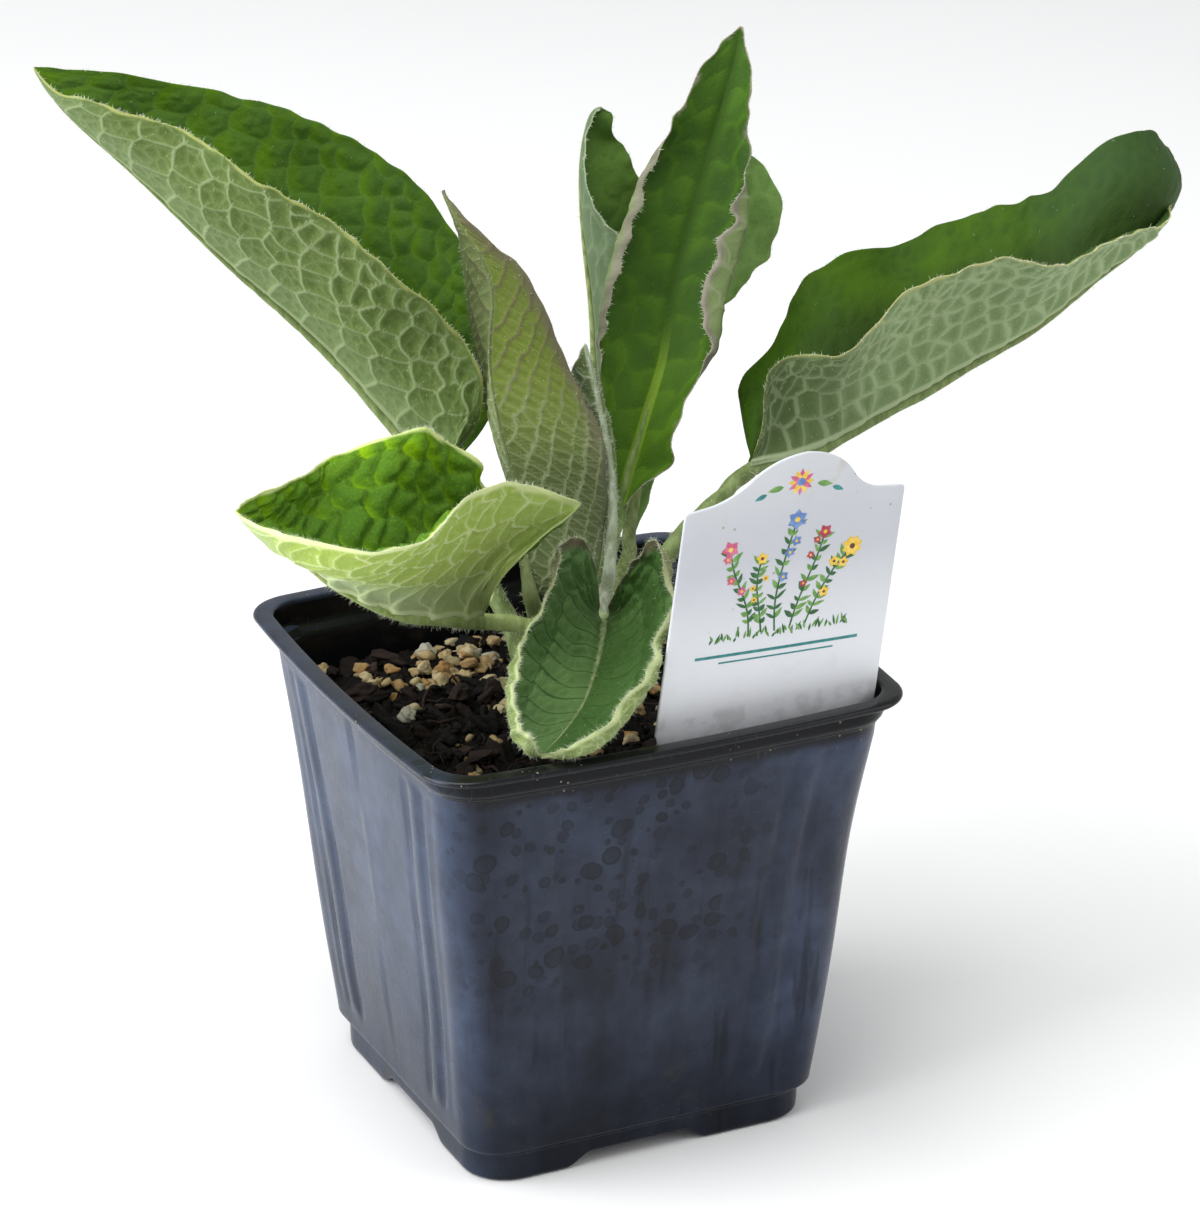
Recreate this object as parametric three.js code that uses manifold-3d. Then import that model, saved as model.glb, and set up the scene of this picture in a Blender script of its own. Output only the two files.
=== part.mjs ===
// Potted comfrey: a young plant with nine leaves on its root crown, in a square
// nursery pot with potting mix and a plain plant label. Millimetres, +Z up.
// The origin is the middle of the pot's underside; the pot's sides are square to X
// and Y, and the label stands at the front, toward -Y.

import * as THREE from 'three';
import { mergeVertices } from 'three/addons/utils/BufferGeometryUtils.js';
import Module from 'manifold-3d';

// ---------------------------------------------------------------- dimensions

const GAP = 0.3; // clearance between pieces that touch

// Pot
const RIM_Z = 83; // height of the pot
const RIM_HALF = 44.5; // half width over the rim near the corners
const RIM_BOW = 1.4; // the rim's sides bulge out this much in the middle
const RIM_CORNER = 8.8;
const RIM_INNER = 41.4;
const RIM_INNER_CORNER = 6.9;
const LIP_THICKNESS = 1.3;
const COLLAR_HALF = 42.4; // straight band under the rim
const COLLAR_Z = 77.5; // where the band meets the tapering wall
const WALL_TOP = 41.25;
const WALL_BOTTOM = 33.55;
const CORNER_TOP = 8.8;
const CORNER_BOTTOM = 7;
const WALL = 1.2;
const FOOT_HEIGHT = 6.5; // height of the stepped-in foot
const FOOT_HALF = 32.2;
const FLOOR_TOP = 4.4;
const ARCH_WIDTH = 26;
const ARCH_HEIGHT = 2.4;
const ARCH_DEPTH = 9;
const DRAIN_LENGTH = 7;
const DRAIN_WIDTH = 2.6;
const RING_SIDE_POINTS = 5;
const RING_CORNER_POINTS = 4;

// Potting mix
const SOIL_Z = 70.6; // mean level, 12 mm under the rim

// Root crown and the stub of the root under it: [height, radius]
const CROWN_X = 1.2;
const CROWN_Y = 3.6;
const CROWN_PROFILE = [[50, 1.6], [56, 3.4], [62, 5.4], [68, 8.6], [71.5, 10.4], [73.6, 11.0], [74.8, 10.6]];

// Plant label: a sheet of plastic pushed into the mix, leaning toward the front
const LABEL_ORIGIN = [18.96, -37.0, 83]; // where its middle crosses the rim plane
const LABEL_ACROSS = [0.9986, 0.032, -0.043];
const LABEL_UP = [0.047, -0.1344, 0.9898];
const LABEL_WIDTH = 42.4;
const LABEL_SHOULDER = 39.7;
const LABEL_TOP = 48.3;
const LABEL_BURIED = 44;
const LABEL_THICKNESS = 0.6;

// Leaves
const BLADE_HALF = 0.32; // half the thickness of a blade
const LEAF_STEPS = 2; // sections between two rows of a net
const LEAF_FOOT_Z = 75.1; // the stalks stand on the crown at this height

// Loose pieces lying on the mix: name, colour, [x, y, half length, half width, half height, turn, seed]
const CHIPS = [
  ['bark_chip_1', 0x3a2a20, [-31.0, 21.0, 4.2, 2.0, 1.3, 0.5, 1]],
  ['bark_chip_2', 0x3a2a20, [-20.5, 34.0, 3.6, 1.9, 1.2, 2.2, 2]],
  ['bark_chip_3', 0x3a2a20, [-15.5, 12.5, 3.4, 2.2, 1.4, 1.1, 3]],
  ['bark_chip_4', 0x3a2a20, [-24.0, -14.0, 4.4, 2.1, 1.4, 0.2, 4]],
  ['bark_chip_5', 0x3a2a20, [21.0, 24.0, 4.8, 2.2, 1.5, 2.6, 5]],
  ['bark_chip_6', 0x3a2a20, [29.0, -6.0, 3.8, 2.0, 1.3, 1.7, 6]],
  ['bark_chip_7', 0x3a2a20, [-6.0, -24.0, 4.0, 1.8, 1.2, 2.9, 7]],
  ['grit_grain_1', 0xb4703c, [-26.5, 31.5, 1.7, 1.4, 1.2, 0.3, 11]],
  ['grit_grain_2', 0xb4703c, [-22.0, 28.5, 1.5, 1.3, 1.1, 1.3, 12]],
  ['grit_grain_3', 0xa98762, [-33.0, 34.0, 1.6, 1.3, 1.2, 2.1, 13]],
  ['grit_grain_4', 0xc0b6a4, [-17.0, 25.0, 1.8, 1.4, 1.2, 0.8, 14]],
  ['grit_grain_5', 0xa98762, [-11.5, 19.5, 1.5, 1.3, 1.1, 1.9, 15]],
  ['grit_grain_6', 0xc0b6a4, [-12.0, 4.0, 1.6, 1.3, 1.1, 2.7, 16]],
  ['grit_grain_7', 0xa98762, [16.5, 3.5, 1.7, 1.4, 1.2, 0.6, 17]],
  ['grit_grain_8', 0xb4703c, [24.5, 9.5, 1.6, 1.3, 1.1, 1.5, 18]],
  ['perlite_grain_1', 0xd9d5cc, [-27.5, 8.5, 1.9, 1.7, 1.5, 0.9, 21]],
  ['perlite_grain_2', 0xd9d5cc, [-13.5, 32.5, 2.0, 1.7, 1.5, 2.4, 22]],
  ['perlite_grain_3', 0xd9d5cc, [-9.0, -12.5, 1.8, 1.6, 1.4, 0.1, 23]],
];

const LEAF_COLORS = {
  leaf_left_large: 0x46702f,
  leaf_front_left_cup: 0x6f9440,
  leaf_front_spoon: 0x2f5d2c,
  leaf_centre_tall: 0x45702a,
  leaf_centre_left: 0x6f8a3a,
  leaf_young_folded: 0x7c8a68,
  leaf_back_left: 0x4f7f30,
  leaf_back_right: 0x5f9440,
  leaf_right_large: 0x46702f,
};

// Control nets of the leaves. stalk: centre line from the crown up to the blade.
// rows: points across the blade, from its base to near its tip. tip: end of the midrib.
const LEAF_NETS = {
  leaf_left_large: {
    stalkRadius: 1.7,
    stalk: [[-5.0,8.6,75.1],[-5.3,10.56,80.34],[-6.2,16.1,86.1],[-7.45,23.36,92.4],[-8.69,29.87,99.09]],
    rows: [
      [[-7.94,31.25,110.45],[-8.78,31.5,109.44],[-9.73,32.38,107.53],[-9.63,34.02,105.4],[-7.54,35.87,105.79],[-5.4,36.83,106.61],[-4.2,37.1,107.2]],
      [[-6.6,27.31,115.18],[-8.29,28.0,113.23],[-9.26,30.34,109.9],[-9.82,34.76,106.88],[-6.2,37.5,107.87],[-1.7,38.48,109.73],[0.72,38.5,111.03]],
      [[-5.61,24.31,122.03],[-8.07,25.75,119.17],[-10.26,29.66,114.07],[-11.74,36.05,109.01],[-5.38,39.46,112.38],[1.35,40.91,116.45],[4.86,41.14,118.92]],
      [[-7.98,24.71,130.98],[-10.49,26.74,127.17],[-13.89,31.65,120.23],[-15.21,38.96,113.08],[-7.23,42.72,118.77],[0.84,44.46,124.88],[5.02,44.83,128.41]],
      [[-17.44,25.69,142.21],[-19.44,28.97,137.91],[-21.81,36.05,130.28],[-21.88,45.4,122.82],[-11.33,49.45,129.47],[-1.99,51.42,136.39],[2.87,51.9,140.33]],
      [[-25.96,29.1,150.94],[-27.63,32.7,146.5],[-29.47,40.41,138.8],[-29.11,50.47,131.59],[-18.02,54.4,139.07],[-8.19,56.22,146.66],[-3.08,56.62,150.91]],
      [[-35.8,35.85,159.11],[-37.42,39.2,154.98],[-39.22,46.45,147.9],[-38.9,56.05,141.47],[-28.37,59.93,148.63],[-18.97,61.67,155.86],[-14.07,62.01,159.91]],
      [[-43.54,41.94,164.12],[-45.02,44.75,160.52],[-46.53,50.94,154.48],[-45.86,59.31,149.22],[-36.76,62.88,155.55],[-28.62,64.31,161.98],[-24.37,64.47,165.58]],
      [[-49.16,48.81,168.41],[-50.71,50.8,165.37],[-52.38,55.5,160.35],[-51.94,62.37,156.12],[-44.42,65.76,160.98],[-37.69,67.05,166.12],[-34.16,67.14,169.07]],
      [[-56.7,55.66,171.19],[-57.96,56.98,168.94],[-59.15,60.32,165.42],[-58.34,65.49,162.84],[-52.8,68.7,166.09],[-47.81,69.87,169.86],[-45.18,69.92,172.12]],
      [[-63.63,62.36,173.03],[-64.28,63.31,171.83],[-64.79,65.47,169.98],[-64.03,68.5,168.74],[-60.45,70.69,170.72],[-57.25,71.35,173.18],[-55.57,71.27,174.68]],
      [[-67.14,67.6,173.69],[-67.4,68.2,173.41],[-67.56,69.37,173.07],[-67.1,70.73,173.04],[-65.41,72.0,173.94],[-63.84,72.51,175.11],[-63.0,72.57,175.84]],
    ],
    tip: [-68.96,72.78,176.85],
  },
  leaf_front_left_cup: {
    stalkRadius: 1.7,
    stalk: [[-5.2,-1.0,75.1],[-3.25,-0.88,80.52],[-4.93,-1.24,85.29],[-7.97,-0.84,88.5],[-12.36,0.74,89.79]],
    rows: [
      [[-15.43,1.0,93.97],[-15.6,1.29,93.42],[-15.94,1.83,92.39],[-16.31,2.44,91.25],[-15.21,3.24,91.95],[-14.16,3.7,92.69],[-13.58,3.86,93.12]],
      [[-15.1,-3.35,99.45],[-15.69,-1.91,98.16],[-16.72,0.33,95.35],[-17.67,1.92,91.59],[-14.38,6.05,93.22],[-10.94,8.98,95.23],[-8.97,10.26,96.46]],
      [[-12.73,-9.71,106.94],[-14.21,-6.77,104.59],[-16.8,-2.16,99.31],[-19.29,1.22,92.05],[-13.97,8.33,96.03],[-8.4,13.58,100.27],[-7.42,15.96,102.72]],
      [[-8.55,-12.42,111.79],[-11.2,-9.1,108.56],[-16.03,-3.78,101.64],[-20.99,0.35,92.59],[-15.11,8.4,97.4],[-8.59,13.85,102.48],[-6.95,16.12,105.39]],
      [[-4.75,-13.08,115.22],[-8.58,-9.39,111.71],[-15.61,-3.92,103.94],[-22.92,-0.64,93.41],[-17.0,8.37,98.68],[-10.13,14.07,104.54],[-8.21,16.26,107.98]],
      [[-7.93,-14.3,117.47],[-11.38,-10.78,113.37],[-17.82,-5.28,104.83],[-24.7,-1.3,94.06],[-18.75,8.58,99.6],[-11.78,14.43,106.3],[-9.8,16.51,110.39]],
      [[-11.48,-14.76,119.32],[-14.73,-12.08,114.56],[-20.9,-7.19,105.39],[-27.7,-2.19,95.03],[-21.35,7.73,101.34],[-14.16,13.55,108.72],[-9.9,15.58,113.15]],
      [[-18.07,-16.68,122.19],[-21.01,-15.07,116.61],[-26.57,-10.67,106.71],[-32.66,-3.38,97.0],[-26.48,6.98,104.46],[-19.42,13.19,112.84],[-15.23,15.42,117.79]],
      [[-26.59,-21.78,124.2],[-29.09,-19.96,118.25],[-33.52,-14.38,108.32],[-37.88,-4.42,99.79],[-31.98,5.68,108.17],[-25.04,11.6,117.11],[-20.85,13.67,122.27]],
      [[-35.3,-27.91,123.97],[-37.45,-24.94,118.59],[-40.88,-17.49,110.05],[-43.47,-6.03,103.58],[-38.08,4.75,110.25],[-31.24,11.53,117.75],[-27.0,14.13,122.18]],
      [[-40.96,-31.34,121.57],[-43.39,-27.71,117.4],[-46.86,-19.41,111.27],[-48.66,-7.69,107.66],[-45.36,4.39,110.95],[-39.9,13.15,115.91],[-36.2,17.05,119.17]],
      [[-50.02,-31.63,120.41],[-51.86,-27.84,117.37],[-53.85,-19.74,113.47],[-53.39,-9.22,112.49],[-51.43,1.05,113.61],[-46.99,8.48,116.7],[-43.78,11.78,119.0]],
      [[-57.15,-25.89,121.81],[-58.39,-23.46,119.2],[-59.25,-18.11,116.19],[-57.6,-10.86,116.33],[-57.34,-3.5,116.38],[-54.57,1.48,118.78],[-52.28,3.55,120.81]],
      [[-61.91,-20.27,122.14],[-62.64,-18.8,120.68],[-63.02,-15.67,119.13],[-61.61,-11.64,119.63],[-61.81,-7.4,119.45],[-60.46,-4.55,120.96],[-59.25,-3.37,122.31]],
    ],
    tip: [-65.66,-11.68,123.19],
  },
  leaf_front_spoon: {
    stalkRadius: 1.7,
    stalk: [[-0.6,-2.6,75.1],[0.16,-2.22,78.85],[2.09,-1.42,82.95],[4.1,-0.97,86.39],[5.07,-1.55,88.43]],
    rows: [
      [[5.09,-3.84,91.44],[5.27,-3.82,90.87],[5.28,-3.62,89.89],[4.68,-3.1,88.98],[3.93,-3.03,89.9],[3.84,-2.97,90.9],[3.99,-2.95,91.48]],
      [[5.77,-10.83,101.18],[5.97,-9.98,100.12],[6.22,-9.44,93.75],[2.75,-7.0,88.95],[-0.36,-5.31,94.9],[0.69,-5.89,101.73],[0.24,-6.21,103.71]],
      [[9.08,-14.78,107.02],[9.72,-14.77,104.58],[6.82,-14.32,95.18],[-0.02,-11.89,88.52],[-5.72,-9.49,95.55],[-7.49,-9.71,104.75],[-6.8,-10.17,107.59]],
      [[6.38,-24.52,103.85],[7.29,-24.15,102.44],[3.88,-21.37,93.36],[-3.09,-16.83,87.65],[-9.74,-15.45,93.01],[-12.81,-16.78,100.98],[-12.2,-17.72,102.69]],
      [[2.95,-32.25,101.73],[3.74,-31.91,100.15],[0.35,-27.58,91.69],[-6.29,-21.64,86.96],[-14.2,-20.53,90.85],[-19.13,-22.07,98.08],[-18.63,-23.24,99.17]],
      [[-2.57,-38.09,99.26],[-1.53,-37.87,97.69],[-3.36,-32.72,89.9],[-9.42,-25.95,86.09],[-17.64,-24.92,88.61],[-23.37,-26.49,94.89],[-22.58,-27.68,96.23]],
      [[-5.98,-42.48,96.67],[-4.67,-42.5,94.85],[-7.72,-37.29,88.0],[-13.2,-30.46,85.45],[-21.06,-30.02,86.45],[-26.83,-32.05,91.52],[-25.83,-33.11,93.35]],
      [[-10.68,-44.42,93.59],[-9.29,-44.48,91.76],[-12.13,-40.13,86.08],[-17.02,-34.29,84.93],[-23.68,-34.49,84.88],[-28.69,-36.95,88.54],[-27.68,-37.95,90.5]],
      [[-15.88,-46.31,89.93],[-14.37,-46.31,88.36],[-16.62,-42.17,84.44],[-20.2,-37.19,84.5],[-25.25,-37.65,84.63],[-28.79,-40.36,87.03],[-27.93,-41.36,88.86]],
      [[-20.68,-45.74,87.36],[-19.69,-45.57,85.61],[-20.59,-42.28,83.53],[-22.39,-38.74,84.08],[-25.5,-39.31,84.61],[-27.42,-41.76,85.34],[-26.9,-42.54,87.29]],
    ],
    tip: [-24.41,-39.95,83.31],
  },
  leaf_centre_tall: {
    stalkRadius: 1.7,
    stalk: [[4.0,6.2,75.1],[5.04,7.21,79.73],[8.01,10.04,84.59],[11.91,13.7,89.43],[15.45,16.9,94.04]],
    rows: [
      [[16.9,19.95,99.46],[17.1,19.85,99.1],[17.44,19.51,98.5],[17.76,18.87,98.0],[18.37,19.0,98.43],[18.78,18.97,98.97],[18.94,18.91,99.3]],
      [[16.68,20.76,103.0],[17.15,20.81,102.44],[18.03,20.61,101.5],[19.0,19.87,100.65],[19.86,19.04,101.19],[20.25,18.21,101.89],[20.33,17.76,102.33]],
      [[16.35,20.89,105.84],[17.06,21.16,105.15],[18.46,21.25,103.96],[20.12,20.6,102.86],[21.82,19.32,103.37],[22.78,17.89,104.21],[23.1,17.05,104.77]],
      [[16.23,21.06,109.2],[17.14,21.59,108.35],[19.02,22.04,106.84],[21.34,21.54,105.36],[23.99,19.42,105.62],[25.54,17.0,106.45],[26.08,15.56,107.08]],
      [[16.78,23.09,113.49],[18.06,23.54,112.53],[20.55,23.7,110.87],[23.41,22.65,109.36],[25.43,19.82,109.68],[26.27,17.0,110.56],[26.38,15.44,111.22]],
      [[17.41,25.68,120.58],[19.23,26.19,119.39],[22.73,26.23,117.41],[26.68,24.64,115.69],[29.03,21.73,116.35],[30.09,18.82,117.58],[30.3,17.2,118.43]],
      [[18.84,28.36,127.4],[18.62,29.53,126.59],[24.56,29.49,124.14],[30.22,26.8,122.69],[34.06,23.41,123.84],[36.05,19.1,126.07],[34.84,18.65,126.97]],
      [[21.66,29.77,135.32],[20.96,31.23,134.65],[27.43,32.23,133.31],[33.86,30.42,132.96],[37.95,26.53,133.37],[40.09,21.54,134.92],[35.99,22.36,135.64]],
      [[26.06,32.23,143.78],[25.26,33.8,143.25],[31.28,34.85,141.85],[37.32,33.23,141.27],[41.8,29.4,141.74],[44.32,24.33,143.45],[40.88,24.92,144.33]],
      [[29.37,34.15,149.97],[28.84,35.65,149.58],[34.58,36.63,148.3],[40.31,35.05,147.74],[44.51,31.47,148.44],[46.83,26.79,150.3],[44.33,26.48,150.2]],
      [[32.43,36.78,155.69],[32.23,38.31,155.7],[37.86,38.76,154.59],[43.26,36.78,154.23],[46.24,34.16,154.91],[47.85,31.28,156.15],[48.34,29.59,157.01]],
      [[36.96,37.67,162.82],[38.72,38.5,162.27],[42.18,39.22,161.4],[46.21,38.51,160.73],[48.57,36.33,161.39],[49.81,33.98,162.49],[50.16,32.62,163.24]],
      [[41.25,39.33,167.1],[42.71,39.97,166.86],[45.55,40.52,166.55],[48.82,39.92,166.45],[50.58,38.12,166.73],[51.48,36.19,167.38],[51.72,35.08,167.84]],
      [[44.96,41.39,171.72],[46.21,41.78,171.59],[48.58,41.97,171.5],[51.18,41.22,171.67],[52.11,40.12,172.01],[52.53,38.99,172.52],[52.6,38.36,172.86]],
    ],
    tip: [53.48,43.03,177.69],
  },
  leaf_centre_left: {
    stalkRadius: 1.7,
    stalk: [[-2.2,4.6,75.1],[-2.57,4.36,79.08],[-3.54,3.84,83.05],[-4.66,3.51,86.73],[-5.44,3.77,89.97]],
    rows: [
      [[-3.88,4.74,91.64],[-4.2,4.57,91.87],[-4.85,4.43,92.25],[-5.65,4.62,92.56],[-5.95,5.25,92.48],[-5.97,5.85,92.41],[-5.89,6.19,92.39]],
      [[4.56,4.39,91.42],[2.57,4.02,93.03],[-1.25,4.41,95.55],[-5.59,6.8,97.35],[-5.76,8.52,97.05],[-5.26,9.95,96.82],[-4.78,10.67,96.71]],
      [[9.81,9.04,94.79],[7.03,8.2,96.88],[1.46,7.86,100.21],[-5.2,9.71,102.75],[-5.07,13.16,102.11],[-3.7,15.87,101.66],[-2.58,17.16,101.46]],
      [[12.7,13.18,102.58],[9.43,12.16,104.38],[2.96,11.48,107.12],[-4.67,12.92,108.95],[-4.0,17.57,107.82],[-1.75,21.08,107.16],[-0.04,22.69,106.93]],
      [[13.69,14.9,111.19],[9.97,14.36,112.73],[2.87,14.57,114.94],[-5.06,17.02,116.12],[-4.26,22.37,114.31],[-1.61,26.44,113.18],[0.42,28.32,112.76]],
      [[14.0,18.46,116.06],[10.25,17.84,117.73],[3.03,17.92,120.21],[-5.11,20.22,121.7],[-4.22,25.96,119.67],[-1.34,30.26,118.29],[0.87,32.24,117.71]],
      [[12.98,22.49,121.56],[9.53,21.58,123.04],[2.84,21.14,125.26],[-4.8,22.96,126.64],[-4.26,28.56,124.78],[-1.71,32.81,123.29],[0.3,34.77,122.56]],
      [[10.94,25.15,126.02],[8.08,24.04,127.46],[2.45,23.29,129.74],[-4.11,24.85,131.44],[-4.39,29.93,130.05],[-2.75,33.98,128.64],[-1.26,35.94,127.84]],
      [[9.24,27.7,131.76],[6.99,26.47,132.89],[2.47,25.39,134.66],[-3.01,26.4,135.92],[-4.14,30.57,135.1],[-3.54,34.2,134.06],[-2.7,36.08,133.42]],
      [[7.08,29.68,137.0],[5.43,28.62,137.88],[2.0,27.53,139.21],[-2.28,27.98,140.08],[-3.91,31.05,139.6],[-4.1,34.06,139.04],[-3.78,35.72,138.71]],
      [[4.41,30.93,142.36],[3.15,30.13,142.97],[0.54,29.25,143.79],[-2.74,29.45,144.09],[-4.39,31.6,143.83],[-4.93,33.9,143.69],[-4.91,35.24,143.65]],
      [[0.68,31.09,146.54],[-0.3,30.81,147.09],[-2.22,30.76,147.87],[-4.42,31.56,148.25],[-5.45,33.05,147.9],[-5.75,34.63,147.75],[-5.7,35.53,147.72]],
      [[-3.29,32.35,150.76],[-3.95,32.36,151.17],[-5.13,32.71,151.8],[-6.29,33.69,152.24],[-6.7,34.63,152.01],[-6.69,35.55,151.92],[-6.57,36.05,151.91]],
    ],
    tip: [-8.01,36.12,157.03],
  },
  leaf_young_folded: {
    stalkRadius: 1.4,
    stalk: [[3.0,1.4,75.1],[3.76,2.05,78.58],[5.86,3.89,82.22],[8.51,6.3,85.86],[10.71,8.46,89.3]],
    rows: [
      [[12.96,10.41,92.03],[12.77,10.27,92.08],[12.39,10.04,92.16],[11.92,9.85,92.23],[11.78,10.33,92.17],[11.71,10.77,92.08],[11.7,11.01,92.03]],
      [[14.72,12.92,97.61],[14.49,12.69,97.66],[14.04,12.29,97.73],[13.47,11.93,97.81],[13.1,12.87,97.77],[12.89,13.76,97.69],[12.82,14.23,97.64]],
      [[16.28,15.85,103.26],[16.0,15.46,103.3],[15.42,14.76,103.37],[14.67,14.08,103.42],[13.95,16.06,103.3],[13.57,17.92,103.12],[13.46,18.91,103.01]],
      [[17.29,18.85,108.99],[16.93,18.32,109.03],[16.17,17.37,109.07],[15.19,16.45,109.06],[14.29,19.04,108.98],[13.83,21.46,108.85],[13.7,22.76,108.76]],
      [[17.51,21.82,114.87],[17.12,21.2,114.87],[16.3,20.11,114.82],[15.23,19.04,114.71],[14.1,21.84,114.98],[13.45,24.49,115.18],[13.23,25.93,115.26]],
      [[17.11,24.28,120.28],[16.76,23.69,120.26],[16.03,22.63,120.18],[15.06,21.58,120.03],[14.0,24.15,120.14],[13.39,26.58,120.2],[13.18,27.89,120.23]],
      [[16.08,25.41,124.73],[15.86,24.98,124.7],[15.39,24.2,124.62],[14.76,23.42,124.49],[13.87,25.15,124.48],[13.31,26.8,124.45],[13.09,27.7,124.43]],
      [[15.17,25.33,127.14],[15.06,25.12,127.09],[14.83,24.74,126.97],[14.52,24.37,126.82],[14.06,25.16,126.92],[13.75,25.94,127.0],[13.62,26.36,127.04]],
    ],
    tip: [14.45,25.45,129.08],
  },
  leaf_back_left: {
    stalkRadius: 1.6,
    stalk: [[0.6,10.8,75.1],[2.42,12.06,78.46],[7.35,15.64,81.84],[13.3,20.32,85.29],[17.84,24.52,88.83]],
    rows: [
      [[20.0,26.02,93.52],[19.86,26.27,93.27],[19.72,26.72,92.77],[19.77,27.2,92.17],[20.38,27.68,92.18],[21.0,27.96,92.28],[21.36,28.05,92.35]],
      [[21.43,28.71,105.69],[21.23,29.6,104.84],[21.25,31.19,103.19],[21.98,32.77,101.29],[24.05,34.95,101.29],[26.33,36.33,101.56],[27.67,36.86,101.79]],
      [[23.63,31.36,117.71],[23.28,33.08,116.61],[23.3,36.23,114.45],[24.52,39.48,111.93],[28.19,43.01,111.15],[32.22,45.19,110.93],[34.57,46.01,110.97]],
      [[26.25,35.32,129.2],[25.6,37.33,127.51],[25.25,41.0,124.18],[26.43,44.85,120.31],[31.61,48.59,119.59],[36.93,50.74,119.61],[39.94,51.46,119.85]],
      [[28.5,39.3,136.97],[27.67,41.49,135.25],[27.04,45.58,131.86],[28.04,49.99,127.9],[34.06,53.12,127.02],[39.98,54.69,126.97],[43.25,55.1,127.19]],
      [[28.98,44.08,142.15],[28.34,46.36,141.09],[27.98,50.63,138.98],[29.1,55.25,136.51],[34.88,56.67,135.53],[40.25,56.65,135.45],[43.12,56.2,135.67]],
      [[27.71,51.02,145.98],[27.74,52.91,145.49],[28.43,56.3,144.54],[30.29,59.71,143.48],[35.55,60.71,142.93],[40.33,60.45,143.16],[42.86,59.92,143.51]],
      [[29.37,57.28,150.04],[29.49,58.49,149.78],[30.12,60.63,149.26],[31.49,62.72,148.64],[35.54,63.28,148.7],[39.13,62.87,149.24],[40.99,62.35,149.69]],
      [[31.88,61.91,154.13],[31.96,62.56,154.03],[32.31,63.7,153.79],[33.06,64.81,153.47],[35.78,65.43,152.94],[38.3,65.31,152.72],[39.64,65.03,152.68]],
      [[33.7,64.16,156.79],[33.74,64.53,156.75],[33.93,65.18,156.62],[34.32,65.81,156.4],[36.16,65.43,156.14],[37.67,64.68,156.1],[38.42,64.15,156.14]],
      [[35.23,65.18,158.26],[35.26,65.38,158.25],[35.36,65.75,158.19],[35.55,66.1,158.04],[36.73,65.94,157.87],[37.72,65.52,157.83],[38.21,65.2,157.85]],
    ],
    tip: [36.94,65.9,158.76],
  },
  leaf_back_right: {
    stalkRadius: 1.6,
    stalk: [[7.8,8.4,75.1],[9.02,9.67,77.57],[12.43,13.21,80.5],[16.75,17.71,83.76],[20.41,21.55,87.1]],
    rows: [
      [[22.45,25.36,90.26],[22.53,25.04,90.18],[22.58,24.44,90.08],[22.48,23.76,90.08],[22.92,24.28,90.14],[23.43,24.62,90.22],[23.73,24.74,90.27]],
      [[24.28,29.31,102.13],[24.67,29.28,101.29],[25.48,28.96,99.8],[26.48,28.11,98.37],[27.98,29.29,98.65],[29.53,29.93,99.04],[30.41,30.13,99.29]],
      [[26.8,32.25,114.04],[27.48,32.77,112.62],[29.02,33.3,110.02],[31.17,33.04,107.34],[32.52,34.67,107.0],[34.09,35.71,106.73],[35.04,36.12,106.59]],
      [[29.62,34.95,125.0],[30.69,35.93,123.24],[33.07,37.12,119.98],[36.31,37.25,116.53],[38.81,39.59,116.25],[41.54,40.96,116.05],[43.13,41.43,115.96]],
      [[34.06,37.74,133.79],[35.37,38.97,132.07],[38.23,40.58,128.87],[42.06,41.05,125.43],[45.33,43.31,124.53],[48.73,44.4,123.83],[50.66,44.67,123.5]],
      [[38.57,40.22,140.8],[39.97,41.56,139.24],[43.01,43.37,136.33],[47.06,44.08,133.21],[51.53,45.87,131.36],[55.9,46.24,129.99],[58.31,46.02,129.37]],
      [[43.52,42.78,146.43],[44.76,44.11,145.05],[47.49,45.99,142.47],[51.19,46.92,139.68],[55.99,47.71,137.39],[60.47,47.13,135.78],[62.87,46.4,135.08]],
      [[48.93,45.78,149.81],[49.85,46.8,148.88],[51.87,48.27,147.12],[54.59,49.05,145.16],[58.79,49.51,143.58],[62.62,48.84,142.53],[64.64,48.13,142.1]],
      [[53.39,47.56,151.08],[53.95,48.3,150.63],[55.2,49.43,149.73],[56.91,50.16,148.66],[59.52,51.01,148.15],[61.99,51.08,147.84],[63.32,50.89,147.72]],
    ],
    tip: [59.08,50.97,151.33],
  },
  leaf_right_large: {
    stalkRadius: 1.7,
    stalk: [[8.6,1.6,75.1],[13.66,4.42,80.72],[19.51,8.62,87.97],[27.12,11.95,95.67],[35.29,13.14,100.88]],
    rows: [
      [[42.0,15.31,107.9],[41.79,14.83,107.66],[41.52,14.13,106.99],[41.45,13.76,105.89],[41.6,13.72,107.01],[41.75,13.34,107.91],[41.84,13.03,108.36]],
      [[43.91,22.47,113.62],[43.65,19.88,113.04],[43.58,15.85,110.79],[44.21,12.99,106.28],[43.75,13.12,110.15],[43.04,12.07,113.35],[42.58,11.14,114.93]],
      [[46.69,26.98,117.71],[46.38,23.23,116.54],[46.31,17.11,112.98],[47.14,12.15,106.66],[45.55,12.96,113.74],[43.71,11.83,119.85],[42.6,10.63,122.97]],
      [[52.1,27.58,122.35],[51.35,23.5,120.35],[50.49,16.83,115.31],[50.52,11.43,107.5],[48.51,11.56,116.22],[46.53,9.79,123.76],[45.44,8.24,127.63]],
      [[58.49,30.59,130.04],[57.61,25.74,126.87],[56.52,17.69,119.66],[56.34,10.85,109.59],[53.22,7.22,119.06],[50.61,2.24,126.74],[49.31,-0.94,130.49]],
      [[65.15,31.65,134.75],[64.18,26.49,131.18],[62.93,17.85,123.23],[62.6,10.37,112.35],[58.97,5.47,122.26],[55.98,-0.6,130.25],[54.5,-4.33,134.13]],
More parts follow.
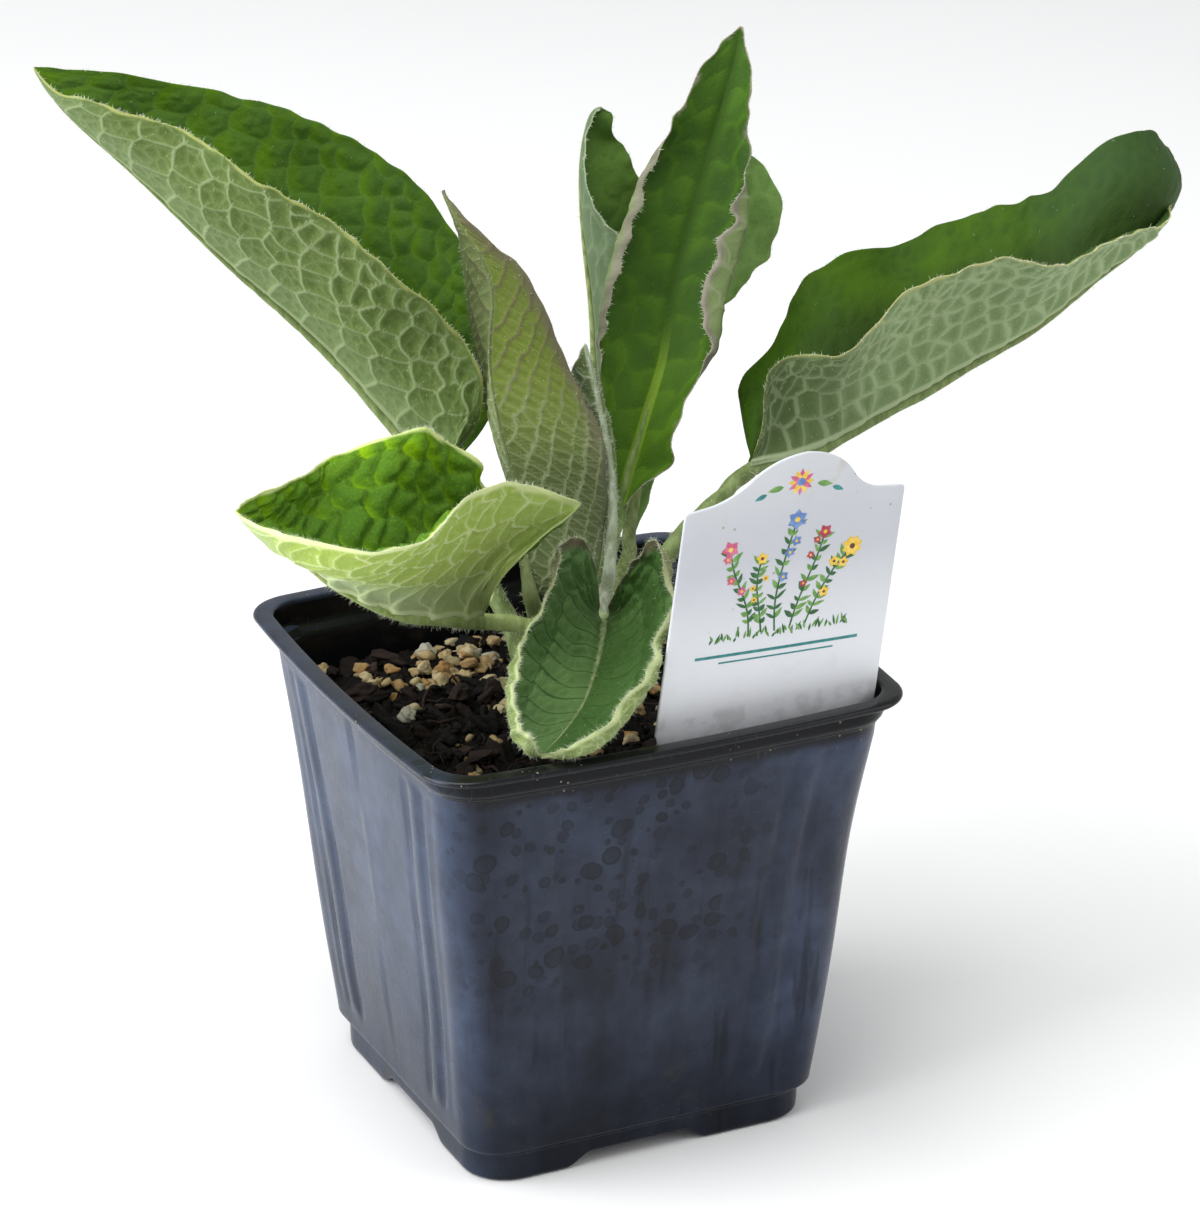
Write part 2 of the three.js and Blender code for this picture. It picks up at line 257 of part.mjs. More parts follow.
      [[73.76,33.55,135.9],[72.27,28.03,132.71],[70.05,18.56,125.37],[68.69,9.9,114.94],[65.5,5.49,125.94],[62.84,-0.2,135.01],[61.52,-3.75,139.5]],
      [[81.84,34.65,135.5],[79.84,28.97,132.93],[76.7,19.0,126.65],[74.41,9.46,117.21],[71.37,5.02,128.47],[68.87,-0.71,137.8],[67.63,-4.28,142.42]],
      [[88.68,32.35,138.75],[86.53,27.01,136.06],[83.12,17.74,129.58],[80.54,9.05,119.98],[77.62,4.33,130.93],[75.26,-1.62,139.92],[74.11,-5.29,144.35]],
      [[95.26,31.37,140.09],[93.08,26.15,137.69],[89.52,17.07,131.71],[86.66,8.57,122.59],[83.71,3.26,132.77],[81.37,-3.15,140.95],[80.24,-7.05,144.92]],
      [[100.56,29.18,142.1],[98.6,24.31,139.72],[95.45,15.98,133.83],[92.99,8.44,124.87],[89.79,2.52,133.6],[87.39,-4.31,140.35],[86.29,-8.38,143.53]],
      [[107.15,28.86,142.39],[105.07,24.23,140.62],[101.82,16.18,135.82],[99.48,8.62,127.98],[96.29,2.73,135.11],[94.09,-3.93,140.35],[93.16,-7.87,142.71]],
      [[111.38,24.24,147.76],[109.8,20.34,145.45],[107.38,14.05,139.83],[105.72,9.07,131.43],[102.86,3.99,137.66],[101.01,-1.92,142.09],[100.27,-5.47,144.03]],
      [[116.67,22.67,153.16],[115.39,18.97,150.23],[113.29,13.31,143.59],[111.56,9.49,134.39],[109.06,5.24,139.77],[107.47,0.1,143.39],[106.86,-3.03,144.89]],
      [[123.14,22.24,155.22],[122.09,18.68,152.19],[119.92,13.39,145.52],[117.22,10.21,136.54],[114.98,6.86,140.48],[113.66,2.7,142.85],[113.19,0.14,143.71]],
      [[128.98,23.34,154.47],[128.43,20.14,151.62],[126.56,15.48,145.6],[123.03,12.88,137.87],[121.38,10.4,140.39],[120.53,7.43,141.9],[120.29,5.63,142.44]],
      [[133.98,25.87,149.79],[133.86,23.29,147.88],[132.44,19.65,143.91],[128.76,17.85,138.89],[127.78,16.36,140.48],[127.39,14.58,141.54],[127.35,13.51,141.97]],
      [[137.36,28.72,144.25],[137.25,27.37,143.48],[136.39,25.36,141.92],[134.25,24.14,139.96],[133.79,23.43,140.71],[133.63,22.6,141.23],[133.63,22.1,141.45]],
    ],
    tip: [138.47,29.62,140.55],
  },
};

// ---------------------------------------------------------------- helpers

const wasm = await Module();
wasm.setup();

const lerp = (a, b, t) => a + (b - a) * t;

// Deterministic pseudo-random numbers for the irregular pieces.
function randomFrom(seed) {
  let s = seed >>> 0;
  return () => {
    s = (Math.imul(s ^ (s >>> 15), 2246822519) + 3266489917) >>> 0;
    return ((s ^ (s >>> 13)) >>> 0) / 4294967296;
  };
}

function geometryFrom(points, faces) {
  const g = new THREE.BufferGeometry();
  g.setAttribute('position', new THREE.BufferAttribute(new Float32Array(points.flat()), 3));
  g.setIndex(faces.flat());
  let volume = 0;
  for (const [a, b, c] of faces) {
    const [p, q, r] = [points[a], points[b], points[c]];
    volume += p[0] * (q[1] * r[2] - q[2] * r[1]) + p[1] * (q[2] * r[0] - q[0] * r[2]) + p[2] * (q[0] * r[1] - q[1] * r[0]);
  }
  if (volume < 0) g.setIndex(faces.map(([a, b, c]) => [a, c, b]).flat());
  return g;
}

// Loft of closed rings with equal point counts, closed by a centre point at each end.
function loft(rings, startPoint, endPoint) {
  const n = rings[0].length;
  const points = [];
  const faces = [];
  for (const ring of rings) points.push(...ring);
  for (let i = 0; i + 1 < rings.length; i += 1) {
    for (let j = 0; j < n; j += 1) {
      const k = (j + 1) % n;
      const a = i * n + j, b = i * n + k, c = (i + 1) * n + k, d = (i + 1) * n + j;
      faces.push([a, b, c], [a, c, d]);
    }
  }
  const s = points.push(startPoint) - 1;
  const e = points.push(endPoint) - 1;
  const last = (rings.length - 1) * n;
  for (let j = 0; j < n; j += 1) {
    const k = (j + 1) % n;
    faces.push([s, k, j], [e, last + j, last + k]);
  }
  return geometryFrom(points, faces);
}

function toSolid(geometry) {
  let g = geometry.clone();
  g.deleteAttribute('normal');
  g.deleteAttribute('uv');
  g = mergeVertices(g, 1e-4);
  return new wasm.Manifold(new wasm.Mesh({
    numProp: 3,
    vertProperties: new Float32Array(g.attributes.position.array),
    triVerts: new Uint32Array(g.index.array),
  }));
}

function toGeometry(solid) {
  const m = solid.getMesh();
  const g = new THREE.BufferGeometry();
  g.setAttribute('position', new THREE.BufferAttribute(new Float32Array(m.vertProperties), 3));
  g.setIndex(Array.from(m.triVerts));
  return g;
}

function boxAt(w, d, h, x, y, z) {
  return new THREE.BoxGeometry(w, d, h).translate(x, y, z);
}

const group = new THREE.Group();
function addPiece(name, geometry, color, roughness, metalness = 0) {
  geometry.computeVertexNormals();
  const mesh = new THREE.Mesh(geometry, new THREE.MeshStandardMaterial({ color, roughness, metalness }));
  mesh.name = name;
  group.add(mesh);
  return mesh;
}

// Rounded square ring at height z: half width w, corner radius r, sides bowed out by bow.
function squareRing(w, r, z, bow = 0) {
  const flat = w - r;
  const ring = [];
  for (let side = 0; side < 4; side += 1) {
    const c = [1, 0, -1, 0][side];
    const s = [0, 1, 0, -1][side];
    const local = [];
    for (let i = 0; i < RING_SIDE_POINTS; i += 1) {
      const t = -1 + (2 * i) / (RING_SIDE_POINTS - 1);
      local.push([flat * t, -(w + bow * (1 - t * t))]);
    }
    for (let i = 1; i <= RING_CORNER_POINTS; i += 1) {
      const a = -Math.PI / 2 + (Math.PI / 2) * (i / (RING_CORNER_POINTS + 1));
      local.push([flat + r * Math.cos(a), -flat + r * Math.sin(a)]);
    }
    for (const [x, y] of local) ring.push([c * x - s * y, s * x + c * y, z]);
  }
  return ring;
}

// ---------------------------------------------------------------- pot

function wallHalfWidth(z) {
  return lerp(WALL_BOTTOM, WALL_TOP, (z - FOOT_HEIGHT) / (COLLAR_Z - FOOT_HEIGHT));
}
function wallCornerRadius(z) {
  return lerp(CORNER_BOTTOM, CORNER_TOP, (z - FOOT_HEIGHT) / (COLLAR_Z - FOOT_HEIGHT));
}

function makePot() {
  const outer = [
    squareRing(FOOT_HALF - 0.7, 7.4, 0),
    squareRing(FOOT_HALF, 8.0, 0.8),
    squareRing(FOOT_HALF + 0.3, 7.8, FOOT_HEIGHT - 1.3),
    squareRing(wallHalfWidth(FOOT_HEIGHT), wallCornerRadius(FOOT_HEIGHT), FOOT_HEIGHT),
    squareRing(wallHalfWidth(30), wallCornerRadius(30), 30),
    squareRing(wallHalfWidth(54), wallCornerRadius(54), 54, 0.4),
    squareRing(WALL_TOP, CORNER_TOP, COLLAR_Z, 0.9),
    squareRing(COLLAR_HALF, CORNER_TOP + 0.3, COLLAR_Z + 1.6, 1.1),
    squareRing(COLLAR_HALF + 0.2, CORNER_TOP + 0.3, RIM_Z - LIP_THICKNESS, RIM_BOW),
    squareRing(RIM_HALF, RIM_CORNER, RIM_Z - LIP_THICKNESS, RIM_BOW),
    squareRing(RIM_HALF + 0.15, RIM_CORNER + 0.1, RIM_Z - LIP_THICKNESS / 2, RIM_BOW),
    squareRing(RIM_HALF, RIM_CORNER, RIM_Z, RIM_BOW),
    squareRing(RIM_INNER, RIM_INNER_CORNER, RIM_Z, RIM_BOW),
    squareRing(RIM_INNER - 0.1, RIM_INNER_CORNER, COLLAR_Z + 1.6 - 0.6, 1.1),
    squareRing(WALL_TOP - WALL, CORNER_TOP - WALL, COLLAR_Z - 0.8, 0.9),
    squareRing(wallHalfWidth(54) - WALL, wallCornerRadius(54) - WALL, 54, 0.4),
    squareRing(wallHalfWidth(30) - WALL, wallCornerRadius(30) - WALL, 30),
    squareRing(wallHalfWidth(FOOT_HEIGHT) - WALL - 0.7, wallCornerRadius(FOOT_HEIGHT) - WALL, FLOOR_TOP + 1.0),
    squareRing(wallHalfWidth(FOOT_HEIGHT) - WALL - 2.0, wallCornerRadius(FOOT_HEIGHT) - WALL - 1, FLOOR_TOP),
  ];
  let solid = toSolid(loft(outer, [0, 0, 0], [0, 0, FLOOR_TOP]));
  // Shallow arch in the middle of each side of the base, between the corner feet.
  for (let side = 0; side < 4; side += 1) {
    const shape = new THREE.Shape();
    const half = ARCH_WIDTH / 2;
    shape.moveTo(-half, -1);
    shape.lineTo(half, -1);
    shape.lineTo(half, 0);
    shape.quadraticCurveTo(half - 1.5, ARCH_HEIGHT * 0.85, half - 5, ARCH_HEIGHT);
    shape.lineTo(-half + 5, ARCH_HEIGHT);
    shape.quadraticCurveTo(-half + 1.5, ARCH_HEIGHT * 0.85, -half, 0);
    shape.closePath();
    const arch = new THREE.ExtrudeGeometry(shape, { depth: ARCH_DEPTH, bevelEnabled: false, curveSegments: 5 });
    arch.rotateX(Math.PI / 2);
    arch.translate(0, -FOOT_HALF - 1.5 + ARCH_DEPTH, 0);
    arch.rotateZ((side * Math.PI) / 2);
    solid = solid.subtract(toSolid(arch));
    // Narrow drain slots through the floor above each arch.
    for (const x of [-5.5, 5.5]) {
      const slot = boxAt(DRAIN_LENGTH, DRAIN_WIDTH, 12, x, -FOOT_HALF + 4.2, 3).rotateZ((side * Math.PI) / 2);
      solid = solid.subtract(toSolid(slot));
    }
  }
  return toGeometry(solid);
}

// ---------------------------------------------------------------- potting mix

function soilHeight(x, y) {
  return SOIL_Z
    + 0.55 * Math.sin(x * 0.21 + 1.3) * Math.cos(y * 0.17 - 0.4)
    + 0.45 * Math.sin(x * 0.11 - y * 0.19 + 2.0)
    + 0.9 * Math.exp(-(((x - 1) ** 2 + (y - 3) ** 2) / 320));
}

// Outline of the plant label in its own plane: x across, y up from the rim plane.
function labelShape(grow = 0) {
  const half = LABEL_WIDTH / 2 + grow;
  const shape = new THREE.Shape();
  shape.moveTo(-2, -LABEL_BURIED - grow);
  shape.lineTo(2, -LABEL_BURIED - grow);
  shape.lineTo(10 + grow, -LABEL_BURIED + 10);
  shape.lineTo(16.3 + grow, -12);
  shape.lineTo(half, -2);
  shape.lineTo(half, LABEL_SHOULDER + grow);
  shape.lineTo(15.2, LABEL_SHOULDER + 0.5 + grow);
  shape.quadraticCurveTo(12.2, LABEL_SHOULDER + 1.2 + grow, 10.2, LABEL_SHOULDER + 4.2 + grow);
  shape.quadraticCurveTo(7.0, LABEL_TOP - 0.4 + grow, 1.0, LABEL_TOP + grow);
  shape.quadraticCurveTo(-5.4, LABEL_TOP - 0.5 + grow, -9.4, LABEL_SHOULDER + 4.2 + grow);
  shape.quadraticCurveTo(-12.6, LABEL_SHOULDER + 1.4 + grow, -16.6, LABEL_SHOULDER + 0.6 + grow);
  shape.lineTo(-half, LABEL_SHOULDER + grow);
  shape.lineTo(-half, -2);
  shape.lineTo(-16.3 - grow, -12);
  shape.lineTo(-10 - grow, -LABEL_BURIED + 10);
  shape.closePath();
  return shape;
}

function labelGeometry(grow = 0) {
  const thickness = LABEL_THICKNESS + 2 * grow;
  const g = new THREE.ExtrudeGeometry(labelShape(grow), { depth: thickness, bevelEnabled: false, curveSegments: 6 });
  g.translate(0, 0, -thickness / 2);
  const across = new THREE.Vector3(...LABEL_ACROSS).normalize();
  const normal = new THREE.Vector3().crossVectors(across, new THREE.Vector3(...LABEL_UP)).normalize();
  const up = new THREE.Vector3().crossVectors(normal, across).normalize();
  const m = new THREE.Matrix4().makeBasis(across, up, normal);
  m.setPosition(...LABEL_ORIGIN);
  return g.applyMatrix4(m);
}

function crownRings(grow = 0) {
  const rings = [];
  const n = 18;
  for (const [z, r] of CROWN_PROFILE) {
    const ring = [];
    for (let i = 0; i < n; i += 1) {
      const a = (2 * Math.PI * i) / n;
      const lump = 1 + 0.06 * Math.sin(3 * a + 0.7) + 0.04 * Math.cos(5 * a + z);
      ring.push([CROWN_X + (r * lump + grow) * Math.cos(a), CROWN_Y + (r * 1.05 * lump + grow) * Math.sin(a), z]);
    }
    rings.push(ring);
  }
  return rings;
}

function crownGeometry() {
  return loft(crownRings(), [CROWN_X, CROWN_Y, CROWN_PROFILE[0][0]], [CROWN_X, CROWN_Y, CROWN_PROFILE[CROWN_PROFILE.length - 1][0]]);
}

function crownPocket() {
  const rings = crownRings(GAP * 1.7).map((ring, i) => ring.map(([x, y, z]) => [x, y, i === 0 ? z - GAP : z + GAP]));
  const top = rings[rings.length - 1].map(([x, y]) => [x, y, 90]);
  return loft([...rings, top], [CROWN_X, CROWN_Y, CROWN_PROFILE[0][0] - GAP], [CROWN_X, CROWN_Y, 90]);
}

function makeSoil() {
  const g = GAP;
  const at = (z, extra = 0) => squareRing(wallHalfWidth(z) - WALL - g - extra, wallCornerRadius(z) - WALL, z);
  const rings = [
    squareRing(wallHalfWidth(FOOT_HEIGHT) - WALL - 2.6, wallCornerRadius(FOOT_HEIGHT) - WALL - 1, FLOOR_TOP + g),
    squareRing(wallHalfWidth(FOOT_HEIGHT) - WALL - 1.1, wallCornerRadius(FOOT_HEIGHT) - WALL, FLOOR_TOP + 1.4),
    at(30), at(54),
  ];
  const edge = at(SOIL_Z - 1.5, 0.1);
  rings.push(edge);
  for (const f of [0.985, 0.9, 0.78, 0.64, 0.5, 0.36, 0.22, 0.1]) {
    rings.push(edge.map(([x, y]) => [x * f, y * f, soilHeight(x * f, y * f) - (f > 0.98 ? 0.6 : 0)]));
  }
  let solid = toSolid(loft(rings, [0, 0, FLOOR_TOP + g], [0, 0, soilHeight(0, 0)]));
  solid = solid.subtract(toSolid(labelGeometry(g)));
  solid = solid.subtract(toSolid(crownPocket()));
  return toGeometry(solid);
}

// ---------------------------------------------------------------- loose pieces on the potting mix

function makeChip([x, y, sx, sy, sz, turn, seed]) {
  const random = randomFrom(seed * 977 + 13);
  const g = mergeVertices(new THREE.IcosahedronGeometry(1, 1).deleteAttribute('normal').deleteAttribute('uv'), 1e-3);
  const p = g.attributes.position;
  const cuts = Array.from({ length: 7 }, () => {
    const v = new THREE.Vector3(random() - 0.5, random() - 0.5, random() - 0.5).normalize();
    return [v, 0.62 + 0.3 * random()];
  });
  for (let i = 0; i < p.count; i += 1) {
    const v = new THREE.Vector3().fromBufferAttribute(p, i);
    for (const [n, d] of cuts) {
      const k = v.dot(n);
      if (k > d) v.addScaledVector(n, (d - k) * 0.8);
    }
    p.setXYZ(i, v.x * sx, v.y * sy, v.z * sz);
  }
  g.rotateZ(turn);
  g.computeBoundingBox();
  // It lies on the mix: its lowest point clears the highest ground under it.
  let ground = -Infinity;
  for (let i = 0; i < 12; i += 1) {
    const a = (i * Math.PI) / 6;
    for (const k of [0, 0.5, 1]) ground = Math.max(ground, soilHeight(x + k * sx * Math.cos(a), y + k * sx * Math.sin(a)));
  }
  return g.translate(x, y, ground + GAP - g.boundingBox.min.z);
}

// ---------------------------------------------------------------- leaves

function spline(p0, p1, p2, p3, t) {
  const t2 = t * t, t3 = t2 * t;
  return p1.map((_, i) => 0.5 * (2 * p1[i] + (p2[i] - p0[i]) * t + (2 * p0[i] - 5 * p1[i] + 4 * p2[i] - p3[i]) * t2 + (3 * p1[i] - p0[i] - 3 * p2[i] + p3[i]) * t3));
}

// One leaf: stalk and blade in one closed skin. Each row of the net runs across the blade
// from the left edge over the midrib to the right edge: edge, fold, half, midrib, half, fold, edge.
function makeLeaf({ stalk, stalkRadius, rows, tip }) {
  const first = rows[0];
  const across0 = new THREE.Vector3(...first[6]).sub(new THREE.Vector3(...first[0])).normalize();
  const net = [];
  const kind = [];
  stalk.forEach((point, i) => {
    const here = new THREE.Vector3(...point);
    const next = new THREE.Vector3(...(i + 1 < stalk.length ? stalk[i + 1] : first[3]));
    const before = new THREE.Vector3(...(i > 0 ? stalk[i - 1] : point));
    const along = next.clone().sub(before).normalize();
    const across = across0.clone().addScaledVector(along, -across0.dot(along)).normalize();
    const r = stalkRadius * (i === 0 ? 1.12 : 1);
    net.push([-1, -0.8, -0.42, 0, 0.42, 0.8, 1].map((k) => here.clone().addScaledVector(across, k * r).toArray()));
    kind.push(1);
  });
  rows.forEach((row, i) => { net.push(row); kind.push(i === 0 ? 0.75 : i === 1 ? 0.3 : 0); });
  const tipRow = Array.from({ length: 7 }, () => tip);
  const at = (i) => (i < 0 ? net[0].map((p, j) => p.map((v, k) => 2 * v - net[1][j][k])) : i < net.length ? net[i] : tipRow);
  const sections = [];
  for (let i = 0; i + 1 < net.length; i += 1) {
    const steps = i < stalk.length - 1 ? 1 : LEAF_STEPS;
    for (let s = 0; s < steps; s += 1) {
      const t = s / steps;
      sections.push({
        row: net[i].map((_, j) => spline(at(i - 1)[j], net[i][j], net[i + 1][j], at(i + 2)[j], t)),
        kind: lerp(kind[i], kind[i + 1], t),
        u: (i + t) / net.length,
      });
    }
  }
  sections.push({ row: net[net.length - 1], kind: 0, u: 1 - 1 / net.length });
  const rings = sections.map(({ row, kind: k, u }, i) => {
    const prev = sections[Math.max(0, i - 1)].row;
    const next = i + 1 < sections.length ? sections[i + 1].row : tipRow;
    const upper = [];
    const lower = [];
    const rib = lerp(1.5, 0.25, u);
    for (let j = 0; j < 7; j += 1) {
      const p = new THREE.Vector3(...row[j]);
      const along = new THREE.Vector3(...next[j]).sub(new THREE.Vector3(...prev[j]));
      const across = new THREE.Vector3(...row[Math.min(6, j + 1)]).sub(new THREE.Vector3(...row[Math.max(0, j - 1)]));
      const normal = across.cross(along).normalize();
      const stem = [0.25, 0.95, 1.65, 1.95, 1.65, 0.95, 0.25][j] * (stalkRadius / 1.7);
      const up = lerp(BLADE_HALF, 0.35, k);
      const down = lerp(BLADE_HALF + (j === 3 ? rib : 0), stem, k);
      upper.push(p.clone().addScaledVector(normal, up).toArray());
      lower.push(p.clone().addScaledVector(normal, -down).toArray());
    }
    return [...upper, ...lower.reverse()];
  });
  const base = rings[0].reduce((a, p) => a.map((v, k) => v + p[k] / rings[0].length), [0, 0, 0]);
  // The stalk's foot is cut level so that it stands on the crown.
  rings[0] = rings[0].map(([x, y]) => [x, y, LEAF_FOOT_Z]);
  return loft(rings, [base[0], base[1], LEAF_FOOT_Z], tip);
}

// ---------------------------------------------------------------- assembly

addPiece('pot', makePot(), 0x3d4454, 0.42);
addPiece('potting_mix', makeSoil(), 0x241b17, 0.95);
addPiece('root_crown', crownGeometry(), 0x6f6a4c, 0.8);
addPiece('plant_label', labelGeometry(), 0xc9cdd2, 0.45);
for (const [name, net] of Object.entries(LEAF_NETS)) addPiece(name, makeLeaf(net), LEAF_COLORS[name], 0.6);
for (const [name, color, spec] of CHIPS) addPiece(name, makeChip(spec), color, 0.85);

export default group;
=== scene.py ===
"""A young potted comfrey: nine hairy leaves in a square black nursery pot with
potting mix and a white plant label. Lengths in the tables are millimetres."""
import math

import bpy
import numpy as np
from mathutils import Matrix, Vector


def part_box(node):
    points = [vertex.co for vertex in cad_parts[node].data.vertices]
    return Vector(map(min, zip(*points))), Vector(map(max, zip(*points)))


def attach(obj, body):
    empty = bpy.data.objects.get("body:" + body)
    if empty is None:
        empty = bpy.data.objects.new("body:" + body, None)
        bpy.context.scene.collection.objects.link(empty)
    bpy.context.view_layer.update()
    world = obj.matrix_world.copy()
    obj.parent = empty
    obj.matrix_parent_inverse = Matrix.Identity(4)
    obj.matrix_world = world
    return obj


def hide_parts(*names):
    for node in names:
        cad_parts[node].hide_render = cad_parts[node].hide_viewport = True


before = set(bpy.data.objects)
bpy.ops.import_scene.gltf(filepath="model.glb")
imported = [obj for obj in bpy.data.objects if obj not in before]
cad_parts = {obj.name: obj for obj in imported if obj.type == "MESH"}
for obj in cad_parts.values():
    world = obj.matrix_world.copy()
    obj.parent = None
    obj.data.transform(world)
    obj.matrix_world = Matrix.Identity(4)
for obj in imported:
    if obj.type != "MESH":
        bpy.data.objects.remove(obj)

EXPOSURE = 0.0
WORLD_COLOUR = (0.97, 0.985, 1.0, 1.0)
WORLD_STRENGTH = 0.55
FLOOR_COLOUR = (0.88, 0.88, 0.88, 1.0)
# name, place, aim, size, power, colour
LIGHTS = [
    ("key_top", (-0.35, -0.10, 1.25), (0.0, 0.0, 0.08), (1.0, 1.0), 12.0, (1.0, 0.995, 0.98)),
    ("left_sky", (-1.15, 0.15, 0.50), (0.0, 0.0, 0.06), (1.2, 1.0), 17.0, (0.97, 0.985, 1.0)),
    ("right_fill", (0.9, -0.7, 0.6), (0.0, 0.0, 0.09), (0.8, 0.8), 3.0, (1.0, 1.0, 1.0)),
]
POT_SIDE_POINTS = 57
POT_CORNER_POINTS = 9

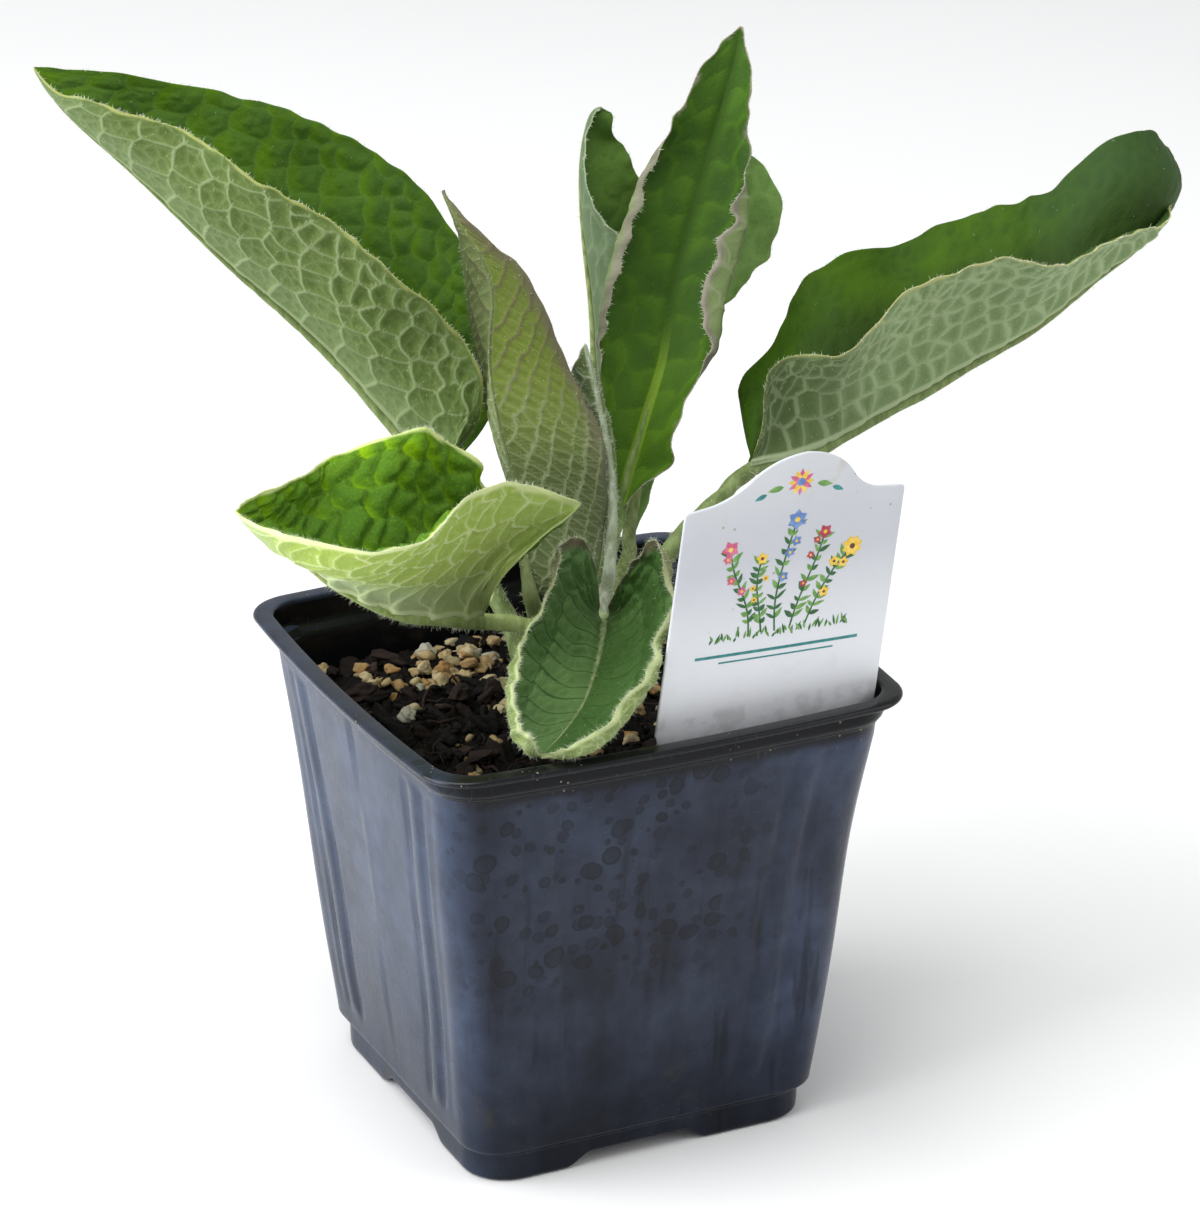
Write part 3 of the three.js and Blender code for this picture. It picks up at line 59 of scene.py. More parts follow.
# Control nets of the leaves: stalk: centre line from the crown
# up to the blade; rows: points across the blade from its base on; tip: end of the midrib.
LEAF_NETS = {
    "leaf_left_large": {
        "stalkRadius": 1.7,
        "stalk": [[-5.0, 8.6, 75.1], [-5.3, 10.56, 80.34], [-6.2, 16.1, 86.1], [-7.45, 23.36, 92.4], [-8.69, 29.87, 99.09]],
        "rows": [
            [[-7.94, 31.25, 110.45], [-8.78, 31.5, 109.44], [-9.73, 32.38, 107.53], [-9.63, 34.02, 105.4], [-7.54, 35.87, 105.79], [-5.4, 36.83, 106.61], [-4.2, 37.1, 107.2]],
            [[-6.6, 27.31, 115.18], [-8.29, 28.0, 113.23], [-9.26, 30.34, 109.9], [-9.82, 34.76, 106.88], [-6.2, 37.5, 107.87], [-1.7, 38.48, 109.73], [0.72, 38.5, 111.03]],
            [[-5.61, 24.31, 122.03], [-8.07, 25.75, 119.17], [-10.26, 29.66, 114.07], [-11.74, 36.05, 109.01], [-5.38, 39.46, 112.38], [1.35, 40.91, 116.45], [4.86, 41.14, 118.92]],
            [[-7.98, 24.71, 130.98], [-10.49, 26.74, 127.17], [-13.89, 31.65, 120.23], [-15.21, 38.96, 113.08], [-7.23, 42.72, 118.77], [0.84, 44.46, 124.88], [5.02, 44.83, 128.41]],
            [[-17.44, 25.69, 142.21], [-19.44, 28.97, 137.91], [-21.81, 36.05, 130.28], [-21.88, 45.4, 122.82], [-11.33, 49.45, 129.47], [-1.99, 51.42, 136.39], [2.87, 51.9, 140.33]],
            [[-25.96, 29.1, 150.94], [-27.63, 32.7, 146.5], [-29.47, 40.41, 138.8], [-29.11, 50.47, 131.59], [-18.02, 54.4, 139.07], [-8.19, 56.22, 146.66], [-3.08, 56.62, 150.91]],
            [[-35.8, 35.85, 159.11], [-37.42, 39.2, 154.98], [-39.22, 46.45, 147.9], [-38.9, 56.05, 141.47], [-28.37, 59.93, 148.63], [-18.97, 61.67, 155.86], [-14.07, 62.01, 159.91]],
            [[-43.54, 41.94, 164.12], [-45.02, 44.75, 160.52], [-46.53, 50.94, 154.48], [-45.86, 59.31, 149.22], [-36.76, 62.88, 155.55], [-28.62, 64.31, 161.98], [-24.37, 64.47, 165.58]],
            [[-49.16, 48.81, 168.41], [-50.71, 50.8, 165.37], [-52.38, 55.5, 160.35], [-51.94, 62.37, 156.12], [-44.42, 65.76, 160.98], [-37.69, 67.05, 166.12], [-34.16, 67.14, 169.07]],
            [[-56.7, 55.66, 171.19], [-57.96, 56.98, 168.94], [-59.15, 60.32, 165.42], [-58.34, 65.49, 162.84], [-52.8, 68.7, 166.09], [-47.81, 69.87, 169.86], [-45.18, 69.92, 172.12]],
            [[-63.63, 62.36, 173.03], [-64.28, 63.31, 171.83], [-64.79, 65.47, 169.98], [-64.03, 68.5, 168.74], [-60.45, 70.69, 170.72], [-57.25, 71.35, 173.18], [-55.57, 71.27, 174.68]],
            [[-67.14, 67.6, 173.69], [-67.4, 68.2, 173.41], [-67.56, 69.37, 173.07], [-67.1, 70.73, 173.04], [-65.41, 72.0, 173.94], [-63.84, 72.51, 175.11], [-63.0, 72.57, 175.84]],
        ],
        "tip": [-68.96, 72.78, 176.85],
    },
    "leaf_front_left_cup": {
        "stalkRadius": 1.7,
        "stalk": [[-5.2, -1.0, 75.1], [-3.25, -0.88, 80.52], [-4.93, -1.24, 85.29], [-7.97, -0.84, 88.5], [-12.36, 0.74, 89.79]],
        "rows": [
            [[-15.43, 1.0, 93.97], [-15.6, 1.29, 93.42], [-15.94, 1.83, 92.39], [-16.31, 2.44, 91.25], [-15.21, 3.24, 91.95], [-14.16, 3.7, 92.69], [-13.58, 3.86, 93.12]],
            [[-15.1, -3.35, 99.45], [-15.69, -1.91, 98.16], [-16.72, 0.33, 95.35], [-17.67, 1.92, 91.59], [-14.38, 6.05, 93.22], [-10.94, 8.98, 95.23], [-8.97, 10.26, 96.46]],
            [[-12.73, -9.71, 106.94], [-14.21, -6.77, 104.59], [-16.8, -2.16, 99.31], [-19.29, 1.22, 92.05], [-13.97, 8.33, 96.03], [-8.4, 13.58, 100.27], [-7.42, 15.96, 102.72]],
            [[-8.55, -12.42, 111.79], [-11.2, -9.1, 108.56], [-16.03, -3.78, 101.64], [-20.99, 0.35, 92.59], [-15.11, 8.4, 97.4], [-8.59, 13.85, 102.48], [-6.95, 16.12, 105.39]],
            [[-4.75, -13.08, 115.22], [-8.58, -9.39, 111.71], [-15.61, -3.92, 103.94], [-22.92, -0.64, 93.41], [-17.0, 8.37, 98.68], [-10.13, 14.07, 104.54], [-8.21, 16.26, 107.98]],
            [[-7.93, -14.3, 117.47], [-11.38, -10.78, 113.37], [-17.82, -5.28, 104.83], [-24.7, -1.3, 94.06], [-18.75, 8.58, 99.6], [-11.78, 14.43, 106.3], [-9.8, 16.51, 110.39]],
            [[-11.48, -14.76, 119.32], [-14.73, -12.08, 114.56], [-20.9, -7.19, 105.39], [-27.7, -2.19, 95.03], [-21.35, 7.73, 101.34], [-14.16, 13.55, 108.72], [-9.9, 15.58, 113.15]],
            [[-18.07, -16.68, 122.19], [-21.01, -15.07, 116.61], [-26.57, -10.67, 106.71], [-32.66, -3.38, 97.0], [-26.48, 6.98, 104.46], [-19.42, 13.19, 112.84], [-15.23, 15.42, 117.79]],
            [[-26.59, -21.78, 124.2], [-29.09, -19.96, 118.25], [-33.52, -14.38, 108.32], [-37.88, -4.42, 99.79], [-31.98, 5.68, 108.17], [-25.04, 11.6, 117.11], [-20.85, 13.67, 122.27]],
            [[-35.3, -27.91, 123.97], [-37.45, -24.94, 118.59], [-40.88, -17.49, 110.05], [-43.47, -6.03, 103.58], [-38.08, 4.75, 110.25], [-31.24, 11.53, 117.75], [-27.0, 14.13, 122.18]],
            [[-40.96, -31.34, 121.57], [-43.39, -27.71, 117.4], [-46.86, -19.41, 111.27], [-48.66, -7.69, 107.66], [-45.36, 4.39, 110.95], [-39.9, 13.15, 115.91], [-36.2, 17.05, 119.17]],
            [[-50.02, -31.63, 120.41], [-51.86, -27.84, 117.37], [-53.85, -19.74, 113.47], [-53.39, -9.22, 112.49], [-51.43, 1.05, 113.61], [-46.99, 8.48, 116.7], [-43.78, 11.78, 119.0]],
            [[-57.15, -25.89, 121.81], [-58.39, -23.46, 119.2], [-59.25, -18.11, 116.19], [-57.6, -10.86, 116.33], [-57.34, -3.5, 116.38], [-54.57, 1.48, 118.78], [-52.28, 3.55, 120.81]],
            [[-61.91, -20.27, 122.14], [-62.64, -18.8, 120.68], [-63.02, -15.67, 119.13], [-61.61, -11.64, 119.63], [-61.81, -7.4, 119.45], [-60.46, -4.55, 120.96], [-59.25, -3.37, 122.31]],
        ],
        "tip": [-65.66, -11.68, 123.19],
    },
    "leaf_front_spoon": {
        "stalkRadius": 1.7,
        "stalk": [[-0.6, -2.6, 75.1], [0.16, -2.22, 78.85], [2.09, -1.42, 82.95], [4.1, -0.97, 86.39], [5.07, -1.55, 88.43]],
        "rows": [
            [[5.09, -3.84, 91.44], [5.27, -3.82, 90.87], [5.28, -3.62, 89.89], [4.68, -3.1, 88.98], [3.93, -3.03, 89.9], [3.84, -2.97, 90.9], [3.99, -2.95, 91.48]],
            [[5.77, -10.83, 101.18], [5.97, -9.98, 100.12], [6.22, -9.44, 93.75], [2.75, -7.0, 88.95], [-0.36, -5.31, 94.9], [0.69, -5.89, 101.73], [0.24, -6.21, 103.71]],
            [[9.08, -14.78, 107.02], [9.72, -14.77, 104.58], [6.82, -14.32, 95.18], [-0.02, -11.89, 88.52], [-5.72, -9.49, 95.55], [-7.49, -9.71, 104.75], [-6.8, -10.17, 107.59]],
            [[6.38, -24.52, 103.85], [7.29, -24.15, 102.44], [3.88, -21.37, 93.36], [-3.09, -16.83, 87.65], [-9.74, -15.45, 93.01], [-12.81, -16.78, 100.98], [-12.2, -17.72, 102.69]],
            [[2.95, -32.25, 101.73], [3.74, -31.91, 100.15], [0.35, -27.58, 91.69], [-6.29, -21.64, 86.96], [-14.2, -20.53, 90.85], [-19.13, -22.07, 98.08], [-18.63, -23.24, 99.17]],
            [[-2.57, -38.09, 99.26], [-1.53, -37.87, 97.69], [-3.36, -32.72, 89.9], [-9.42, -25.95, 86.09], [-17.64, -24.92, 88.61], [-23.37, -26.49, 94.89], [-22.58, -27.68, 96.23]],
            [[-5.98, -42.48, 96.67], [-4.67, -42.5, 94.85], [-7.72, -37.29, 88.0], [-13.2, -30.46, 85.45], [-21.06, -30.02, 86.45], [-26.83, -32.05, 91.52], [-25.83, -33.11, 93.35]],
            [[-10.68, -44.42, 93.59], [-9.29, -44.48, 91.76], [-12.13, -40.13, 86.08], [-17.02, -34.29, 84.93], [-23.68, -34.49, 84.88], [-28.69, -36.95, 88.54], [-27.68, -37.95, 90.5]],
            [[-15.88, -46.31, 89.93], [-14.37, -46.31, 88.36], [-16.62, -42.17, 84.44], [-20.2, -37.19, 84.5], [-25.25, -37.65, 84.63], [-28.79, -40.36, 87.03], [-27.93, -41.36, 88.86]],
            [[-20.68, -45.74, 87.36], [-19.69, -45.57, 85.61], [-20.59, -42.28, 83.53], [-22.39, -38.74, 84.08], [-25.5, -39.31, 84.61], [-27.42, -41.76, 85.34], [-26.9, -42.54, 87.29]],
        ],
        "tip": [-24.41, -39.95, 83.31],
    },
    "leaf_centre_tall": {
        "stalkRadius": 1.7,
        "stalk": [[4.0, 6.2, 75.1], [5.04, 7.21, 79.73], [8.01, 10.04, 84.59], [11.91, 13.7, 89.43], [15.45, 16.9, 94.04]],
        "rows": [
            [[16.9, 19.95, 99.46], [17.1, 19.85, 99.1], [17.44, 19.51, 98.5], [17.76, 18.87, 98.0], [18.37, 19.0, 98.43], [18.78, 18.97, 98.97], [18.94, 18.91, 99.3]],
            [[16.68, 20.76, 103.0], [17.15, 20.81, 102.44], [18.03, 20.61, 101.5], [19.0, 19.87, 100.65], [19.86, 19.04, 101.19], [20.25, 18.21, 101.89], [20.33, 17.76, 102.33]],
            [[16.35, 20.89, 105.84], [17.06, 21.16, 105.15], [18.46, 21.25, 103.96], [20.12, 20.6, 102.86], [21.82, 19.32, 103.37], [22.78, 17.89, 104.21], [23.1, 17.05, 104.77]],
            [[16.23, 21.06, 109.2], [17.14, 21.59, 108.35], [19.02, 22.04, 106.84], [21.34, 21.54, 105.36], [23.99, 19.42, 105.62], [25.54, 17.0, 106.45], [26.08, 15.56, 107.08]],
            [[16.78, 23.09, 113.49], [18.06, 23.54, 112.53], [20.55, 23.7, 110.87], [23.41, 22.65, 109.36], [25.43, 19.82, 109.68], [26.27, 17.0, 110.56], [26.38, 15.44, 111.22]],
            [[17.41, 25.68, 120.58], [19.23, 26.19, 119.39], [22.73, 26.23, 117.41], [26.68, 24.64, 115.69], [29.03, 21.73, 116.35], [30.09, 18.82, 117.58], [30.3, 17.2, 118.43]],
            [[18.84, 28.36, 127.4], [18.62, 29.53, 126.59], [24.56, 29.49, 124.14], [30.22, 26.8, 122.69], [34.06, 23.41, 123.84], [36.05, 19.1, 126.07], [34.84, 18.65, 126.97]],
            [[21.66, 29.77, 135.32], [20.96, 31.23, 134.65], [27.43, 32.23, 133.31], [33.86, 30.42, 132.96], [37.95, 26.53, 133.37], [40.09, 21.54, 134.92], [35.99, 22.36, 135.64]],
            [[26.06, 32.23, 143.78], [25.26, 33.8, 143.25], [31.28, 34.85, 141.85], [37.32, 33.23, 141.27], [41.8, 29.4, 141.74], [44.32, 24.33, 143.45], [40.88, 24.92, 144.33]],
            [[29.37, 34.15, 149.97], [28.84, 35.65, 149.58], [34.58, 36.63, 148.3], [40.31, 35.05, 147.74], [44.51, 31.47, 148.44], [46.83, 26.79, 150.3], [44.33, 26.48, 150.2]],
            [[32.43, 36.78, 155.69], [32.23, 38.31, 155.7], [37.86, 38.76, 154.59], [43.26, 36.78, 154.23], [46.24, 34.16, 154.91], [47.85, 31.28, 156.15], [48.34, 29.59, 157.01]],
            [[36.96, 37.67, 162.82], [38.72, 38.5, 162.27], [42.18, 39.22, 161.4], [46.21, 38.51, 160.73], [48.57, 36.33, 161.39], [49.81, 33.98, 162.49], [50.16, 32.62, 163.24]],
            [[41.25, 39.33, 167.1], [42.71, 39.97, 166.86], [45.55, 40.52, 166.55], [48.82, 39.92, 166.45], [50.58, 38.12, 166.73], [51.48, 36.19, 167.38], [51.72, 35.08, 167.84]],
            [[44.96, 41.39, 171.72], [46.21, 41.78, 171.59], [48.58, 41.97, 171.5], [51.18, 41.22, 171.67], [52.11, 40.12, 172.01], [52.53, 38.99, 172.52], [52.6, 38.36, 172.86]],
        ],
        "tip": [53.48, 43.03, 177.69],
    },
    "leaf_centre_left": {
        "stalkRadius": 1.7,
        "stalk": [[-2.2, 4.6, 75.1], [-2.57, 4.36, 79.08], [-3.54, 3.84, 83.05], [-4.66, 3.51, 86.73], [-5.44, 3.77, 89.97]],
        "rows": [
            [[-3.88, 4.74, 91.64], [-4.2, 4.57, 91.87], [-4.85, 4.43, 92.25], [-5.65, 4.62, 92.56], [-5.95, 5.25, 92.48], [-5.97, 5.85, 92.41], [-5.89, 6.19, 92.39]],
            [[4.56, 4.39, 91.42], [2.57, 4.02, 93.03], [-1.25, 4.41, 95.55], [-5.59, 6.8, 97.35], [-5.76, 8.52, 97.05], [-5.26, 9.95, 96.82], [-4.78, 10.67, 96.71]],
            [[9.81, 9.04, 94.79], [7.03, 8.2, 96.88], [1.46, 7.86, 100.21], [-5.2, 9.71, 102.75], [-5.07, 13.16, 102.11], [-3.7, 15.87, 101.66], [-2.58, 17.16, 101.46]],
            [[12.7, 13.18, 102.58], [9.43, 12.16, 104.38], [2.96, 11.48, 107.12], [-4.67, 12.92, 108.95], [-4.0, 17.57, 107.82], [-1.75, 21.08, 107.16], [-0.04, 22.69, 106.93]],
            [[13.69, 14.9, 111.19], [9.97, 14.36, 112.73], [2.87, 14.57, 114.94], [-5.06, 17.02, 116.12], [-4.26, 22.37, 114.31], [-1.61, 26.44, 113.18], [0.42, 28.32, 112.76]],
            [[14.0, 18.46, 116.06], [10.25, 17.84, 117.73], [3.03, 17.92, 120.21], [-5.11, 20.22, 121.7], [-4.22, 25.96, 119.67], [-1.34, 30.26, 118.29], [0.87, 32.24, 117.71]],
            [[12.98, 22.49, 121.56], [9.53, 21.58, 123.04], [2.84, 21.14, 125.26], [-4.8, 22.96, 126.64], [-4.26, 28.56, 124.78], [-1.71, 32.81, 123.29], [0.3, 34.77, 122.56]],
            [[10.94, 25.15, 126.02], [8.08, 24.04, 127.46], [2.45, 23.29, 129.74], [-4.11, 24.85, 131.44], [-4.39, 29.93, 130.05], [-2.75, 33.98, 128.64], [-1.26, 35.94, 127.84]],
            [[9.24, 27.7, 131.76], [6.99, 26.47, 132.89], [2.47, 25.39, 134.66], [-3.01, 26.4, 135.92], [-4.14, 30.57, 135.1], [-3.54, 34.2, 134.06], [-2.7, 36.08, 133.42]],
            [[7.08, 29.68, 137.0], [5.43, 28.62, 137.88], [2.0, 27.53, 139.21], [-2.28, 27.98, 140.08], [-3.91, 31.05, 139.6], [-4.1, 34.06, 139.04], [-3.78, 35.72, 138.71]],
            [[4.41, 30.93, 142.36], [3.15, 30.13, 142.97], [0.54, 29.25, 143.79], [-2.74, 29.45, 144.09], [-4.39, 31.6, 143.83], [-4.93, 33.9, 143.69], [-4.91, 35.24, 143.65]],
            [[0.68, 31.09, 146.54], [-0.3, 30.81, 147.09], [-2.22, 30.76, 147.87], [-4.42, 31.56, 148.25], [-5.45, 33.05, 147.9], [-5.75, 34.63, 147.75], [-5.7, 35.53, 147.72]],
            [[-3.29, 32.35, 150.76], [-3.95, 32.36, 151.17], [-5.13, 32.71, 151.8], [-6.29, 33.69, 152.24], [-6.7, 34.63, 152.01], [-6.69, 35.55, 151.92], [-6.57, 36.05, 151.91]],
        ],
        "tip": [-8.01, 36.12, 157.03],
    },
    "leaf_young_folded": {
        "stalkRadius": 1.4,
        "stalk": [[3.0, 1.4, 75.1], [3.76, 2.05, 78.58], [5.86, 3.89, 82.22], [8.51, 6.3, 85.86], [10.71, 8.46, 89.3]],
        "rows": [
            [[12.96, 10.41, 92.03], [12.77, 10.27, 92.08], [12.39, 10.04, 92.16], [11.92, 9.85, 92.23], [11.78, 10.33, 92.17], [11.71, 10.77, 92.08], [11.7, 11.01, 92.03]],
            [[14.72, 12.92, 97.61], [14.49, 12.69, 97.66], [14.04, 12.29, 97.73], [13.47, 11.93, 97.81], [13.1, 12.87, 97.77], [12.89, 13.76, 97.69], [12.82, 14.23, 97.64]],
            [[16.28, 15.85, 103.26], [16.0, 15.46, 103.3], [15.42, 14.76, 103.37], [14.67, 14.08, 103.42], [13.95, 16.06, 103.3], [13.57, 17.92, 103.12], [13.46, 18.91, 103.01]],
            [[17.29, 18.85, 108.99], [16.93, 18.32, 109.03], [16.17, 17.37, 109.07], [15.19, 16.45, 109.06], [14.29, 19.04, 108.98], [13.83, 21.46, 108.85], [13.7, 22.76, 108.76]],
            [[17.51, 21.82, 114.87], [17.12, 21.2, 114.87], [16.3, 20.11, 114.82], [15.23, 19.04, 114.71], [14.1, 21.84, 114.98], [13.45, 24.49, 115.18], [13.23, 25.93, 115.26]],
            [[17.11, 24.28, 120.28], [16.76, 23.69, 120.26], [16.03, 22.63, 120.18], [15.06, 21.58, 120.03], [14.0, 24.15, 120.14], [13.39, 26.58, 120.2], [13.18, 27.89, 120.23]],
            [[16.08, 25.41, 124.73], [15.86, 24.98, 124.7], [15.39, 24.2, 124.62], [14.76, 23.42, 124.49], [13.87, 25.15, 124.48], [13.31, 26.8, 124.45], [13.09, 27.7, 124.43]],
            [[15.17, 25.33, 127.14], [15.06, 25.12, 127.09], [14.83, 24.74, 126.97], [14.52, 24.37, 126.82], [14.06, 25.16, 126.92], [13.75, 25.94, 127.0], [13.62, 26.36, 127.04]],
        ],
        "tip": [14.45, 25.45, 129.08],
    },
    "leaf_back_left": {
        "stalkRadius": 1.6,
        "stalk": [[0.6, 10.8, 75.1], [2.42, 12.06, 78.46], [7.35, 15.64, 81.84], [13.3, 20.32, 85.29], [17.84, 24.52, 88.83]],
        "rows": [
            [[20.0, 26.02, 93.52], [19.86, 26.27, 93.27], [19.72, 26.72, 92.77], [19.77, 27.2, 92.17], [20.38, 27.68, 92.18], [21.0, 27.96, 92.28], [21.36, 28.05, 92.35]],
            [[21.43, 28.71, 105.69], [21.23, 29.6, 104.84], [21.25, 31.19, 103.19], [21.98, 32.77, 101.29], [24.05, 34.95, 101.29], [26.33, 36.33, 101.56], [27.67, 36.86, 101.79]],
            [[23.63, 31.36, 117.71], [23.28, 33.08, 116.61], [23.3, 36.23, 114.45], [24.52, 39.48, 111.93], [28.19, 43.01, 111.15], [32.22, 45.19, 110.93], [34.57, 46.01, 110.97]],
            [[26.25, 35.32, 129.2], [25.6, 37.33, 127.51], [25.25, 41.0, 124.18], [26.43, 44.85, 120.31], [31.61, 48.59, 119.59], [36.93, 50.74, 119.61], [39.94, 51.46, 119.85]],
            [[28.5, 39.3, 136.97], [27.67, 41.49, 135.25], [27.04, 45.58, 131.86], [28.04, 49.99, 127.9], [34.06, 53.12, 127.02], [39.98, 54.69, 126.97], [43.25, 55.1, 127.19]],
            [[28.98, 44.08, 142.15], [28.34, 46.36, 141.09], [27.98, 50.63, 138.98], [29.1, 55.25, 136.51], [34.88, 56.67, 135.53], [40.25, 56.65, 135.45], [43.12, 56.2, 135.67]],
            [[27.71, 51.02, 145.98], [27.74, 52.91, 145.49], [28.43, 56.3, 144.54], [30.29, 59.71, 143.48], [35.55, 60.71, 142.93], [40.33, 60.45, 143.16], [42.86, 59.92, 143.51]],
            [[29.37, 57.28, 150.04], [29.49, 58.49, 149.78], [30.12, 60.63, 149.26], [31.49, 62.72, 148.64], [35.54, 63.28, 148.7], [39.13, 62.87, 149.24], [40.99, 62.35, 149.69]],
            [[31.88, 61.91, 154.13], [31.96, 62.56, 154.03], [32.31, 63.7, 153.79], [33.06, 64.81, 153.47], [35.78, 65.43, 152.94], [38.3, 65.31, 152.72], [39.64, 65.03, 152.68]],
            [[33.7, 64.16, 156.79], [33.74, 64.53, 156.75], [33.93, 65.18, 156.62], [34.32, 65.81, 156.4], [36.16, 65.43, 156.14], [37.67, 64.68, 156.1], [38.42, 64.15, 156.14]],
            [[35.23, 65.18, 158.26], [35.26, 65.38, 158.25], [35.36, 65.75, 158.19], [35.55, 66.1, 158.04], [36.73, 65.94, 157.87], [37.72, 65.52, 157.83], [38.21, 65.2, 157.85]],
        ],
        "tip": [36.94, 65.9, 158.76],
    },
    "leaf_back_right": {
        "stalkRadius": 1.6,
        "stalk": [[7.8, 8.4, 75.1], [9.02, 9.67, 77.57], [12.43, 13.21, 80.5], [16.75, 17.71, 83.76], [20.41, 21.55, 87.1]],
        "rows": [
            [[22.45, 25.36, 90.26], [22.53, 25.04, 90.18], [22.58, 24.44, 90.08], [22.48, 23.76, 90.08], [22.92, 24.28, 90.14], [23.43, 24.62, 90.22], [23.73, 24.74, 90.27]],
            [[24.28, 29.31, 102.13], [24.67, 29.28, 101.29], [25.48, 28.96, 99.8], [26.48, 28.11, 98.37], [27.98, 29.29, 98.65], [29.53, 29.93, 99.04], [30.41, 30.13, 99.29]],
            [[26.8, 32.25, 114.04], [27.48, 32.77, 112.62], [29.02, 33.3, 110.02], [31.17, 33.04, 107.34], [32.52, 34.67, 107.0], [34.09, 35.71, 106.73], [35.04, 36.12, 106.59]],
            [[29.62, 34.95, 125.0], [30.69, 35.93, 123.24], [33.07, 37.12, 119.98], [36.31, 37.25, 116.53], [38.81, 39.59, 116.25], [41.54, 40.96, 116.05], [43.13, 41.43, 115.96]],
            [[34.06, 37.74, 133.79], [35.37, 38.97, 132.07], [38.23, 40.58, 128.87], [42.06, 41.05, 125.43], [45.33, 43.31, 124.53], [48.73, 44.4, 123.83], [50.66, 44.67, 123.5]],
            [[38.57, 40.22, 140.8], [39.97, 41.56, 139.24], [43.01, 43.37, 136.33], [47.06, 44.08, 133.21], [51.53, 45.87, 131.36], [55.9, 46.24, 129.99], [58.31, 46.02, 129.37]],
            [[43.52, 42.78, 146.43], [44.76, 44.11, 145.05], [47.49, 45.99, 142.47], [51.19, 46.92, 139.68], [55.99, 47.71, 137.39], [60.47, 47.13, 135.78], [62.87, 46.4, 135.08]],
            [[48.93, 45.78, 149.81], [49.85, 46.8, 148.88], [51.87, 48.27, 147.12], [54.59, 49.05, 145.16], [58.79, 49.51, 143.58], [62.62, 48.84, 142.53], [64.64, 48.13, 142.1]],
            [[53.39, 47.56, 151.08], [53.95, 48.3, 150.63], [55.2, 49.43, 149.73], [56.91, 50.16, 148.66], [59.52, 51.01, 148.15], [61.99, 51.08, 147.84], [63.32, 50.89, 147.72]],
        ],
        "tip": [59.08, 50.97, 151.33],
    },
    "leaf_right_large": {
        "stalkRadius": 1.7,
        "stalk": [[8.6, 1.6, 75.1], [13.66, 4.42, 80.72], [19.51, 8.62, 87.97], [27.12, 11.95, 95.67], [35.29, 13.14, 100.88]],
        "rows": [
            [[42.0, 15.31, 107.9], [41.79, 14.83, 107.66], [41.52, 14.13, 106.99], [41.45, 13.76, 105.89], [41.6, 13.72, 107.01], [41.75, 13.34, 107.91], [41.84, 13.03, 108.36]],
            [[43.91, 22.47, 113.62], [43.65, 19.88, 113.04], [43.58, 15.85, 110.79], [44.21, 12.99, 106.28], [43.75, 13.12, 110.15], [43.04, 12.07, 113.35], [42.58, 11.14, 114.93]],
            [[46.69, 26.98, 117.71], [46.38, 23.23, 116.54], [46.31, 17.11, 112.98], [47.14, 12.15, 106.66], [45.55, 12.96, 113.74], [43.71, 11.83, 119.85], [42.6, 10.63, 122.97]],
            [[52.1, 27.58, 122.35], [51.35, 23.5, 120.35], [50.49, 16.83, 115.31], [50.52, 11.43, 107.5], [48.51, 11.56, 116.22], [46.53, 9.79, 123.76], [45.44, 8.24, 127.63]],
            [[58.49, 30.59, 130.04], [57.61, 25.74, 126.87], [56.52, 17.69, 119.66], [56.34, 10.85, 109.59], [53.22, 7.22, 119.06], [50.61, 2.24, 126.74], [49.31, -0.94, 130.49]],
            [[65.15, 31.65, 134.75], [64.18, 26.49, 131.18], [62.93, 17.85, 123.23], [62.6, 10.37, 112.35], [58.97, 5.47, 122.26], [55.98, -0.6, 130.25], [54.5, -4.33, 134.13]],
            [[73.76, 33.55, 135.9], [72.27, 28.03, 132.71], [70.05, 18.56, 125.37], [68.69, 9.9, 114.94], [65.5, 5.49, 125.94], [62.84, -0.2, 135.01], [61.52, -3.75, 139.5]],
            [[81.84, 34.65, 135.5], [79.84, 28.97, 132.93], [76.7, 19.0, 126.65], [74.41, 9.46, 117.21], [71.37, 5.02, 128.47], [68.87, -0.71, 137.8], [67.63, -4.28, 142.42]],
            [[88.68, 32.35, 138.75], [86.53, 27.01, 136.06], [83.12, 17.74, 129.58], [80.54, 9.05, 119.98], [77.62, 4.33, 130.93], [75.26, -1.62, 139.92], [74.11, -5.29, 144.35]],
            [[95.26, 31.37, 140.09], [93.08, 26.15, 137.69], [89.52, 17.07, 131.71], [86.66, 8.57, 122.59], [83.71, 3.26, 132.77], [81.37, -3.15, 140.95], [80.24, -7.05, 144.92]],
            [[100.56, 29.18, 142.1], [98.6, 24.31, 139.72], [95.45, 15.98, 133.83], [92.99, 8.44, 124.87], [89.79, 2.52, 133.6], [87.39, -4.31, 140.35], [86.29, -8.38, 143.53]],
            [[107.15, 28.86, 142.39], [105.07, 24.23, 140.62], [101.82, 16.18, 135.82], [99.48, 8.62, 127.98], [96.29, 2.73, 135.11], [94.09, -3.93, 140.35], [93.16, -7.87, 142.71]],
            [[111.38, 24.24, 147.76], [109.8, 20.34, 145.45], [107.38, 14.05, 139.83], [105.72, 9.07, 131.43], [102.86, 3.99, 137.66], [101.01, -1.92, 142.09], [100.27, -5.47, 144.03]],
            [[116.67, 22.67, 153.16], [115.39, 18.97, 150.23], [113.29, 13.31, 143.59], [111.56, 9.49, 134.39], [109.06, 5.24, 139.77], [107.47, 0.1, 143.39], [106.86, -3.03, 144.89]],
            [[123.14, 22.24, 155.22], [122.09, 18.68, 152.19], [119.92, 13.39, 145.52], [117.22, 10.21, 136.54], [114.98, 6.86, 140.48], [113.66, 2.7, 142.85], [113.19, 0.14, 143.71]],
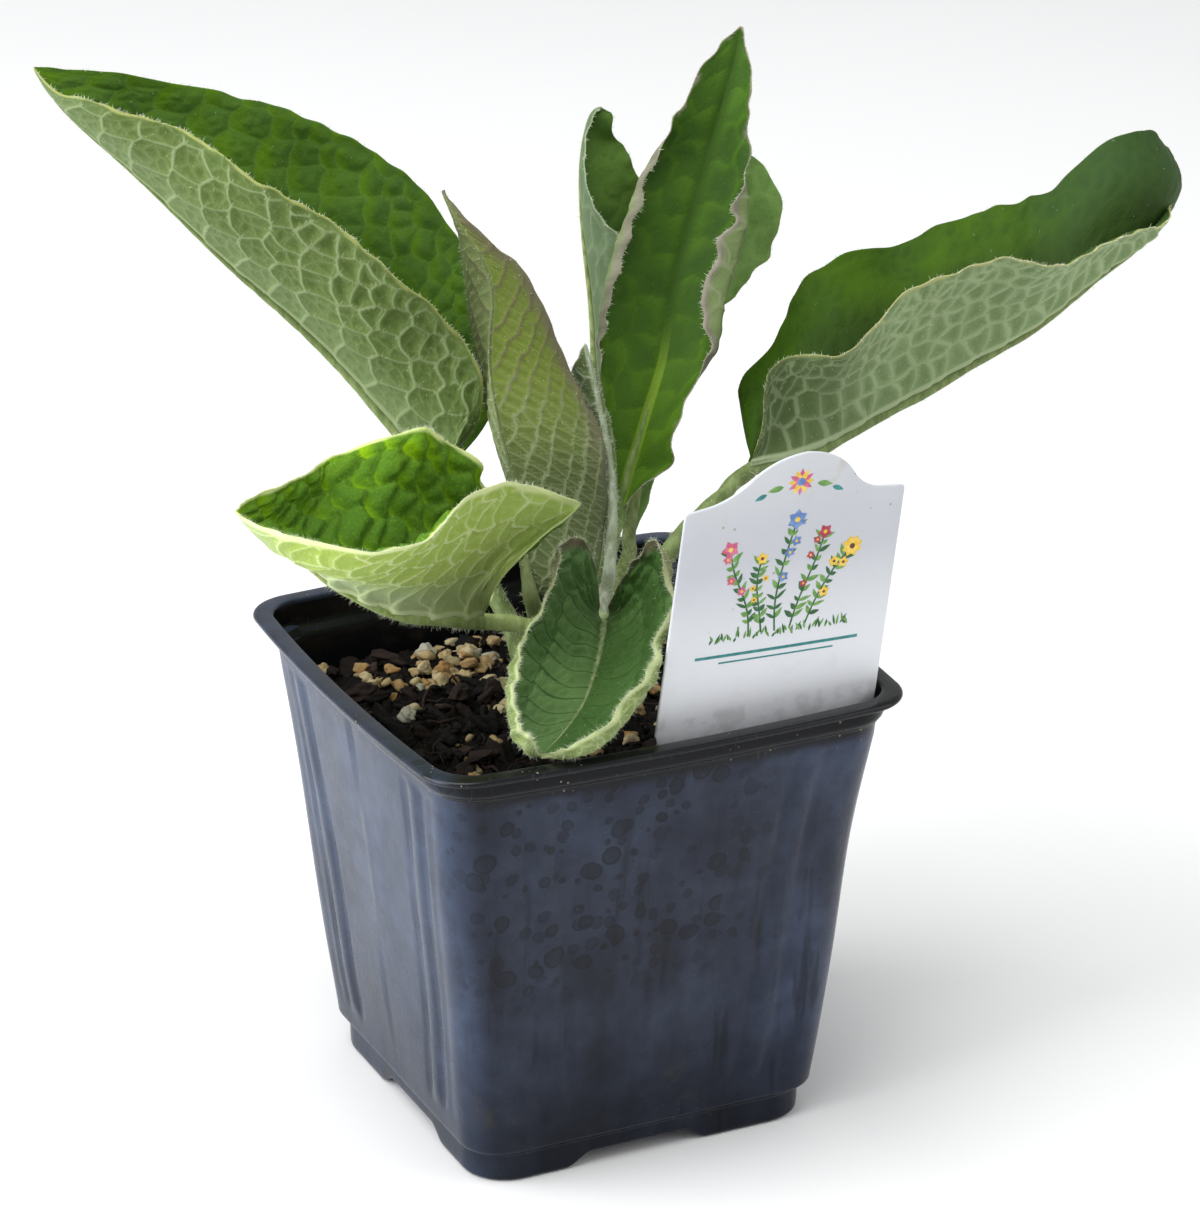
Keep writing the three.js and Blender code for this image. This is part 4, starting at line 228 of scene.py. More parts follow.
            [[128.98, 23.34, 154.47], [128.43, 20.14, 151.62], [126.56, 15.48, 145.6], [123.03, 12.88, 137.87], [121.38, 10.4, 140.39], [120.53, 7.43, 141.9], [120.29, 5.63, 142.44]],
            [[133.98, 25.87, 149.79], [133.86, 23.29, 147.88], [132.44, 19.65, 143.91], [128.76, 17.85, 138.89], [127.78, 16.36, 140.48], [127.39, 14.58, 141.54], [127.35, 13.51, 141.97]],
            [[137.36, 28.72, 144.25], [137.25, 27.37, 143.48], [136.39, 25.36, 141.92], [134.25, 24.14, 139.96], [133.79, 23.43, 140.71], [133.63, 22.6, 141.23], [133.63, 22.1, 141.45]],
        ],
        "tip": [138.47, 29.62, 140.55],
    },
}

MM = 0.001


def rng(seed):
    return np.random.default_rng(seed)


def lin(hex_colour):
    """Linear RGB of a #rrggbb colour."""
    h = hex_colour.lstrip("#")
    c = np.array([int(h[i:i + 2], 16) / 255 for i in (0, 2, 4)])
    return tuple(np.where(c <= 0.04045, c / 12.92, ((c + 0.055) / 1.055) ** 2.4)) + (1.0,)


# ------------------------------------------------------------------ meshes


def make_object(name, verts, faces, materials, face_material=None, attributes=None, uv=None, smooth=True):
    """A mesh object from vertices in millimetres. attributes: name -> one float per vertex."""
    mesh = bpy.data.meshes.new(name)
    verts = np.asarray(verts, dtype=np.float64) * MM
    faces = np.asarray(faces, dtype=np.int64)
    k = faces.shape[1]
    mesh.vertices.add(len(verts))
    mesh.vertices.foreach_set("co", verts.astype(np.float32).ravel())
    mesh.loops.add(faces.size)
    mesh.loops.foreach_set("vertex_index", faces.astype(np.int32).ravel())
    mesh.polygons.add(len(faces))
    mesh.polygons.foreach_set("loop_start", (np.arange(len(faces)) * k).astype(np.int32))
    mesh.polygons.foreach_set("loop_total", np.full(len(faces), k, dtype=np.int32))
    for m in materials:
        mesh.materials.append(m)
    if face_material is not None:
        mesh.polygons.foreach_set("material_index", np.asarray(face_material, dtype=np.int32))
    mesh.polygons.foreach_set("use_smooth", np.full(len(faces), smooth, dtype=bool))
    for key, values in (attributes or {}).items():
        a = mesh.attributes.new(key, "FLOAT", "POINT")
        a.data.foreach_set("value", np.asarray(values, dtype=np.float32))
    if uv is not None:
        layer = mesh.uv_layers.new(name="UVMap")
        flat = np.asarray(uv, dtype=np.float32)[faces.ravel()]
        layer.data.foreach_set("uv", flat.ravel())
    mesh.update(calc_edges=True)
    mesh.validate(clean_customdata=False)
    ob = bpy.data.objects.new(name, mesh)
    bpy.context.scene.collection.objects.link(ob)
    return ob


class Soup:
    """Collects pieces of triangle mesh with per-vertex floats and a material index."""

    def __init__(self):
        self.v, self.f, self.m, self.a, self.n = [], [], [], [], 0

    def add(self, verts, tris, material=0, tone=0.0):
        verts = np.asarray(verts, float)
        tris = np.asarray(tris, int)
        self.v.append(verts)
        self.f.append(tris + self.n)
        self.m.append(np.full(len(tris), material))
        self.a.append(np.broadcast_to(np.asarray(tone, float), (len(verts),)).copy())
        self.n += len(verts)

    def build(self, name, materials, smooth=True):
        return make_object(name, np.concatenate(self.v), np.concatenate(self.f), materials,
                           np.concatenate(self.m), {"tone": np.concatenate(self.a)}, smooth=smooth)


def grid_faces(rows, cols, wrap=False, offset=0):
    """Quads of a rows x cols grid of vertices; wrap closes each row on itself."""
    i = np.arange(rows - 1)[:, None]
    j = np.arange(cols if wrap else cols - 1)[None, :]
    j2 = (j + 1) % cols
    a = i * cols + j
    b = i * cols + j2
    c = (i + 1) * cols + j2
    d = (i + 1) * cols + j
    return np.stack([a, b, c, d], -1).reshape(-1, 4) + offset


def quads_to_tris(q):
    return np.concatenate([q[:, [0, 1, 2]], q[:, [0, 2, 3]]])


def icosphere(level):
    p = (1 + 5 ** 0.5) / 2
    v = [(-1, p, 0), (1, p, 0), (-1, -p, 0), (1, -p, 0), (0, -1, p), (0, 1, p), (0, -1, -p), (0, 1, -p), (p, 0, -1), (p, 0, 1), (-p, 0, -1), (-p, 0, 1)]
    f = [(0, 11, 5), (0, 5, 1), (0, 1, 7), (0, 7, 10), (0, 10, 11), (1, 5, 9), (5, 11, 4), (11, 10, 2), (10, 7, 6), (7, 1, 8),
         (3, 9, 4), (3, 4, 2), (3, 2, 6), (3, 6, 8), (3, 8, 9), (4, 9, 5), (2, 4, 11), (6, 2, 10), (8, 6, 7), (9, 8, 1)]
    v = [np.array(x, float) / np.linalg.norm(x) for x in v]
    for _ in range(level):
        mid, out = {}, []

        def half(a, b):
            key = (min(a, b), max(a, b))
            if key not in mid:
                m = v[a] + v[b]
                v.append(m / np.linalg.norm(m))
                mid[key] = len(v) - 1
            return mid[key]
        for a, b, c in f:
            ab, bc, ca = half(a, b), half(b, c), half(c, a)
            out += [(a, ab, ca), (b, bc, ab), (c, ca, bc), (ab, bc, ca)]
        f = out
    return np.array(v), np.array(f)


ICO = {n: icosphere(n) for n in (1, 2, 3)}


class Waves:
    """Smooth pseudo-random field: a sum of sine waves with seeded directions."""

    def __init__(self, seed, dims, scale, count=14, spread=1.6):
        r = rng(seed)
        k = r.normal(size=(count, dims))
        k /= np.linalg.norm(k, axis=1, keepdims=True)
        self.k = k * (2 * math.pi / scale) * np.exp(r.uniform(-math.log(spread), math.log(spread), (count, 1)))
        self.p = r.uniform(0, 2 * math.pi, count)
        self.g = math.sqrt(2 / count)

    def __call__(self, x):
        x = np.asarray(x, float)
        out = np.zeros(x.shape[:-1])
        for k, p in zip(self.k, self.p):
            out += np.sin(x @ k + p)
        return out * self.g


def smooth(a, b, x):
    t = np.clip((x - a) / (b - a), 0, 1)
    return t * t * (3 - 2 * t)


def unit(v):
    n = np.linalg.norm(v, axis=-1, keepdims=True)
    return v / np.where(n < 1e-12, 1, n)


def natural_spline(x, y, xs):
    """Natural cubic spline through y (n, ...) at knots x, evaluated at xs."""
    x = np.asarray(x, float)
    y = np.asarray(y, float)
    n = len(x)
    flat = y.reshape(n, -1)
    h = np.diff(x)
    a = np.zeros((n, n))
    b = np.zeros((n, flat.shape[1]))
    a[0, 0] = a[-1, -1] = 1
    for i in range(1, n - 1):
        a[i, i - 1], a[i, i], a[i, i + 1] = h[i - 1], 2 * (h[i - 1] + h[i]), h[i]
        b[i] = 6 * ((flat[i + 1] - flat[i]) / h[i] - (flat[i] - flat[i - 1]) / h[i - 1])
    m = np.linalg.solve(a, b)
    i = np.clip(np.searchsorted(x, xs, side="right") - 1, 0, n - 2)
    t = (np.asarray(xs) - x[i])[:, None]
    hi = h[i][:, None]
    out = (m[i + 1] - m[i]) / (6 * hi) * t ** 3 + m[i] / 2 * t ** 2 + ((flat[i + 1] - flat[i]) / hi - hi * (2 * m[i] + m[i + 1]) / 6) * t + flat[i]
    return out.reshape((len(xs),) + y.shape[1:])


def tube(points, radii, sides=10, up=None):
    """Closed tube of quads along points; radii one per point or (n, sides)."""
    points = np.asarray(points, float)
    n = len(points)
    t = unit(np.gradient(points, axis=0))
    ref = np.array([0.0, 0.0, 1.0]) if up is None else np.asarray(up, float)
    u = unit(np.cross(t[0], ref) if abs(t[0] @ ref) < 0.95 else np.cross(t[0], [1.0, 0, 0]))
    us = []
    for i in range(n):
        u = unit(u - (u @ t[i]) * t[i])
        us.append(u)
    us = np.array(us)
    vs = np.cross(t, us)
    a = np.linspace(0, 2 * math.pi, sides, endpoint=False)
    r = np.asarray(radii, float)
    if r.ndim == 1:
        r = np.repeat(r[:, None], sides, 1)
    ring = points[:, None, :] + r[..., None] * (np.cos(a)[None, :, None] * us[:, None, :] + np.sin(a)[None, :, None] * vs[:, None, :])
    verts = ring.reshape(-1, 3)
    q = grid_faces(n, sides, wrap=True)
    tris = quads_to_tris(q)
    v2 = np.concatenate([verts, points[:1], points[-1:]])
    s, e = len(verts), len(verts) + 1
    j = np.arange(sides)
    j2 = (j + 1) % sides
    caps = np.concatenate([np.stack([np.full(sides, s), j2, j], 1), np.stack([np.full(sides, e), (n - 1) * sides + j, (n - 1) * sides + j2], 1)])
    return v2, np.concatenate([tris, caps])


# ------------------------------------------------------------------ node helpers


class Nodes:
    def __init__(self, name):
        self.mat = bpy.data.materials.new(name)
        self.mat.use_nodes = True
        self.t = self.mat.node_tree
        self.t.nodes.clear()
        self.out = self.t.nodes.new("ShaderNodeOutputMaterial")
        self.bsdf = self.t.nodes.new("ShaderNodeBsdfPrincipled")
        self.t.links.new(self.bsdf.outputs[0], self.out.inputs[0])

    def new(self, kind, **values):
        n = self.t.nodes.new(kind)
        for k, v in values.items():
            setattr(n, k, v)
        return n

    def link(self, a, b):
        self.t.links.new(a, b)

    def put(self, socket, value):
        if isinstance(value, bpy.types.NodeSocket):
            self.t.links.new(value, socket)
        else:
            socket.default_value = value

    def attr(self, name):
        n = self.new("ShaderNodeAttribute", attribute_name=name)
        return n.outputs["Fac"]

    def obj(self):
        return self.new("ShaderNodeTexCoord").outputs["Object"]

    def uv(self):
        return self.new("ShaderNodeTexCoord").outputs["UV"]

    def mapping(self, vector, scale=(1, 1, 1), rotation=(0, 0, 0), location=(0, 0, 0)):
        n = self.new("ShaderNodeMapping")
        self.put(n.inputs["Vector"], vector)
        n.inputs["Scale"].default_value = scale
        n.inputs["Rotation"].default_value = rotation
        n.inputs["Location"].default_value = location
        return n.outputs[0]

    def noise(self, vector, scale, detail=4.0, rough=0.55, distortion=0.0, colour=False):
        n = self.new("ShaderNodeTexNoise")
        self.put(n.inputs["Vector"], vector)
        n.inputs["Scale"].default_value = scale
        n.inputs["Detail"].default_value = detail
        n.inputs["Roughness"].default_value = rough
        n.inputs["Distortion"].default_value = distortion
        return n.outputs["Color" if colour else "Fac"]

    def voronoi(self, vector, scale, feature="F1", randomness=1.0, out="Distance"):
        n = self.new("ShaderNodeTexVoronoi", feature=feature)
        self.put(n.inputs["Vector"], vector)
        n.inputs["Scale"].default_value = scale
        n.inputs["Randomness"].default_value = randomness
        return n.outputs[out]

    def math(self, op, a, b=0.0, c=0.0, clamp=False):
        n = self.new("ShaderNodeMath", operation=op, use_clamp=clamp)
        self.put(n.inputs[0], a)
        self.put(n.inputs[1], b)
        self.put(n.inputs[2], c)
        return n.outputs[0]

    def ramp(self, value, lo, hi, to_lo=0.0, to_hi=1.0, kind="SMOOTHSTEP"):
        n = self.new("ShaderNodeMapRange", interpolation_type=kind, clamp=True)
        self.put(n.inputs["Value"], value)
        n.inputs["From Min"].default_value = lo
        n.inputs["From Max"].default_value = hi
        n.inputs["To Min"].default_value = to_lo
        n.inputs["To Max"].default_value = to_hi
        return n.outputs[0]

    def mix(self, factor, a, b, blend="MIX"):
        n = self.new("ShaderNodeMix", data_type="RGBA", blend_type=blend)
        self.put(n.inputs[0], factor)
        self.put(n.inputs[6], a)
        self.put(n.inputs[7], b)
        return n.outputs[2]

    def colours(self, value, stops):
        n = self.new("ShaderNodeValToRGB")
        self.put(n.inputs[0], value)
        e = n.color_ramp.elements
        while len(e) < len(stops):
            e.new(0.5)
        for i, (pos, col) in enumerate(stops):
            e[i].position = pos
            e[i].color = col
        return n.outputs[0]

    def xyz(self, vector):
        n = self.new("ShaderNodeSeparateXYZ")
        self.put(n.inputs[0], vector)
        return n.outputs[0], n.outputs[1], n.outputs[2]

    def bump(self, height, strength, distance, normal=None):
        n = self.new("ShaderNodeBump")
        n.inputs["Strength"].default_value = strength
        n.inputs["Distance"].default_value = distance
        self.put(n.inputs["Height"], height)
        if normal is not None:
            self.put(n.inputs["Normal"], normal)
        return n.outputs[0]

    def set(self, **values):
        names = {"color": "Base Color", "rough": "Roughness", "metal": "Metallic", "normal": "Normal", "spec": "Specular IOR Level",
                 "sss": "Subsurface Weight", "sss_r": "Subsurface Radius", "sss_s": "Subsurface Scale", "sheen": "Sheen Weight",
                 "sheen_r": "Sheen Roughness", "sheen_t": "Sheen Tint", "coat": "Coat Weight", "coat_r": "Coat Roughness"}
        for k, v in values.items():
            self.put(self.bsdf.inputs[names[k]], v)
        return self.mat


# ------------------------------------------------------------------ leaf materials


def vein_lines(n, uv):
    """The net as soft-edged lines of uneven width: larger veins, then the fine ones."""
    thick = n.math("MULTIPLY", n.math("SUBTRACT", n.noise(uv, 40.0, 2.0), 0.5), 0.5)
    out = []
    for line, far in (("a_line", "a_far"), ("b_line", "b_far")):
        d = n.math("ADD", n.math("ABSOLUTE", n.attr(line)), thick)
        out.append(n.math("MULTIPLY", n.ramp(d, 1.25, 0.30), n.ramp(n.attr(far), 1.15, 0.65)))
    out[0] = n.math("MULTIPLY", out[0], n.attr("a_gain"))
    return out


def leaf_upper(name, dark, mid, light, vein, rim, glow=0.10, tint=None, tint_from=0.5, tint_edge=3.6, gain=1.0, inner_shade=None, dust=0.25, rib_gain=0.6,
               rib_to=None, groove_shade=None, groove_shade_width=0.9, lit_and_shaded_cells=None, fine_gain=1.0, tint_to=None, far=None, spec=0.10, grain=0.0, halves=None):
    """Upper side: puffed green cells with sunk veins and a paler soft rim."""
    n = Nodes(name)
    uv = n.uv()
    cell = n.attr("cell")
    # Darker toward the middle of each puffed cell: painted shade.
    base = n.mix(n.ramp(cell, 0.05, 0.80), mid, dark)
    broad = n.noise(uv, 7.0, 3.0, 0.5)
    base = n.mix(n.ramp(broad, 0.38, 0.66, 0.0, 0.85), base, light)
    fine = n.noise(uv, 120.0, 4.0, 0.62)
    base = n.mix(n.ramp(fine, 0.50, 0.75, 0.0, 0.28), base, light)
    base = n.mix(n.ramp(fine, 0.46, 0.28, 0.0, 0.40), base, dark)
    if far is not None:
        base = n.mix(n.ramp(n.attr("along"), far[1], far[2], 0.0, 0.65), base, far[0])
    # Painted shade and light: darker inward from the margin, lighter by the margin where light shines through the
    # blade.
    if inner_shade is not None:
        base = n.mix(n.ramp(n.attr("edge"), 6.0, 17.0, 0.0, 0.75), base, inner_shade)
    if lit_and_shaded_cells is not None:
        # Painted light and shade: each cell is bright where it rises from the one below and dark where it ends.
        lean = n.math("ADD", n.attr("lean"), n.math("MULTIPLY", n.math("SUBTRACT", n.noise(uv, 60.0, 3.0), 0.5), 0.55))
        base = n.mix(n.ramp(lean, 0.15, -0.75, 0.0, 0.55 * lit_and_shaded_cells[2]), base, lit_and_shaded_cells[0])
        base = n.mix(n.ramp(lean, -0.05, 0.75, 0.0, lit_and_shaded_cells[2]), base, lit_and_shaded_cells[1])
    if halves is not None:
        # One half of the folded blade faces the light more than the other.
        base = n.mix(n.math("MULTIPLY", n.ramp(n.attr("side"), 0.4, 0.6), halves[2]), base, halves[0])
        base = n.mix(n.math("MULTIPLY", n.ramp(n.attr("side"), 0.6, 0.4), halves[2]), base, halves[1])
    if grain:
        soft = n.noise(uv, 210.0, 3.0, 0.7)
        base = n.mix(n.ramp(soft, 0.50, 0.72, 0.0, grain), base, light)
        base = n.mix(n.ramp(soft, 0.47, 0.28, 0.0, grain), base, dark)
    va, vb = vein_lines(n, uv)
    # Painted shade in the sunk vein grooves.
    if groove_shade is not None:
        crease = n.ramp(n.attr("a_far"), groove_shade_width, 0.1 * groove_shade_width, 0.0, 0.7)
        base = n.mix(n.math("MULTIPLY", crease, n.attr("a_gain")), base, groove_shade)
    base = n.mix(n.math("MULTIPLY", vb, 0.30 * gain * fine_gain), base, vein)
    base = n.mix(n.math("MULTIPLY", va, 0.55 * gain), base, vein)
    rib = n.math("MULTIPLY", n.ramp(n.attr("l0"), 1.0, 0.4), rib_gain)
    if rib_to is not None:
        rib = n.math("MULTIPLY", rib, n.ramp(n.attr("along"), rib_to[0], rib_to[1], 1.0, 0.05))
    base = n.mix(rib, base, vein)
    if rib_to is not None:
        shade = n.math("MULTIPLY", n.ramp(n.attr("off_mid"), 2.2, 0.2, 0.0, 0.8), n.ramp(n.attr("along"), rib_to[0], rib_to[1]))
        base = n.mix(shade, base, dark)
    # Pale points of short stiff hairs.
    dots = n.ramp(n.voronoi(uv, 105.0), 0.16, 0.05)
    base = n.mix(n.math("MULTIPLY", dots, dust), base, vein)
    if tint is not None:
        worn = n.math("MULTIPLY", n.ramp(n.attr("edge"), tint_edge, 0.25 * tint_edge), n.ramp(n.noise(uv, 14.0, 3.0), tint_from, tint_from + 0.16))
        if tint_to is not None:
            worn = n.math("MULTIPLY", worn, n.ramp(n.attr("along"), tint_to, tint_to - 0.12))
            rim = n.mix(n.ramp(n.attr("along"), tint_to, tint_to - 0.2, 0.0, 0.9), rim, tint)
        base = n.mix(worn, base, tint)
    base = n.mix(n.attr("rim"), base, rim)
    h = n.math("ADD", n.math("MULTIPLY", fine, 0.8), n.math("MULTIPLY", n.voronoi(uv, 170.0), 0.5))
    return n.set(color=base, rough=0.60, spec=spec, normal=n.bump(h, 0.55, 0.00018), sss=0.0, sss_r=(0.5, 1.0, 0.15), sss_s=0.0010,
                 sheen=0.01, sheen_r=0.45, sheen_t=(0.80, 0.90, 0.50, 1.0))


def leaf_under(name, field, shade, vein, rim, glow=0.10, vein_gain=1.0, flush=None, net=None, flush_from=0.48, base_tint_and_painted_light=None, midrib_painted_light=None,
               net_to=0.55, margin=None, fine_gain=1.0, base_to=(0.30, 0.02), base_gain=0.75, other=None, light_gain=0.45, rib_gain=0.8, inner=None):
    """Underside: dull cells between raised pale veins."""
    n = Nodes(name)
    uv = n.uv()
    cell = n.attr("cell")
    base = n.mix(n.ramp(cell, 0.10, 0.85), field, shade)
    broad = n.noise(uv, 6.0, 3.0)
    base = n.mix(n.ramp(broad, 0.38, 0.72, 0.0, 0.65), base, shade)
    fine = n.noise(uv, 140.0, 4.0, 0.62)
    base = n.mix(n.ramp(fine, 0.50, 0.74, 0.0, 0.30), base, vein)
    base = n.mix(n.ramp(fine, 0.46, 0.28, 0.0, 0.35), base, shade)
    if flush is not None:
        base = n.mix(n.ramp(n.noise(uv, 5.0, 4.0), flush_from, flush_from + 0.18, 0.0, 0.8), base, flush)
    if margin is not None:
        wash = n.math("ADD", n.attr("edge"), n.math("MULTIPLY", n.noise(uv, 9.0, 3.0), 9.0))
        base = n.mix(n.math("MULTIPLY", n.ramp(wash, 10.5, 5.0, 0.0, 0.85), n.attr("side")), base, margin)
    # Painted light: the half turned away from the light is made paler.
    if other is not None:
        base = n.mix(n.math("MULTIPLY", n.math("SUBTRACT", 1.0, n.attr("side")), 0.7), base, other)
    if inner is not None:
        base = n.mix(n.ramp(n.attr("edge"), 0.7, 1.8), base, inner)
    # Painted light: paler near the midrib, lifting the shade there.
    if midrib_painted_light is not None:
        base = n.mix(n.ramp(n.attr("off_mid"), 13.0, 2.0, 0.0, light_gain), base, midrib_painted_light)
    # Colour toward the blade's base: painted shade on the right leaf's underside, painted light on the cup's underside,
    # the spoon's own brown, and darker on the centre left leaf.
    if base_tint_and_painted_light is not None:
        foot = n.ramp(n.attr("along"), base_to[0], base_to[1], 0.0, base_gain)
        base = n.mix(foot, base, base_tint_and_painted_light)
        rim = n.mix(foot, rim, base_tint_and_painted_light)
    va, vb = vein_lines(n, uv)
    line = vein
    if net is not None:
        # The net is dark toward the tip and pale toward the base.
        line = n.mix(n.ramp(n.attr("along"), net_to - 0.12, net_to + 0.12), vein, net)
    base = n.mix(n.math("MULTIPLY", vb, 0.42 * vein_gain * fine_gain), base, line)
    base = n.mix(n.math("MULTIPLY", va, 0.88 * vein_gain), base, line)
    base = n.mix(n.math("MULTIPLY", n.ramp(n.attr("l0"), 1.0, 0.4), rib_gain), base, vein)
    base = n.mix(n.attr("rim"), base, rim)
    h = n.math("ADD", n.math("MULTIPLY", fine, 0.8), n.math("MULTIPLY", n.voronoi(uv, 200.0), 0.4))
    return n.set(color=base, rough=0.68, spec=0.18, normal=n.bump(h, 0.55, 0.00016), sss=0.0, sss_r=(0.5, 1.0, 0.2), sss_s=0.0010,
                 sheen=0.06, sheen_r=0.4, sheen_t=(0.90, 0.95, 0.80, 1.0))


def stalk_material(name, colour, streak):
    n = Nodes(name)
    o = n.obj()
    lines = n.noise(n.mapping(o, (900, 900, 60)), 1.0, 3.0)
    base = n.mix(n.ramp(lines, 0.35, 0.7), colour, streak)
    base = n.mix(n.ramp(n.noise(o, 220.0, 3.0), 0.4, 0.75, 0.0, 0.5), base, streak)
    return n.set(color=base, rough=0.6, spec=0.3, normal=n.bump(lines, 0.4, 0.0002), sss=0.15, sss_r=(0.6, 1.0, 0.3), sss_s=0.001,
                 sheen=0.12, sheen_r=0.4, sheen_t=(0.92, 0.96, 0.84, 1.0))


def hair_material():
    n = Nodes("leaf_hair")
    o = n.obj()
    base = n.mix(n.ramp(n.noise(o, 400.0, 2.0), 0.35, 0.7), lin("#dde3c6"), lin("#c0cb9c"))
    return n.set(color=base, rough=0.5, spec=0.4, sss=0.3, sss_r=(1.0, 1.0, 0.8), sss_s=0.0008)


# ------------------------------------------------------------------ leaf shapes


def net_cells(X, Y, rows_y, seeds, weight, reach, owner=None, seed_owner=None):
    """Nearest and second nearest seed of every point, by distance plus weight."""
    b1 = np.full(X.shape, 1e3)
    b2 = b1.copy()
    i1 = np.full(X.shape, -1)
    i2 = i1.copy()
    for k in range(len(seeds)):
        sx, sy = seeds[k]
        lo, hi = np.searchsorted(rows_y, [sy - reach, sy + reach])
        if hi <= lo:
            continue
        sl = slice(lo, hi)
        d = np.hypot(X[sl] - sx, Y[sl] - sy) + weight[k]
        if owner is not None:
            d = np.where(owner[sl] == seed_owner[k], d, 1e3)
        first = d < b1[sl]
        second = ~first & (d < b2[sl])
        b2[sl] = np.where(first, b1[sl], np.where(second, d, b2[sl]))
        i2[sl] = np.where(first, i1[sl], np.where(second, k, i2[sl]))
        b1[sl] = np.where(first, d, b1[sl])
        i1[sl] = np.where(first, k, i1[sl])
    return b1, b2, i1, i2


def net_border(X, Y, seeds, b1, b2, i1, i2):
    """Distance to the nearest border, and the same with a sign that changes across it."""
    ok = (i2 >= 0) & (b2 < 900) & (b1 < 900)
    a = seeds[np.maximum(i1, 0)]
    b = seeds[np.maximum(i2, 0)]
    pa = unit(np.stack([X - a[..., 0], Y - a[..., 1]], -1))
    pb = unit(np.stack([X - b[..., 0], Y - b[..., 1]], -1))
    slope = np.maximum(np.linalg.norm(pa - pb, axis=-1), 0.3)
    d = np.where(ok, np.minimum((b2 - b1) / slope, 9.0), 9.0)
    way = (b[..., 0] - a[..., 0]) * 0.31 + (b[..., 1] - a[..., 1]) * 0.95
    return d, np.where(way > 0, d, -d)


